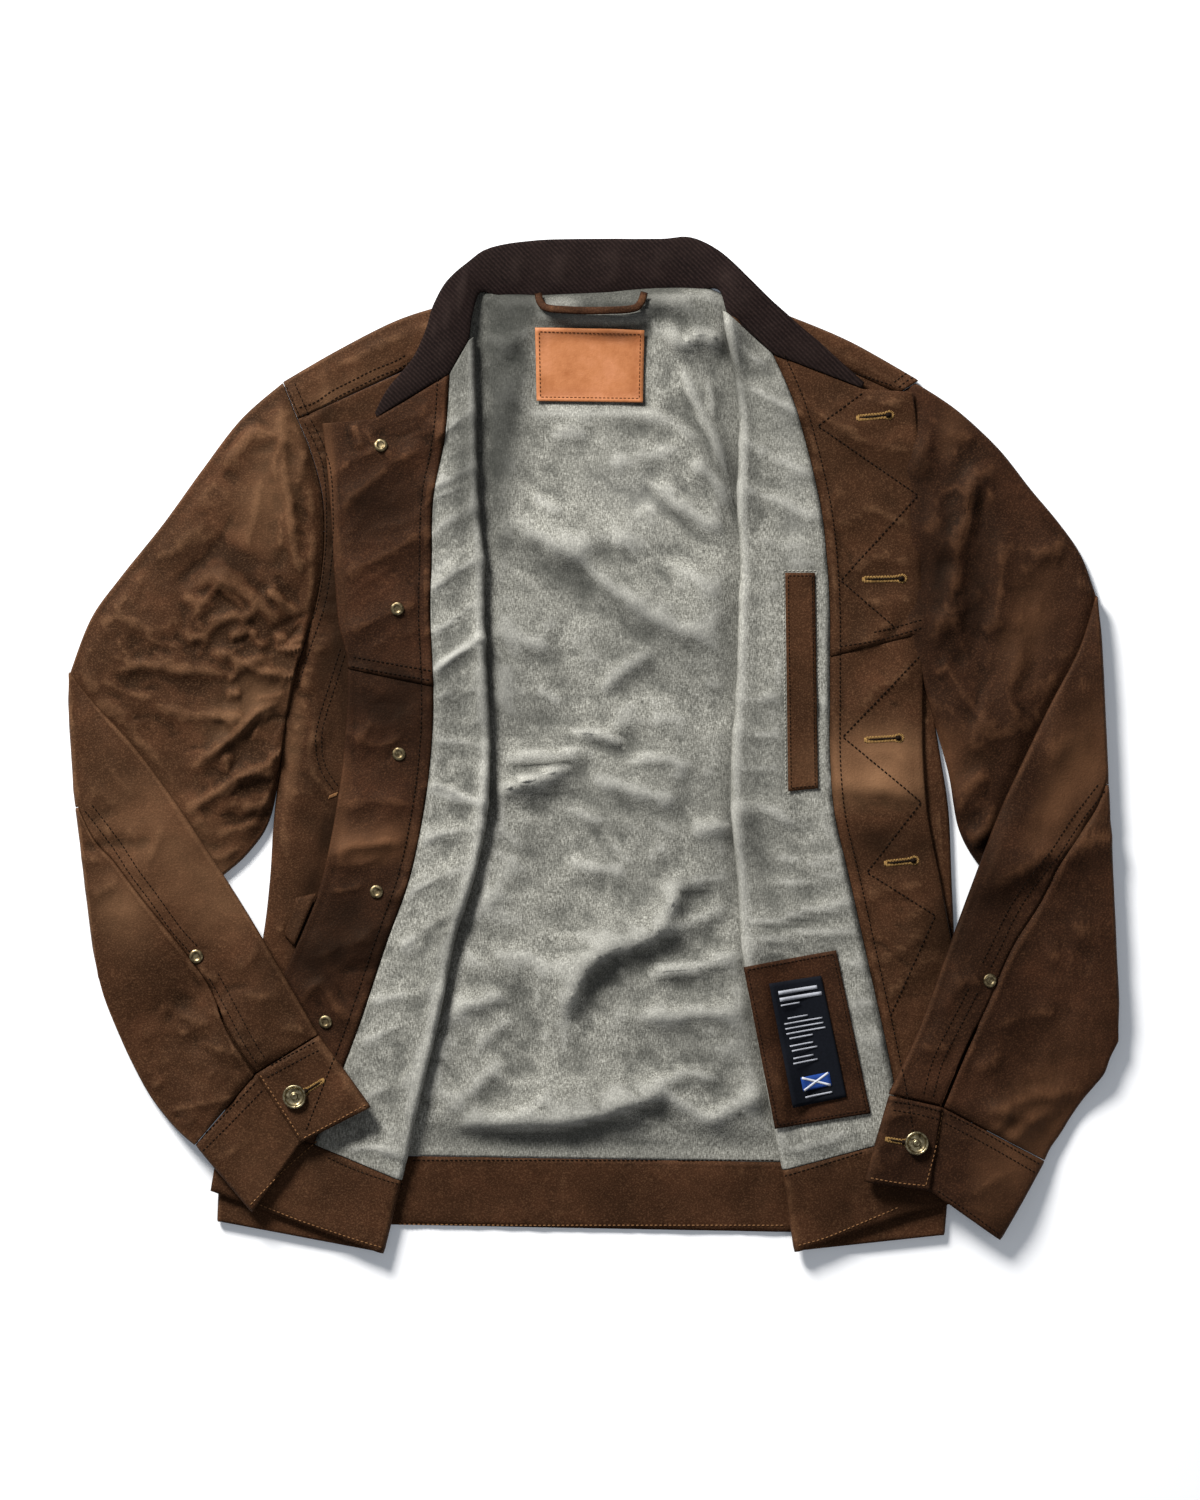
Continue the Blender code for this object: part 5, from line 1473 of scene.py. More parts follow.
def nearest_on(point, lines, reach):
    """The nearest place to a point on any of the lines, if it is close to one."""
    best = point
    for line in lines:
        for start, end in zip(line, line[1:]):
            edge = end - start
            part = min(max(float((point - start) @ edge / (edge @ edge)), 0.0), 1.0)
            place = start + edge * part
            gap = float(np.linalg.norm(place - point))
            if gap < reach:
                reach = gap
                best = place
    return best


def collar_grid(fronts):
    """The stand collar: a doubled band along the neck seam."""
    necks = [(front.axis[0], front.facing[0], front.buttons[0]) for front in fronts]
    control = []
    for seam, edge, z in COLLAR:
        plan = np.array(seam, float)
        if z > SHOULDER_BAND_Z:
            plan = nearest_on(plan, necks, NECK_REACH)
        control.append(((*plan, z), (*edge, z)))
    pairs = densify(np.array(control, float), 0, STEP)
    seam, edge = pairs[:, 0], pairs[:, 1]
    seam = seam + unit(edge - seam) * SEAM
    t = 0.5 - 0.5 * np.cos(math.pi * np.arange(COLLAR_STEPS + 1) / COLLAR_STEPS)
    grid = seam[:, None] + (edge - seam)[:, None] * t[None, :, None]
    x, y = grid[..., 0], grid[..., 1]
    height = np.linalg.norm(edge - seam, axis=-1)[:, None]
    belly = (4 * t * (1 - t))[None]
    relief = COLLAR_BELLY * belly * grow(height, COLLAR_BELLY_REACH)
    relief = relief + COLLAR_FOLDS * crease_lift(COLLAR_CREASES, x, y) * smoothstep(belly)
    relief = relief + 0.35 * noise(x / 17, y / 13, 61) + 0.12 * noise(x / 5, y / 5, 62)
    over_front = smoothstep((grid[..., 2] - 4.0) / 4.0)
    grid[..., 2] += np.maximum(relief, -0.1) + COLLAR_OVER_FRONT * over_front
    return grid


def on_cloth(plan, wall, air=SEWN_GAP):
    """Plan points at the height where a piece lies on the cloth below them."""
    z = GROUND.rest(plan[..., 0], plan[..., 1], margin=0, blur=1)
    return at_height(plan, z + air + wall / 2)


def inside_corners(corners, u, v):
    """A place inside four corners, by its shares of the width and of the length."""
    top_left, top_right, low_right, low_left = np.array(corners, float)
    top = top_left * (1 - u) + top_right * u
    low = low_left * (1 - u) + low_right * u
    return top * (1 - v) + low * v


def patch_grid(corners, wall, spacing=0.7 * STEP, air=SEWN_GAP):
    """A flat piece inside four corners, laid on what is below."""
    top_left, top_right, _low_right, low_left = np.array(corners, float)
    down = max(4, round(np.linalg.norm(low_left - top_left) / spacing))
    across = max(4, round(np.linalg.norm(top_right - top_left) / spacing))
    v = (np.arange(down + 1) / down)[:, None, None]
    u = (np.arange(across + 1) / across)[None, :, None]
    return on_cloth(inside_corners(corners, u, v), wall, air)


def loop_grid():
    """The hanger loop, standing a little off the lining between its sewn ends."""
    middle = densify(np.array(HANGER_LOOP, float), 0, LOOP_STEP)
    way = unit(np.gradient(middle, axis=0))
    across = np.stack([-way[:, 1], way[:, 0]], axis=-1)
    offsets = np.linspace(0.5, -0.5, 6) * LOOP_WIDTH
    plan = middle[:, None] + across[:, None] * offsets[None, :, None]
    grid = on_cloth(plan, LOOP_WALL)
    t = np.linspace(0, 1, len(middle))[:, None]
    crown = 0.5 * (1 - (2 * np.abs(offsets) / LOOP_WIDTH) ** 2)[None]
    sag = grid[..., 2].max(axis=1, keepdims=True)
    grid[..., 2] = sag + LOOP_RISE * np.sin(math.pi * t) + crown
    return grid


# ---------------------------------------------------------------- sleeves and cuffs


class Sleeve:
    """One arm: sections from the armhole round the elbow's fold to the cuff."""

    COLUMNS = 96
    ROW_STEP = 1.1 * STEP
    SIDE_STEP = 4.0
    ELBOW_STEPS = 10
    ARC_STEPS = 8
    # Height of the creases, and how keen they are on the upper sleeve and on the forearm.
    FOLDS = 1.5
    UPPER_FORM = {"sharp": 1.1, "broad": 0.75}
    FORE_FORM = {"sharp": 1.15, "broad": 0.75}
    # How high the cloth puffs up, and how many mm from the edges that takes.
    UPPER_PUFF = 2.6
    UPPER_PUFF_REACH = 40.0
    FORE_PUFF = 1.6
    FORE_PUFF_REACH = 34.0
    # How many mm it takes texture and creases to grow from the edges and the ends.
    UPPER_EDGE = 14.0
    UPPER_FOLD_EDGE = 7.0
    FROM_ARMHOLE = 16.0
    FOLDS_FROM_ARMHOLE = 8.0
    FROM_ELBOW = 30.0
    FORE_EDGE = 12.0
    FORE_FOLD_EDGE = 6.0
    FROM_CUFF = 10.0
    CUFF_SHARE = 0.3
    # The forearm's seam: a raised lap beside a groove, heights and widths.
    LAP = (0.7, 2.6)
    GROOVE = (0.4, 1.6)
    # How the forearm presses the upper sleeve, and how it comes down from the elbow.
    PRESS = 0.85
    PRESS_REACH = 16.0
    DOWN_REACH = 34.0
    LOWEST = 0.6
    # The slit above the cuff opens by this much over this length.
    SLIT_GAP = 0.9
    SLIT_REACH = 8.0

    def __init__(self, name, front_table, upper, elbow, forearm, cuff_edge):
        self.name = name
        self.elbow = np.array(elbow, float)
        self.cuff_edge = np.array(cuff_edge, float)
        self.cuff_seam = np.array(forearm[-1], float)
        side = np.array([row[0] for row in front_table[: WAIST_ROW + 1]], float)
        side, starts = densify(side, 0, self.SIDE_STEP, marks=True)
        hole = np.concatenate([np.array(upper[0][:1], float), side[: starts[UNDERARM_ROW] + 1]])
        span = hole[-1] - hole[0]
        self.part = (hole - hole[0]) @ span / (span @ span)
        self.bow = hole - (hole[0] + span * self.part[:, None])
        row = np.array(upper[1], float)
        seam_part = np.linalg.norm(row[1] - row[0]) / np.linalg.norm(row[2] - row[0])
        self.seam_column = round(seam_part * self.COLUMNS)
        self.seam_part = self.seam_column / self.COLUMNS
        upper_rows = np.array(list(upper) + [elbow], float)
        self.upper, starts = densify(upper_rows, 0, self.ROW_STEP, marks=True)
        self.bows = np.interp(np.arange(len(self.upper)), starts, ARMHOLE_BOWS + (0.0,))
        self.fore = densify(np.array([elbow] + list(forearm), float), 0, self.ROW_STEP)[1:]

    def lines(self, rows, bows):
        """Plan points across the tube at each row, from edge arc to edge arc."""
        outer, seam, inner = rows[:, 0], rows[:, 1], rows[:, 2]
        to_seam = np.linalg.norm(seam - outer, axis=1)
        length = to_seam + np.linalg.norm(inner - seam, axis=1)
        inset = ((TUBE_TURN + WALL / 2) / length)[:, None]
        u = inset + np.linspace(0, 1, self.COLUMNS + 1)[None] * (1 - 2 * inset)
        s = self.seam_part
        near = np.minimum(u / s, 1.0)[..., None]
        far = np.maximum((u - s) / (1 - s), 0.0)[..., None]
        plan = outer[:, None] + (seam - outer)[:, None] * near + (inner - seam)[:, None] * far
        share = (to_seam / length)[:, None]
        share = near[..., 0] * share + far[..., 0] * (1 - share)
        for axis in (0, 1):
            plan[..., axis] += np.interp(share, self.part, self.bow[:, axis]) * bows[:, None]
        return plan

    def across(self, plan):
        """Each column's share of the way across, the width, and the way to the near edge."""
        u = np.linspace(0, 1, self.COLUMNS + 1)[None]
        width = np.linalg.norm(plan[:, -1] - plan[:, 0], axis=1)[:, None]
        return u, width, np.minimum(u, 1 - u) * width

    def rings(self, plan, angle, settled, face_puff, floor_puff):
        """Closed sections, starting and ending at the seam on the floor wall."""
        width = unit(plan[:, -1] - plan[:, 0])
        outward = np.stack([-width[:, 1], width[:, 0]], axis=-1)
        flip = np.where(outward[:, 0] * plan[:, 0, 0] < 0, -1.0, 1.0)
        outward *= flip[:, None]
        radius = ELBOW_AXIS_Z - TUBE_HEIGHT / 2
        sin, cos = np.sin(angle), np.cos(angle)
        shift = at_height(outward * (radius * sin)[:, None], 0.0)
        normal = at_height(-outward * sin[:, None], cos)[:, None]
        centre = at_height(plan, (ELBOW_AXIS_Z - radius * cos)[:, None] + settled)
        centre = centre + shift[:, None]
        face = centre + normal * (TUBE_TURN + face_puff)[..., None]
        floor = centre - normal * (TUBE_TURN + floor_puff)[..., None]
        outer_arc = self.edge_arc(centre[:, 0], centre[:, 0] - centre[:, 1], normal[:, 0])
        inner_arc = self.edge_arc(centre[:, -1], centre[:, -1] - centre[:, -2], normal[:, 0])
        s = self.seam_column
        return join_columns(floor[:, s:], inner_arc[:, ::-1], face[:, ::-1], outer_arc,
                            floor[:, : s + 1])

    def edge_arc(self, centre, away, normal):
        """The rounded edge of the tube, from the face to the floor, ends left out."""
        away = unit(away)
        away = unit(away - normal * (away * normal).sum(axis=-1, keepdims=True))
        angle = math.pi * (0.5 - np.arange(1, self.ARC_STEPS) / self.ARC_STEPS)
        reach = away[:, None] * np.cos(angle)[None, :, None]
        reach = reach + normal[:, None] * np.sin(angle)[None, :, None]
        return centre[:, None] + reach * TUBE_TURN

    def lay_upper(self, creases):
        """The part from the armhole to the elbow, with its puffed and creased face."""
        plan = self.lines(self.upper, self.bows)
        x, y = plan[..., 0], plan[..., 1]
        from_edge = self.across(plan)[2]
        edges = grow(from_edge, self.UPPER_EDGE)
        along = np.arange(len(plan))[:, None] * self.ROW_STEP
        ends = grow(along, self.FROM_ARMHOLE) * grow(along[::-1], self.FROM_ELBOW)
        texture = waxed_texture(x, y)
        puff = self.UPPER_PUFF * grow(from_edge, self.UPPER_PUFF_REACH) + 1.0
        relief = (puff + 1.25 * texture) * edges * ends + 0.3 * texture * edges
        folds = self.FOLDS * crease_lift(creases, x, y, **self.UPPER_FORM)
        folds *= grow(from_edge, self.UPPER_FOLD_EDGE) * grow(along, self.FOLDS_FROM_ARMHOLE)
        relief = (relief + folds) * (1 - self.PRESS * self.under_forearm(x, y))
        self.upper_plan = plan
        self.upper_puff = np.maximum(relief, -0.3)
        GROUND.lay(at_height(plan, TUBE_HEIGHT - WALL / 2 + self.upper_puff), WALL)
        edge_points = np.concatenate([plan[:, 0], plan[:, -1]])
        GROUND.lay(at_height(edge_points, TUBE_HEIGHT - WALL), WALL)

    def under_forearm(self, x, y):
        """1 where the forearm lies on the upper arm, 0 outside its creased edge."""
        edge = self.fore[:, 0]
        start = self.elbow[:1]
        hull = np.concatenate([start + (start - edge[-1]) * 0.2, start, edge])
        gap, _along, side, _length = to_path(x, y, hull)
        inner = self.fore[len(self.fore) // 2, 2]
        inner_side = to_path(inner[:1], inner[1:], hull)[2][0]
        signed = np.where(np.sign(side) == np.sign(inner_side), gap, -gap)
        return smoothstep(0.5 + signed / self.PRESS_REACH)

    def base_at(self, x, y):
        """Height of the underside of the forearm at a place."""
        base = GROUND.rest(x, y, margin=4, blur=7) + FOREARM_AIR
        start, end = self.elbow[0], self.elbow[2]
        way = unit(end - start)
        gap = np.abs((x - start[0]) * way[1] - (y - start[1]) * way[0])
        near = smoothstep(1 - gap / self.DOWN_REACH)
        return np.maximum(base, self.LOWEST) * (1 - near) + FOREARM_ON_SLEEVE * near

    def grid(self, creases):
        """The whole arm as one sheet, closed along its seam."""
        zero = np.zeros(self.upper_plan.shape[:2])
        upper = self.rings(self.upper_plan, np.zeros(len(zero)), zero, self.upper_puff, zero)
        turned = math.pi * np.arange(1, self.ELBOW_STEPS + 1) / self.ELBOW_STEPS
        elbow_plan = np.repeat(self.upper_plan[-1:], len(turned), axis=0)
        flat = np.zeros((len(turned), self.COLUMNS + 1))
        up = ((1 - np.cos(turned)) / 2)[:, None]
        plan = self.lines(self.fore, np.zeros(len(self.fore)))
        base = self.base_at(plan[..., 0], plan[..., 1]) - FOREARM_ON_SLEEVE
        relief = self.fore_relief(plan, creases)
        elbow = self.rings(elbow_plan, turned, flat, flat, relief[:1] * up)
        elbow = self.pressed(elbow, elbow_plan)
        fore = self.rings(plan, np.full(len(plan), math.pi), base, np.zeros(relief.shape), relief)
        grid = np.concatenate([upper, elbow, fore])
        placket = (np.arange(len(grid)) - (len(grid) - PLACKET_LENGTH / self.ROW_STEP)) * STEP
        gap = SEAM / 2 + self.SLIT_GAP * grow(placket, self.SLIT_REACH)
        grid[:, 0] += unit(grid[:, 1] - grid[:, 0]) * gap[:, None]
        grid[:, -1] += unit(grid[:, -2] - grid[:, -1]) * gap[:, None]
        return trim_rows(grid, SEAM / 2, SEAM / 2)

    def pressed(self, rings, plan):
        """The elbow's fold pressed flatter than a half round, most of all at its ends."""
        start, end = plan[0, 0], plan[0, -1]
        way = unit(end - start)
        out = np.array([-way[1], way[0]])
        if out[0] * start[0] < 0:
            out = -out
        beyond = (rings[..., :2] - start) @ out
        along = (rings[..., :2] - start) @ way / np.linalg.norm(end - start)
        middle = smoothstep(np.minimum(along, 1 - along) * 9 + 0.1)
        line = np.interp(along[0], np.linspace(0, 1, plan.shape[1]), (plan[0] - start) @ out)
        keep = ELBOW_PRESS * (0.3 + 0.7 * middle)
        moved = (beyond - line) * (1 - keep)
        rings = rings.copy()
        rings[..., :2] -= moved[..., None] * out
        return rings

    def fore_relief(self, plan, creases):
        """Puff and creases of the forearm's upper wall."""
        x, y = plan[..., 0], plan[..., 1]
        u, width, from_edge = self.across(plan)
        edges = grow(from_edge, self.FORE_EDGE)
        left = np.arange(len(plan))[::-1, None] * self.ROW_STEP
        puff = self.FORE_PUFF * grow(from_edge, self.FORE_PUFF_REACH)
        puff = puff * smoothstep(left / 20 + 0.2) + 0.5
        seam_gap = (u - self.seam_part) * width
        lap = self.LAP[0] * bell(seam_gap - self.LAP[1], self.LAP[1])
        seam = lap - self.GROOVE[0] * bell(seam_gap, self.GROOVE[1])
        relief = (puff + waxed_texture(x, y)) * edges * grow(left, self.FROM_CUFF, self.CUFF_SHARE)
        folds = self.FOLDS * crease_lift(creases, x, y, **self.FORE_FORM)
        return box_blur(relief + folds * grow(from_edge, self.FORE_FOLD_EDGE), 1) + seam * edges


def cuff_line(row):
    """The way round a cuff: flap, outer edge, underneath, inner edge, underlap."""
    outer, slit, inner = row
    to_slit = unit(slit - outer)
    to_inner = unit(inner - slit)
    flap_turn = (CUFF_FLAP - CUFF_LOW) / 2
    wrap_turn = (CUFF_HIGH - CUFF_LOW) / 2
    start = outer + to_slit * (flap_turn + CUFF_WALL / 2)
    end = inner - to_inner * (wrap_turn + CUFF_WALL / 2)
    underlap = slit - to_slit * CUFF_UNDERLAP
    path = straight(slit, start, CUFF_FLAP, CUFF_LONG_STEPS)
    path += half_turn(start, -to_slit, CUFF_FLAP, CUFF_LOW)
    path += straight(start, slit, CUFF_LOW, CUFF_STEPS) + straight(slit, end, CUFF_LOW, CUFF_STEPS)
    path += half_turn(end, to_inner, CUFF_LOW, CUFF_HIGH)
    path += straight(end, slit, CUFF_HIGH, CUFF_LONG_STEPS)
    path += straight(slit, underlap, CUFF_HIGH, UNDERLAP_STEPS)
    path.append((*underlap, CUFF_HIGH))
    return np.array(path)


def straight(start, end, z, count):
    """Points on a straight line at one height, the end left out."""
    return [(*(start + (end - start) * k / count), z) for k in range(count)]


def half_turn(axis, outward, start_z, end_z, count=10, ends=False):
    """Half a circle from one height to another, with or without its ends."""
    middle = (start_z + end_z) / 2
    radius = (end_z - start_z) / 2
    points = []
    for k in range(0 if ends else 1, count + 1 if ends else count):
        angle = math.pi * (k / count - 0.5)
        reach = axis + outward * abs(radius) * math.cos(angle)
        points.append((*reach, middle + radius * math.sin(angle)))
    return points


def cuff_grid(sleeve, creases):
    """One doubled band that laps over itself at the slit."""
    seam_line = cuff_line(sleeve.cuff_seam)
    edge_line = cuff_line(sleeve.cuff_edge)
    grid, depth = strip(seam_line, edge_line, CUFF_DEPTH)
    x, y = grid[..., 0], grid[..., 1]
    level = grid[..., 2].copy()
    upper = box_blur((level > CUFF_HIGH - 0.3).astype(float), 2)
    relief = CUFF_RELIEF * waxed_texture(x, y) + crease_lift(creases, x, y)
    dents = stitch_dents(depth, STITCH_LINE, CUFF_DEPTH - STITCH_LINE - 1.0)
    relief = np.maximum(relief + 0.25 - CUFF_DENT * dents, 0.0)
    grid[..., 2] = level + sleeve.base_at(x, y) + relief * upper
    return trim_rows(grid, SEAM, 0.0)


# ---------------------------------------------------------------- materials


def linear(code):
    """An sRGB hex colour as linear values with alpha."""
    values = []
    for k in (0, 2, 4):
        c = int(code[k : k + 2], 16) / 255
        values.append(c / 12.92 if c <= 0.04045 else ((c + 0.055) / 1.055) ** 2.4)
    return (*values, 1.0)


class Look:
    """A material and short ways to add nodes to it. Texture sizes are in mm."""

    WAVE_SPAN = 0.314  # How far apart Blender's bands lie at a scale of 1.

    def __init__(self, name, roughness=0.6, metallic=0.0, specular=0.5):
        self.material = bpy.data.materials.new(name)
        self.material.use_nodes = True
        self.tree = self.material.node_tree
        self.shader = self.tree.nodes["Principled BSDF"]
        self.shader.inputs["Roughness"].default_value = roughness
        self.shader.inputs["Metallic"].default_value = metallic
        self.shader.inputs["Specular IOR Level"].default_value = specular
        self.place = self.node("TexCoord").outputs["Object"]

    def node(self, kind, **inputs):
        """A new node with its inputs linked or set; _ stands for a space in their names."""
        node = self.tree.nodes.new("ShaderNode" + kind)
        for name, value in inputs.items():
            self.feed(node.inputs[name.replace("_", " ")], value)
        return node

    def feed(self, socket, value):
        """Links an output, or sets a constant, on an input."""
        if isinstance(value, bpy.types.NodeSocket):
            self.tree.links.new(value, socket)
        else:
            socket.default_value = value

    def stretched(self, scale):
        """The coordinates scaled along each axis."""
        return self.node("Mapping", Vector=self.place, Scale=scale).outputs["Vector"]

    def noise(self, size, detail=3.0, rough=0.55, warp=0.0, source=None):
        """Noise from 0 to 1 with features of this size."""
        return self.node("TexNoise", Vector=source or self.place, Scale=1 / (MM * size),
                         Detail=detail, Roughness=rough, Distortion=warp).outputs["Fac"]

    def cells(self, size):
        """Distance from the middle of the nearest of cells of this size."""
        node = self.node("TexVoronoi", Vector=self.place, Scale=1 / (MM * size))
        return node.outputs["Distance"]

    def waves(self, size, direction="X", source=None, warp=0.0):
        """Parallel bands this far apart."""
        node = self.node("TexWave", Vector=source or self.place, Detail=1.0, Distortion=warp,
                         Scale=self.WAVE_SPAN / (MM * size))
        node.bands_direction = direction
        return node.outputs["Fac"]

    def attribute(self, name):
        """The numbers that make_piece stored under this name, from 0 to 1."""
        node = self.node("Attribute")
        node.attribute_name = name
        return node.outputs["Fac"]

    def math(self, operation, a, b=0.0):
        """One sum of two values."""
        node = self.node("Math")
        node.operation = operation
        self.feed(node.inputs[0], a)
        self.feed(node.inputs[1], b)
        return node.outputs[0]

    def blend(self, a, b, share):
        """This share of the first value and the rest of the second."""
        return self.math("ADD", self.math("MULTIPLY", a, share),
                         self.math("MULTIPLY", b, 1 - share))

    def remap(self, value, low, high, to_low, to_high, smooth=False):
        """The value with low..high brought to to_low..to_high, and held there."""
        node = self.node("MapRange", Value=value, From_Min=low, From_Max=high, To_Min=to_low,
                         To_Max=to_high)
        node.interpolation_type = "SMOOTHSTEP" if smooth else "LINEAR"
        return node.outputs["Result"]

    def mix(self, colour, code, factor):
        """The colour with this much of a hex colour."""
        node = self.node("Mix")
        node.data_type = "RGBA"
        for name, value in (("Factor", factor), ("A", colour), ("B", linear(code))):
            self.feed(node.inputs[name], value)
        return node.outputs["Result"]

    def tint(self, colour, code, value, *span, smooth=False):
        """The colour with as much of a hex colour as the remapped value says."""
        return self.mix(colour, code, self.remap(value, *span, smooth=smooth))

    def ramp(self, factor, *stops):
        """Colours along the factor: pairs of position and hex colour."""
        node = self.node("ValToRGB", Fac=factor)
        elements = node.color_ramp.elements
        while len(elements) < len(stops):
            elements.new(0.5)
        for element, (place, code) in zip(elements, stops):
            element.position = place
            element.color = linear(code)
        return node.outputs["Color"]

    def bump(self, height, depth, strength=1.0, base=None):
        """Bump of this depth in mm, on top of another."""
        node = self.node("Bump", Strength=strength, Distance=depth * MM, Height=height)
        if base is not None:
            self.feed(node.inputs["Normal"], base)
        return node.outputs["Normal"]

    def finish(self, colour, normal=None, roughness=None):
        """Links what the surface shows and gives the material."""
        for name, value in (("Base Color", colour), ("Normal", normal), ("Roughness", roughness)):
            if value is not None:
                self.feed(self.shader.inputs[name], value)
        return self.material


def waxed_look(name, painted_shade_colour, dark, mid, light, wear_and_highlight):
    """Waxed cotton: cloudy oily brown, with wear and a painted highlight on crests and painted
    shade in creases.
    """
    look = Look(name, specular=0.1)
    look.shader.inputs["Specular Tint"].default_value = (1.0, 0.74, 0.52, 1.0)
    blots = look.noise(13, 5, 0.6, 0.5)
    grain = look.noise(1.1, 3, 0.6)
    tone = look.blend(look.noise(60, 3, 0.55, 0.4), blots, 0.65)
    colour = look.ramp(tone, (0.3, dark), (0.5, mid), (0.72, light))
    # Crests paler: partly wear where folds rub, partly a painted highlight.
    rub_and_highlight = look.remap(look.attribute("crest"), 0.3, 1.0, 0.0, 0.32, smooth=True)
    rub_and_highlight = look.math("MULTIPLY", rub_and_highlight, look.remap(blots, 0.36, 0.62, 0.3, 1.0))
    colour = look.mix(colour, wear_and_highlight, rub_and_highlight)
    # Painted shade in the creases.
    colour = look.tint(colour, painted_shade_colour, look.attribute("crease"), 0.15, 1.0, 0.0, 0.8, smooth=True)
    line = look.math("ABSOLUTE", look.math("SUBTRACT", look.noise(9, 4, 0.55, 1.6), 0.5))
    scratched = look.remap(line, 0.0, 0.012, 0.3, 0.0)
    patches = look.remap(look.noise(38, 2), 0.52, 0.68, 0.0, 1.0, smooth=True)
    colour = look.mix(colour, wear_and_highlight, look.math("MULTIPLY", scratched, patches))
    colour = look.tint(colour, dark, grain, 0.3, 0.7, 0.5, 0.0)
    colour = look.tint(colour, wear_and_highlight, grain, 0.5, 0.8, 0.0, 0.35)
    # The tables' painted light and painted shade.
    colour = look.tint(colour, wear_and_highlight, look.attribute("painted_highlight"), 0.0, 1.0, 0.0, 0.75)
    colour = look.tint(colour, painted_shade_colour, look.attribute("shade"), 0.0, 1.0, 0.0, 0.8)
    weave = [look.waves(0.62, way, warp=0.6) for way in ("X", "Y")]
    normal = look.bump(look.math("MULTIPLY", *weave), 0.05, 0.6)
    for height, depth, strength in ((grain, 0.3, 0.9), (blots, 0.5, 0.7), (line, 0.8, 0.5)):
        normal = look.bump(height, depth, strength, normal)
    return look.finish(colour, normal, look.remap(blots, 0.3, 0.7, 0.56, 0.76))


def lining_look():
    """Grey chambray of light and dark threads side by side, with painted shade and painted
    highlights.
    """
    look = Look("lining_chambray", 0.9, specular=0.1)
    threads = look.noise(0.62, 2, 0.6, source=look.stretched((1.0, 0.22, 1.0)))
    cross = look.noise(0.6, 2, 0.6, source=look.stretched((0.3, 1.0, 1.0)))
    tone = look.blend(threads, cross, 0.62)
    colour = look.ramp(tone, (0.34, "484741"), (0.5, "88877f"), (0.66, "c4c3b9"))
    colour = look.tint(colour, "5d5c56", look.noise(15, 4, 0.6, 0.5), 0.34, 0.66, 0.0, 0.3)
    colour = look.tint(colour, "595954", look.noise(75, 2, 0.5), 0.42, 0.62, 0.0, 0.34)
    # Painted shade in the creases, a painted highlight on the crests, and the tables' painted light
    # and painted shade.
    for mark, start, most, code in (("crease", 0.1, 0.58, "3a3b37"), ("crest", 0.2, 0.25, "cac9c2"),
                                    ("shade", 0.0, 0.85, "2e2f2c"), ("painted_highlight", 0.0, 0.6, "c6c5be")):
        colour = look.tint(colour, code, look.attribute(mark), start, 1.0, 0.0, most)
    normal = look.bump(tone, 0.12, 0.7)
    return look.finish(colour, look.bump(look.noise(7, 4, 0.6), 0.7, 0.7, normal))


def collar_look():
    """Dark cord cloth with a diagonal rib."""
    look = Look("collar_twill", 0.9, specular=0.08)
    rib = look.waves(1.7, "DIAGONAL", look.stretched((1.0, 1.0, 0.0)), warp=0.8)
    tone = look.blend(rib, look.noise(1.5, 3, 0.6), 0.3)
    colour = look.ramp(tone, (0.22, "0d0807"), (0.5, "191110"), (0.8, "2c211e"))
    colour = look.tint(colour, "2c211e", look.noise(24, 3), 0.4, 0.7, 0.0, 0.2)
    # A faint painted highlight on the crests.
    colour = look.tint(colour, "4f413b", look.attribute("crest"), 0.3, 1.0, 0.0, 0.08)
    return look.finish(colour, look.bump(tone, 0.3, 0.8))


def leather_look():
    """Tan vegetable leather with pores and cloudy wear, darker where it dips: painted shade."""
    look = Look("tan_leather", 0.5, specular=0.2)
    clouds = look.noise(15, 4, 0.6)
    fine = look.noise(2.2, 3)
    colour = look.ramp(clouds, (0.3, "9c6039"), (0.5, "ad7047"), (0.72, "ba7c56"))
    colour = look.tint(colour, "965934", fine, 0.3, 0.7, 0.2, 0.0)
    # Painted shade where the patch dips.
    colour = look.tint(colour, "7e4626", look.attribute("crease"), 0.05, 0.6, 0.0, 0.5)
    normal = look.bump(fine, 0.25, 0.6, look.bump(look.cells(0.9), 0.08, 0.6))
    return look.finish(colour, normal, look.remap(clouds, 0.3, 0.7, 0.45, 0.6))


def metal_look(name, bright, mid, dark, roughness):
    """Antique metal: polished bright and tarnished in patches."""
    look = Look(name, roughness, 1.0)
    tarnish = look.noise(2.2, 4, 0.6)
    colour = look.ramp(tarnish, (0.34, dark), (0.5, mid), (0.66, bright))
    normal = look.bump(look.noise(0.7, 3), 0.06, 0.6)
    return look.finish(colour, normal, look.remap(tarnish, 0.3, 0.7, roughness + 0.16, roughness))


def label_look(name, low, high):
    """Close woven label cloth with a fine rib."""
    look = Look(name, 0.85, specular=0.1)
    tone = look.blend(look.waves(0.55, "Y", warp=0.2), look.noise(1.4, 3), 0.4)
    return look.finish(look.ramp(tone, (0.25, low), (0.75, high)), look.bump(tone, 0.12, 0.8))


def thread_look(name, low, high):
    """Twisted sewing thread."""
    look = Look(name, 0.85, specular=0.1)
    colour = look.ramp(look.noise(0.9, 2), (0.3, low), (0.7, high))
    return look.finish(colour, look.bump(look.noise(0.35, 2), 0.08, 0.7))


def floor_look():
    """Matt white paper."""
    look = Look("paper_floor", 0.95)
    look.shader.inputs["Emission Color"].default_value = (0.72, 0.85, 1.0, 1.0)
    look.shader.inputs["Emission Strength"].default_value = 0.12
    return look.finish(look.ramp(look.noise(260, 2), (0.3, "f6f6f7"), (0.7, "f9f9fa")))


# ---------------------------------------------------------------- small pieces


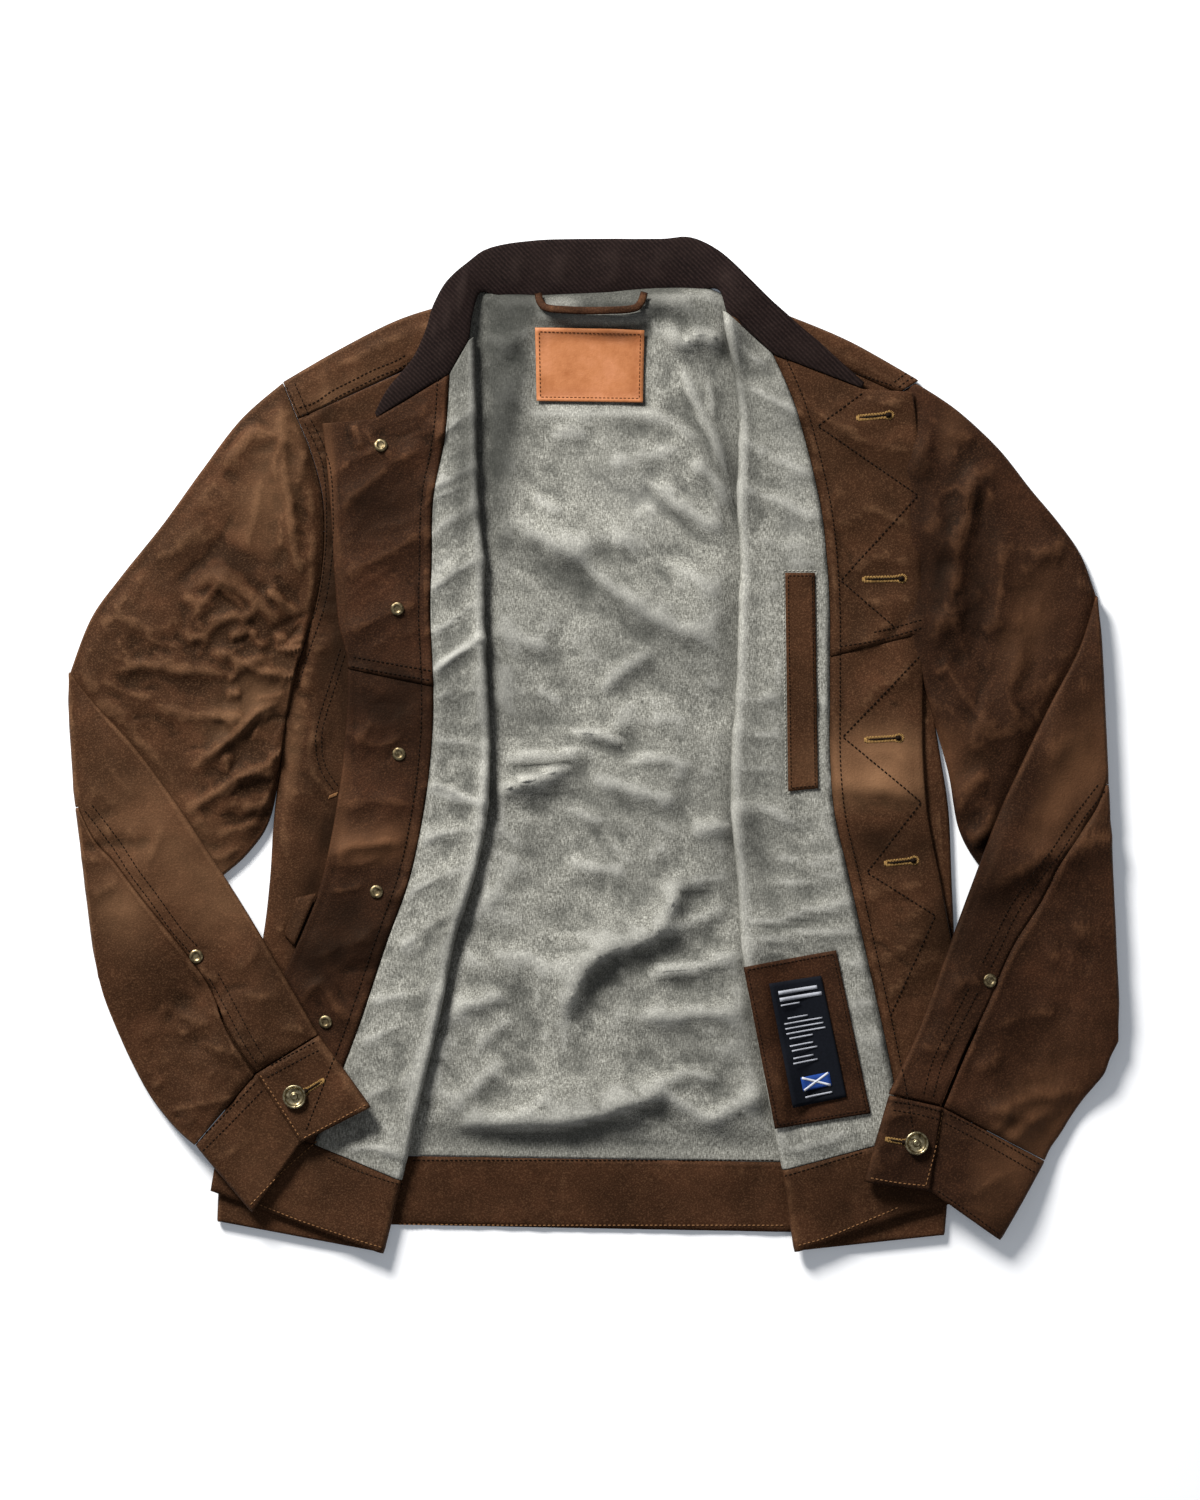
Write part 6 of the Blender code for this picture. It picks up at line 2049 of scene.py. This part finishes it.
# Round hardware: its sides, the places round its rim where the cloth's height is taken,
# how far these may differ from the middle, and how much they may lift the piece, in mm.
TURNED_SIDES = 48
SEAT_PROBES = 12
SEAT_STEP = 2.5
SEAT_RISE = 1.2


class Surface:
    """Finds the top of the cloth at a place."""

    ABOVE = 0.2  # metres, higher than every piece

    def __init__(self):
        self.trees = []

    def add(self, piece):
        """Adds a piece on which others may lie, and gives it back."""
        bpy.context.view_layer.update()
        graph = bpy.context.evaluated_depsgraph_get()
        self.trees.append(BVHTree.FromObject(piece, graph))
        return piece

    def drop(self, x, y):
        """The highest point and its normal, in mm, or None off the cloth."""
        best = None
        above = Vector((x * MM, y * MM, self.ABOVE))
        for tree in self.trees:
            place, normal, _face, _gap = tree.ray_cast(above, Vector((0, 0, -1)))
            if place is not None and (best is None or place.z > best[0].z):
                best = (place, normal if normal.z > 0 else -normal)
        if best is None:
            return None
        return np.array(best[0]) / MM, np.array(best[1])


TOP = Surface()


class Thread:
    """Stitches of one thread, gathered into one mesh."""

    SIDES = 5
    BODY = 0.3  # The rims of a stitch lie this share of its length from its middle,
    PROUD = 0.3  # and its middle lies this share of its radius above the cloth.
    PITCH = 3.1
    OUTLINE_PITCH = 2.7
    OUTLINE_LENGTH = 2.0

    def __init__(self, name, material, slot):
        self.name = name
        self.material = material
        self.slot = slot
        self.stitches = []

    def row(self, path, offsets=(0.0,), pitch=PITCH, length=2.2, radius=0.4, steps=6):
        """Even stitches on the cloth beside a smooth line of plan points.

        Each offset in mm is a row of its own, to the left of the way the line runs.
        """
        line = smooth_line(path, steps)
        way = unit(np.gradient(line, axis=0))
        left = np.stack([-way[:, 1], way[:, 0]], axis=-1)
        for offset in offsets:
            row = line + left * offset
            spans = np.linalg.norm(np.diff(row, axis=0), axis=1)
            along = np.concatenate([[0.0], np.cumsum(spans)])
            count = max(1, round(along[-1] / pitch))
            for middle in (np.arange(count) + 0.5) * along[-1] / count:
                before, here, after = (
                    np.array([np.interp(s, along, row[:, 0]), np.interp(s, along, row[:, 1])])
                    for s in (middle - 0.8, middle, middle + 0.8)
                )
                self.sew(here, after - before, length, radius)

    def outline(self, corners, inset, radius=0.34):
        """A row round a flat piece, this far in from its edges."""
        corners = np.array(corners, float)
        to_before = unit(np.roll(corners, 1, 0) - corners)
        to_after = unit(np.roll(corners, -1, 0) - corners)
        corners = corners + (to_before + to_after) * inset
        for start, end in zip(corners, np.roll(corners, -1, 0)):
            self.row([start, end], pitch=self.OUTLINE_PITCH, length=self.OUTLINE_LENGTH,
                     radius=radius)

    def sew(self, spot_mm, heading, length=2.2, radius=0.36):
        """One stitch on the cloth at a plan point, along a heading."""
        hit = TOP.drop(*spot_mm)
        if hit is None:
            return
        place, up = hit
        way = np.array([*heading, 0.0])
        way = unit(way - up * (way @ up))
        self.stitches.append((place + up * radius * self.PROUD, way, up, length, radius))

    def build(self):
        """All the stitches as one piece: spindles with two rims and two tips."""
        places, ways, ups, length, radius = map(np.array, zip(*self.stitches))
        across = np.cross(ups, ways)
        length, radius = length[:, None], radius[:, None]
        points = [places - ways * length / 2]
        for end in (-self.BODY, self.BODY):
            for k in range(self.SIDES):
                angle = 2 * math.pi * k / self.SIDES
                rim = across * math.cos(angle) + ups * math.sin(angle)
                points.append(places + ways * length * end + rim * radius)
        points.append(places + ways * length / 2)
        points = np.stack(points, axis=1)
        n = self.SIDES
        faces = []
        for k in range(n):
            after = (k + 1) % n
            faces.append((0, 1 + after, 1 + k))
            faces.append((1 + k, 1 + after, 1 + n + after))
            faces.append((1 + k, 1 + n + after, 1 + n + k))
            faces.append((2 * n + 1, 1 + n + k, 1 + n + after))
        faces = np.array(faces)[None] + (np.arange(len(points)) * (2 * n + 2))[:, None, None]
        return make_piece(self.name, points.reshape(-1, 3), faces.reshape(-1, 3), self.material)


def turned(name, profile, place, up, material):
    """A round piece from a profile of radius and height, set square to the cloth."""
    side = unit(np.cross(up, np.array([0.0, 1.0, 0.1])))
    other = np.cross(up, side)
    angle = 2 * math.pi * np.arange(TURNED_SIDES) / TURNED_SIDES
    rim = side[None] * np.cos(angle)[:, None] + other[None] * np.sin(angle)[:, None]
    points = np.array([place + rim * radius + up * height for radius, height in rounded(profile)])
    index = np.arange(points[..., 0].size).reshape(points.shape[:2])
    a, b = index[:-1], index[1:]
    faces = np.stack([a, np.roll(a, -1, 1), np.roll(b, -1, 1), b], axis=-1).reshape(-1, 4)
    piece = make_piece(name, points.reshape(-1, 3), faces, material)
    build = bmesh.new()
    build.from_mesh(piece.data)
    bmesh.ops.remove_doubles(build, verts=build.verts, dist=1e-6)
    bmesh.ops.recalc_face_normals(build, faces=build.faces)
    build.to_mesh(piece.data)
    build.free()
    return piece


def rounded(profile):
    """A profile with more points, smooth between its ends."""
    points = smooth_line(profile, 4)
    points[:, 0] = np.maximum(points[:, 0], 0.0)
    return points


def seat(x, y, radius):
    """The place and direction of a round piece of this radius on the cloth."""
    centre, normal = TOP.drop(x, y)
    around = []
    for k in range(SEAT_PROBES):
        angle = 2 * math.pi * k / SEAT_PROBES
        hit = TOP.drop(x + radius * math.cos(angle), y + radius * math.sin(angle))
        if hit is not None and abs(hit[0][2] - centre[2]) < SEAT_STEP:
            around.append(hit)
    normal = unit(sum((tilt for _place, tilt in around), normal))
    rise = max([0.0] + [float((place - centre) @ normal) for place, _tilt in around])
    return centre + normal * (min(rise, SEAT_RISE) + 0.05), normal


# ---------------------------------------------------------------- what is put together


# Profiles of the hardware: radius and height from the middle of the underside to the top.
TACK_PROFILE = ((0, 0), (3.8, 0), (4.35, 0.3), (4.4, 0.8), (3.8, 1.25), (2.9, 1.45), (2.3, 1.3),
                (1.9, 0.9), (1.0, 0.75), (0, 0.7))
RIVET_PROFILE = ((0, 0), (4.2, 0), (4.6, 0.25), (4.5, 0.75), (3.8, 1.15), (2.9, 1.2), (2.3, 0.85),
                 (1.7, 0.55), (0, 0.5))
BUTTON_PROFILE = ((0, 0), (2.9, 0), (3.1, 0.8), (6.4, 1.0), (7.6, 1.5), (8.0, 2.4), (7.7, 3.3),
                  (7.1, 3.6), (6.4, 3.2), (5.6, 1.9), (4.0, 1.3), (2.6, 1.5), (2.1, 2.6),
                  (1.3, 3.0), (0, 3.0))
TACKS = ((-143, 201), (-132, 92), (-131, -5), (-146, -97), (-180, -184))
CUFF_BUTTONS = {"right": (-200, -233), "left": (214, -264)}
VENT_RIVETS = {"right": (-266, -140), "left": (263, -156)}


def put(piece, node):
    """Sets a piece on the body in its node's place, and hides that node's part."""
    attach(piece, "root")
    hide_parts(node)
    return piece


def cloth(node, grid, material, slot, held, rests_on=(), **form):
    """A sheet of cloth in its node's place."""
    return put(shell(f"jacket_{node}", grid, material, **form), node)


def hardware(name, node, profile, middle, radius, material):
    """A round metal piece in its node's place, seated on the cloth."""
    place, up = seat(*middle, radius)
    put(turned(f"jacket_{name}", profile, place, up, material), node)


def extra(piece):
    """A piece that has no node of its own."""
    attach(piece, "root")
    return piece


WAXED = waxed_look("waxed_cotton", "160b05", "27170d", "3d2618", "563725", "866347")
# A darker copy of the waxed cotton for parts that lie in shade: painted shade.
WAXED_SHADED = waxed_look("waxed_cotton_shaded", "100704", "1d100a", "2f1c12", "44291b", "745037")
LINING = lining_look()
COLLAR_CLOTH = collar_look()
LEATHER = leather_look()
METAL = metal_look("antique_metal", "a89a78", "7c6e52", "3b3022", 0.36)
BRIGHT_METAL = metal_look("rubbed_metal", "c4b898", "94886a", "4a3f2c", 0.3)
LABEL = label_look("navy_label", "080a0f", "14171f")

# The back first, since the fronts lie on it.
back_shell = cloth("back_shell", back_shell_grid(), WAXED_SHADED, "waxed_cotton", "laid")
grid = back_lining_grid()
GROUND.lay(grid, WALL)
back_lining = cloth("back_lining", grid, LINING, "lining_cloth", "laid", [back_shell],
                    near=6, far=24, toning=LINING_PAINTED_LIGHT)

sleeves = (
    Sleeve("right", FRONT_RIGHT, UPPER_RIGHT, ELBOW_RIGHT, FOREARM_RIGHT, CUFF_EDGE_RIGHT),
    Sleeve("left", FRONT_LEFT, UPPER_LEFT, ELBOW_LEFT, FOREARM_LEFT, CUFF_EDGE_LEFT),
)
fronts = (
    Front("right", FRONT_RIGHT, RIGHT_FRONT_CREASES, LOW_RIGHT_CREASES),
    Front("left", FRONT_LEFT, LEFT_FRONT_CREASES, LOW_LEFT_CREASES),
)
for front in fronts:
    side = front.name
    outer_grid = front.shell_grid()
    grid = front.lining_grid()
    outer = TOP.add(cloth(f"front_{side}_shell", outer_grid, WAXED, "waxed_cotton", "folded",
                          [back_lining], toning=LOW_SHELL_PAINTED_SHADE))
    GROUND.lay(outer_grid, WALL)
    TOP.add(cloth(f"front_{side}_lining", grid, LINING, "lining_cloth", "folded",
                  [outer, back_lining], near=5, far=11, toning=STRIP_PAINTED_LIGHT))
    GROUND.lay(grid, WALL)
    # The wearer's right facing is given the darker copy: painted shade.
    look = WAXED_SHADED if side == "right" else WAXED
    for part, grid in zip(("upper", "lower"), front.facing_pieces()):
        TOP.add(cloth(f"front_{side}_facing_{part}", grid, look, "waxed_cotton", "laid", [outer]))
        GROUND.lay(grid, WALL)
    grid = yoke_grid(side)
    TOP.add(cloth(f"yoke_{side}", grid, WAXED, "waxed_cotton", "folded"))
    GROUND.lay(grid, WALL)
TOP.add(back_lining)

grid = waistband_grid()
GROUND.lay(grid, DOUBLE_WALL)
TOP.add(cloth("waistband", grid, WAXED, "waxed_cotton", "folded", wall=DOUBLE_WALL, rim=0.7))
TOP.add(cloth("collar", collar_grid(fronts), COLLAR_CLOTH, "collar_cloth", "folded",
              wall=2 * WALL))

for node, corners, wall, material, slot in (
    ("leather_patch", LEATHER_PATCH, 1.4, LEATHER, "tan_leather"),
    ("inner_pocket_welt", POCKET_WELT, 1.0, WAXED, "waxed_cotton"),
    ("label_patch", LABEL_PATCH, 1.0, WAXED_SHADED, "waxed_cotton"),
    ("woven_label", WOVEN_LABEL, 0.8, LABEL, "label_cloth"),
    ("hand_pocket_welt_right", HAND_WELT_RIGHT, 0.8, WAXED, "waxed_cotton"),
):
    grid = patch_grid(corners, wall)
    GROUND.lay(grid, wall)
    TOP.add(cloth(node, grid, material, slot, "laid", wall=wall, rim=0.6))
TOP.add(cloth("hanger_loop", loop_grid(), WAXED_SHADED, "waxed_cotton", "hung", [back_lining],
              wall=LOOP_WALL, rim=0.6))

# The arms: both upper sleeves are laid before the forearms come down on them.
for sleeve, folds in zip(sleeves, (UPPER_RIGHT_CREASES, UPPER_LEFT_CREASES)):
    sleeve.lay_upper(folds)
# The wearer's left arm is given the darker copy of the waxed cotton: painted shade.
for sleeve, folds, cuff_folds, look in zip(
    sleeves, (FORE_RIGHT_CREASES, FORE_LEFT_CREASES), (CUFF_RIGHT_CREASES, CUFF_LEFT_CREASES),
    (WAXED, WAXED_SHADED),
):
    side = sleeve.name
    arm = cloth(f"sleeve_{side}", sleeve.grid(folds), look, "waxed_cotton", "folded")
    cuff = cloth(f"cuff_{side}", cuff_grid(sleeve, cuff_folds), look, "waxed_cotton", "folded",
                 wall=CUFF_WALL, rim=0.6)
    TOP.add(arm)
    TOP.add(cuff)

for number, middle in enumerate(TACKS, 1):
    hardware(f"tack_{number}", f"tack_cap_{number}", TACK_PROFILE, middle, 4.4, METAL)
for side in ("right", "left"):
    hardware(f"rivet_{side}", f"vent_rivet_{side}", RIVET_PROFILE, VENT_RIVETS[side], 4.6, METAL)
    hardware(f"button_{side}", f"cuff_button_{side}", BUTTON_PROFILE, CUFF_BUTTONS[side], 7.0,
             BRIGHT_METAL)


# ---------------------------------------------------------------- sewing


def spots(*pixels):
    """Image pixels as plan points."""
    return np.array([spot(pixel) for pixel in pixels], float)


# A buttonhole: its width and the pitch of its stitches, the share of its length near the
# eye that is wider, the width and length of the painted shadow in its slit and eye, and how
# unevenly the stitches point. Each stitch then has a length and a radius.
HOLE_WIDTH = 2.7
HOLE_PITCH = 0.95
EYE_SHARE = 0.13
SLIT_SHARE = 0.92
SLIT_RADIUS = 0.75
EYE_STITCH = (4.0, 1.7)
EYE_IN = 1.2
UNEVEN = 0.25
SIDE_STITCH = (2.1, 0.38)
ROUND_STITCH = (1.8, 0.34)
ROUND_STEPS = 8
BAR_STITCH = (3.6, 0.36)
BARS_PITCH = 0.5


def buttonhole(eye, tail, width=HOLE_WIDTH):
    """A keyhole buttonhole from its eye to its tail, in image pixels."""
    eye, tail = spots(eye, tail)
    length = np.linalg.norm(tail - eye)
    way = (tail - eye) / length
    across = np.array([-way[1], way[0]])
    # Painted shadow along the slit and in the eye.
    slit.sew((eye + tail) / 2, way, length * SLIT_SHARE, SLIT_RADIUS)
    slit.sew(eye + way * EYE_IN, way, *EYE_STITCH)
    steps = round(length / HOLE_PITCH)
    for k in range(steps + 1):
        s = k / steps
        half = width * 0.5 + bell(s, EYE_SHARE)
        for side in (-1, 1):
            heading = across + way * UNEVEN * math.sin(3.1 * k + side)
            gold.sew(eye + way * length * s + across * side * half, heading, *SIDE_STITCH)
    for k in range(ROUND_STEPS + 1):
        angle = math.pi * (0.5 + k / ROUND_STEPS)
        turn = way * math.cos(angle) + across * math.sin(angle)
        gold.sew(eye + turn * width * 0.85, turn, *ROUND_STITCH)
    for k in range(4):
        gold.sew(tail + way * BARS_PITCH * k, across, *BAR_STITCH)


def thread(name, low, high, slot):
    """A thread of its own colours."""
    return Thread(f"jacket_thread_{name}", thread_look(f"{name}_thread", low, high), slot)


brown = thread("brown", "6a4a30", "8d6743", "waxed_cotton")
# A near-black copy of the brown thread for rows that sink into seams: painted shade.
dark = thread("dark", "0e0703", "1c1008", "waxed_cotton")
gold = thread("gold", "7a5c34", "a58450", "waxed_cotton")
tan = thread("tan", "4c2812", "6b3c20", "tan_leather")
grey = thread("grey", "8d8b82", "a9a79d", "lining_cloth")
# Dark spindles along each buttonhole's slit and in its eye: painted shadow of the openings.
slit = Thread("jacket_buttonhole_slits", dark.material, "waxed_cotton")

# Rows of stitches: the distances of the rows in mm to the left of the way the line runs,
# and the line in image pixels.
STITCH_ROWS = (
    # Along the yokes and armholes.
    (dark, (2.0, 7.4), (302, 419), (320, 413), (340, 400), (360, 390), (380, 380), (400, 372),
     (412, 365)),
    (dark, (2.0, 8.0), (284, 388), (291, 404), (298, 420)),
    (dark, (2.0, 6.7), (302, 424), (320, 465), (324, 520), (322, 560), (316, 600), (303, 640),
     (290, 680)),
    (dark, (2.0,), (852, 376), (870, 382), (891, 389)),
    (dark, (-2.0, -6.5), (919, 378), (908, 384), (899, 391)),
    # The laps over the cross seams and the chest panel.
    (dark, (0.0,), (838, 647), (880, 640), (921, 628)),
    (dark, (0.0,), (872, 633), (896, 627), (921, 620)),
    (dark, (0.0, 4.0), (341, 648), (330, 684), (319, 720), (316, 745), (321, 770), (334, 790)),
    # Sleeve seams and plackets.
    (dark, (2.2, 8.4), (84, 812), (110, 846), (130, 876), (150, 903), (172, 934), (190, 954)),
    (dark, (2.0, 8.6), (208, 978), (218, 996), (230, 1018), (244, 1044), (256, 1063)),
    (dark, (-2.2, -8.4), (1106, 792), (1080, 825), (1060, 855), (1040, 880), (1020, 910),
     (1000, 950), (991, 968)),
    (dark, (-2.0, -8.6), (978, 992), (962, 1024), (944, 1060), (934, 1096)),
    # Cuffs: light rows on the free edges, and along the seams dark ones, painted shade where the
    # rows sink.
    (brown, (0.0,), (262, 1073), (282, 1104), (301, 1134)),
    (brown, (0.0,), (305, 1136), (337, 1119), (368, 1102)),
    (dark, (0.0, -6.0), (264, 1068), (290, 1054), (317, 1040)),
    (dark, (0.0, -7.0), (197, 1142), (226, 1113), (257, 1081)),
    (brown, (2.0,), (254, 1205), (286, 1172), (320, 1142)),
    (brown, (-1.5,), (943, 1110), (936, 1146), (926, 1184)),
    (brown, (1.2,), (868, 1177), (896, 1182), (924, 1185)),
    (dark, (-1.6, -7.2), (892, 1097), (916, 1101), (940, 1107)),
    (dark, (-1.6, -8.0), (948, 1110), (990, 1132), (1040, 1161)),
    (dark, (1.6,), (934, 1190), (966, 1212), (996, 1234)),
    # The waistband's rows beside its seam and its hem.
    (dark, (0.0,), (404, 1184), (380, 1177), (352, 1167), (328, 1156)),
    (brown, (0.0,), (383, 1246), (350, 1236), (300, 1219), (260, 1203)),
    (dark, (0.0,), (412, 1160), (500, 1160), (600, 1160), (700, 1160), (774, 1160)),
    (brown, (0.0,), (398, 1224), (500, 1225), (600, 1225), (700, 1225), (784, 1225)),
    (dark, (0.0,), (783, 1175), (820, 1164), (862, 1151)),
    (brown, (0.0,), (797, 1244), (826, 1236), (860, 1222), (898, 1206)),
)
# The zigzag that holds the pleats of the wearer's left front, above and below the lap.
ZIGZAG = (
    ((862, 394), (817, 427), (917, 496), (840, 581), (893, 627)),
    ((919, 656), (842, 737), (920, 802), (866, 872), (934, 915), (889, 1016)),
)
# Buttonholes of the wearer's left front and of the cuffs: eye and tail.
FRONT_HOLES = (((889, 416), (858, 419)), ((902, 579), (864, 580)), ((899, 738), (866, 740)),
               ((914, 860), (886, 863)))
CUFF_HOLES = (((306, 1090), (324, 1079)), ((904, 1140), (886, 1137)))
CUFF_HOLE_WIDTH = 1.8
# The lap over the cross seam of the right facing, and the bar tack below the chest panel.
RIGHT_LAP = ((353, 657), (392, 664), (432, 671))
BAR_TACK = (330, 797)

for sewn_with, offsets, *path in STITCH_ROWS:
    sewn_with.row(spots(*path), offsets)
# One row on each facing beside the lining.
for front, offset in zip(fronts, (-8.0, 6.7)):
    dark.row(front.facing[4::12], (offset,), radius=0.46, steps=3)
dark.row(spots(*RIGHT_LAP), (0.0, -6.4), radius=0.5)
for corners in ZIGZAG:
    for start, end in zip(corners, corners[1:]):
        dark.row(spots(start, end), pitch=3.3, length=2.3, radius=0.55)
tan.outline(LEATHER_PATCH, 2.6)
dark.outline(LABEL_PATCH, 2.4)
grey.outline(POCKET_WELT, -1.3)
dark.outline(POCKET_WELT, 2.0, radius=0.32)
for eye, tail in FRONT_HOLES:
    buttonhole(eye, tail)
for eye, tail in CUFF_HOLES:
    buttonhole(eye, tail, CUFF_HOLE_WIDTH)
for k in range(7):
    brown.sew(spot((BAR_TACK[0] + 1.2 * k, BAR_TACK[1] - 0.5 * k)), (0.4, 1.0), 3.4, 0.4)

for sewn_with in (brown, dark, gold, tan, grey, slit):
    extra(sewn_with.build())


def on_label(u0, u1, v0, v1):
    """Corners of a rectangle given as shares of the woven label's width and length."""
    return [inside_corners(WOVEN_LABEL, u, v) for u, v in ((u0, v0), (u1, v0), (u1, v1), (u0, v1))]


def weave(name, corners, wall, material):
    """A thin figure woven on the label."""
    grid = patch_grid(corners, wall, WEAVE_STEP, WEAVE_AIR)
    extra(shell(f"jacket_label_{name}", grid, material, wall, 1.0))


WOVEN_PALE = label_look("woven_pale", "8f929a", "b9bcc4")
WOVEN_WHITE = label_look("woven_white", "b9bdc6", "dde0e6")
WOVEN_BLUE = label_look("woven_blue", "1a3573", "274a94")
# Bars and flag in shares of the label: from and to across it, from and to down it.
BARS = ((0.14, 0.88, 0.070, 0.100), (0.14, 0.94, 0.125, 0.155), (0.14, 0.50, 0.180, 0.192),
        (0.22, 0.60, 0.290, 0.302), (0.14, 0.86, 0.330, 0.342), (0.14, 0.86, 0.370, 0.382),
        (0.14, 0.88, 0.410, 0.422), (0.18, 0.62, 0.450, 0.462), (0.16, 0.60, 0.510, 0.522),
        (0.18, 0.66, 0.550, 0.562), (0.18, 0.56, 0.610, 0.622), (0.16, 0.62, 0.650, 0.662),
        (0.26, 0.76, 0.930, 0.944))
FLAG = (0.24, 0.78, 0.775, 0.885)
CROSS_HALF = 0.75
CROSS_INSET = 0.9
WEAVE_STEP = 1.4
WEAVE_AIR = 0.02
for number, bar in enumerate(BARS, 1):
    weave(f"bar_{number}", on_label(*bar), 0.14, WOVEN_PALE)
flag = on_label(*FLAG)
weave("flag", flag, 0.16, WOVEN_BLUE)
for number, (start, end) in enumerate(((flag[0], flag[2]), (flag[3], flag[1])), 1):
    way = unit(end - start)
    across = np.array([-way[1], way[0]]) * CROSS_HALF
    start = start + way * CROSS_INSET
    end = end - way * CROSS_INSET
    weave(f"cross_{number}", (start + across, end + across, end - across, start - across), 0.3,
          WOVEN_WHITE)


# ---------------------------------------------------------------- floor, light, camera


FLOOR_HALF = 8.0
CAMERA_HEIGHT = 3.5
SENSOR = 24.0


def add_floor():
    """A wide sheet of paper under the jacket."""
    mesh = bpy.data.meshes.new("floor")
    corners = [(x * FLOOR_HALF, y * FLOOR_HALF, 0) for x, y in ((-1, -1), (1, -1), (1, 1), (-1, 1))]
    mesh.from_pydata(corners, [], [(0, 1, 2, 3)])
    mesh.materials.append(floor_look())
    floor = bpy.data.objects.new("floor", mesh)
    bpy.context.scene.collection.objects.link(floor)


def add_light(name, place, size, power, colour):
    """A round lamp, in metres and watts, that faces the jacket."""
    light = bpy.data.lights.new(name, "AREA")
    light.shape = "DISK"
    light.size = size
    light.energy = power
    light.color = colour
    lamp = bpy.data.objects.new(name, light)
    lamp.location = place
    lamp.rotation_euler = (-Vector(place)).to_track_quat("-Z", "Y").to_euler()
    bpy.context.scene.collection.objects.link(lamp)


def add_camera():
    """Looks straight down; its frame is IMAGE_SIZE pixels of PIXEL mm on the floor."""
    camera = bpy.data.cameras.new("camera")
    camera.sensor_fit = "VERTICAL"
    camera.sensor_height = SENSOR
    camera.lens = SENSOR * CAMERA_HEIGHT / (IMAGE_SIZE[1] * PIXEL * MM)
    eye = bpy.data.objects.new("camera", camera)
    x, y = spot((IMAGE_SIZE[0] / 2, IMAGE_SIZE[1] / 2))
    eye.location = (x * MM, y * MM, CAMERA_HEIGHT)
    bpy.context.scene.collection.objects.link(eye)
    bpy.context.scene.camera = eye


add_floor()
add_light("key", (-1.5, 2.4, 1.8), 1.2, 238.0, (1.0, 0.985, 0.96))
add_light("fill", (1.6, -1.0, 2.6), 2.4, 8.0, (0.95, 0.97, 1.0))
world = bpy.data.worlds.new("studio")
world.use_nodes = True
background = world.node_tree.nodes["Background"]
background.inputs["Color"].default_value = (0.93, 0.95, 1.0, 1.0)
background.inputs["Strength"].default_value = 0.2
bpy.context.scene.world = world
bpy.context.scene.view_settings.view_transform = "Standard"
add_camera()
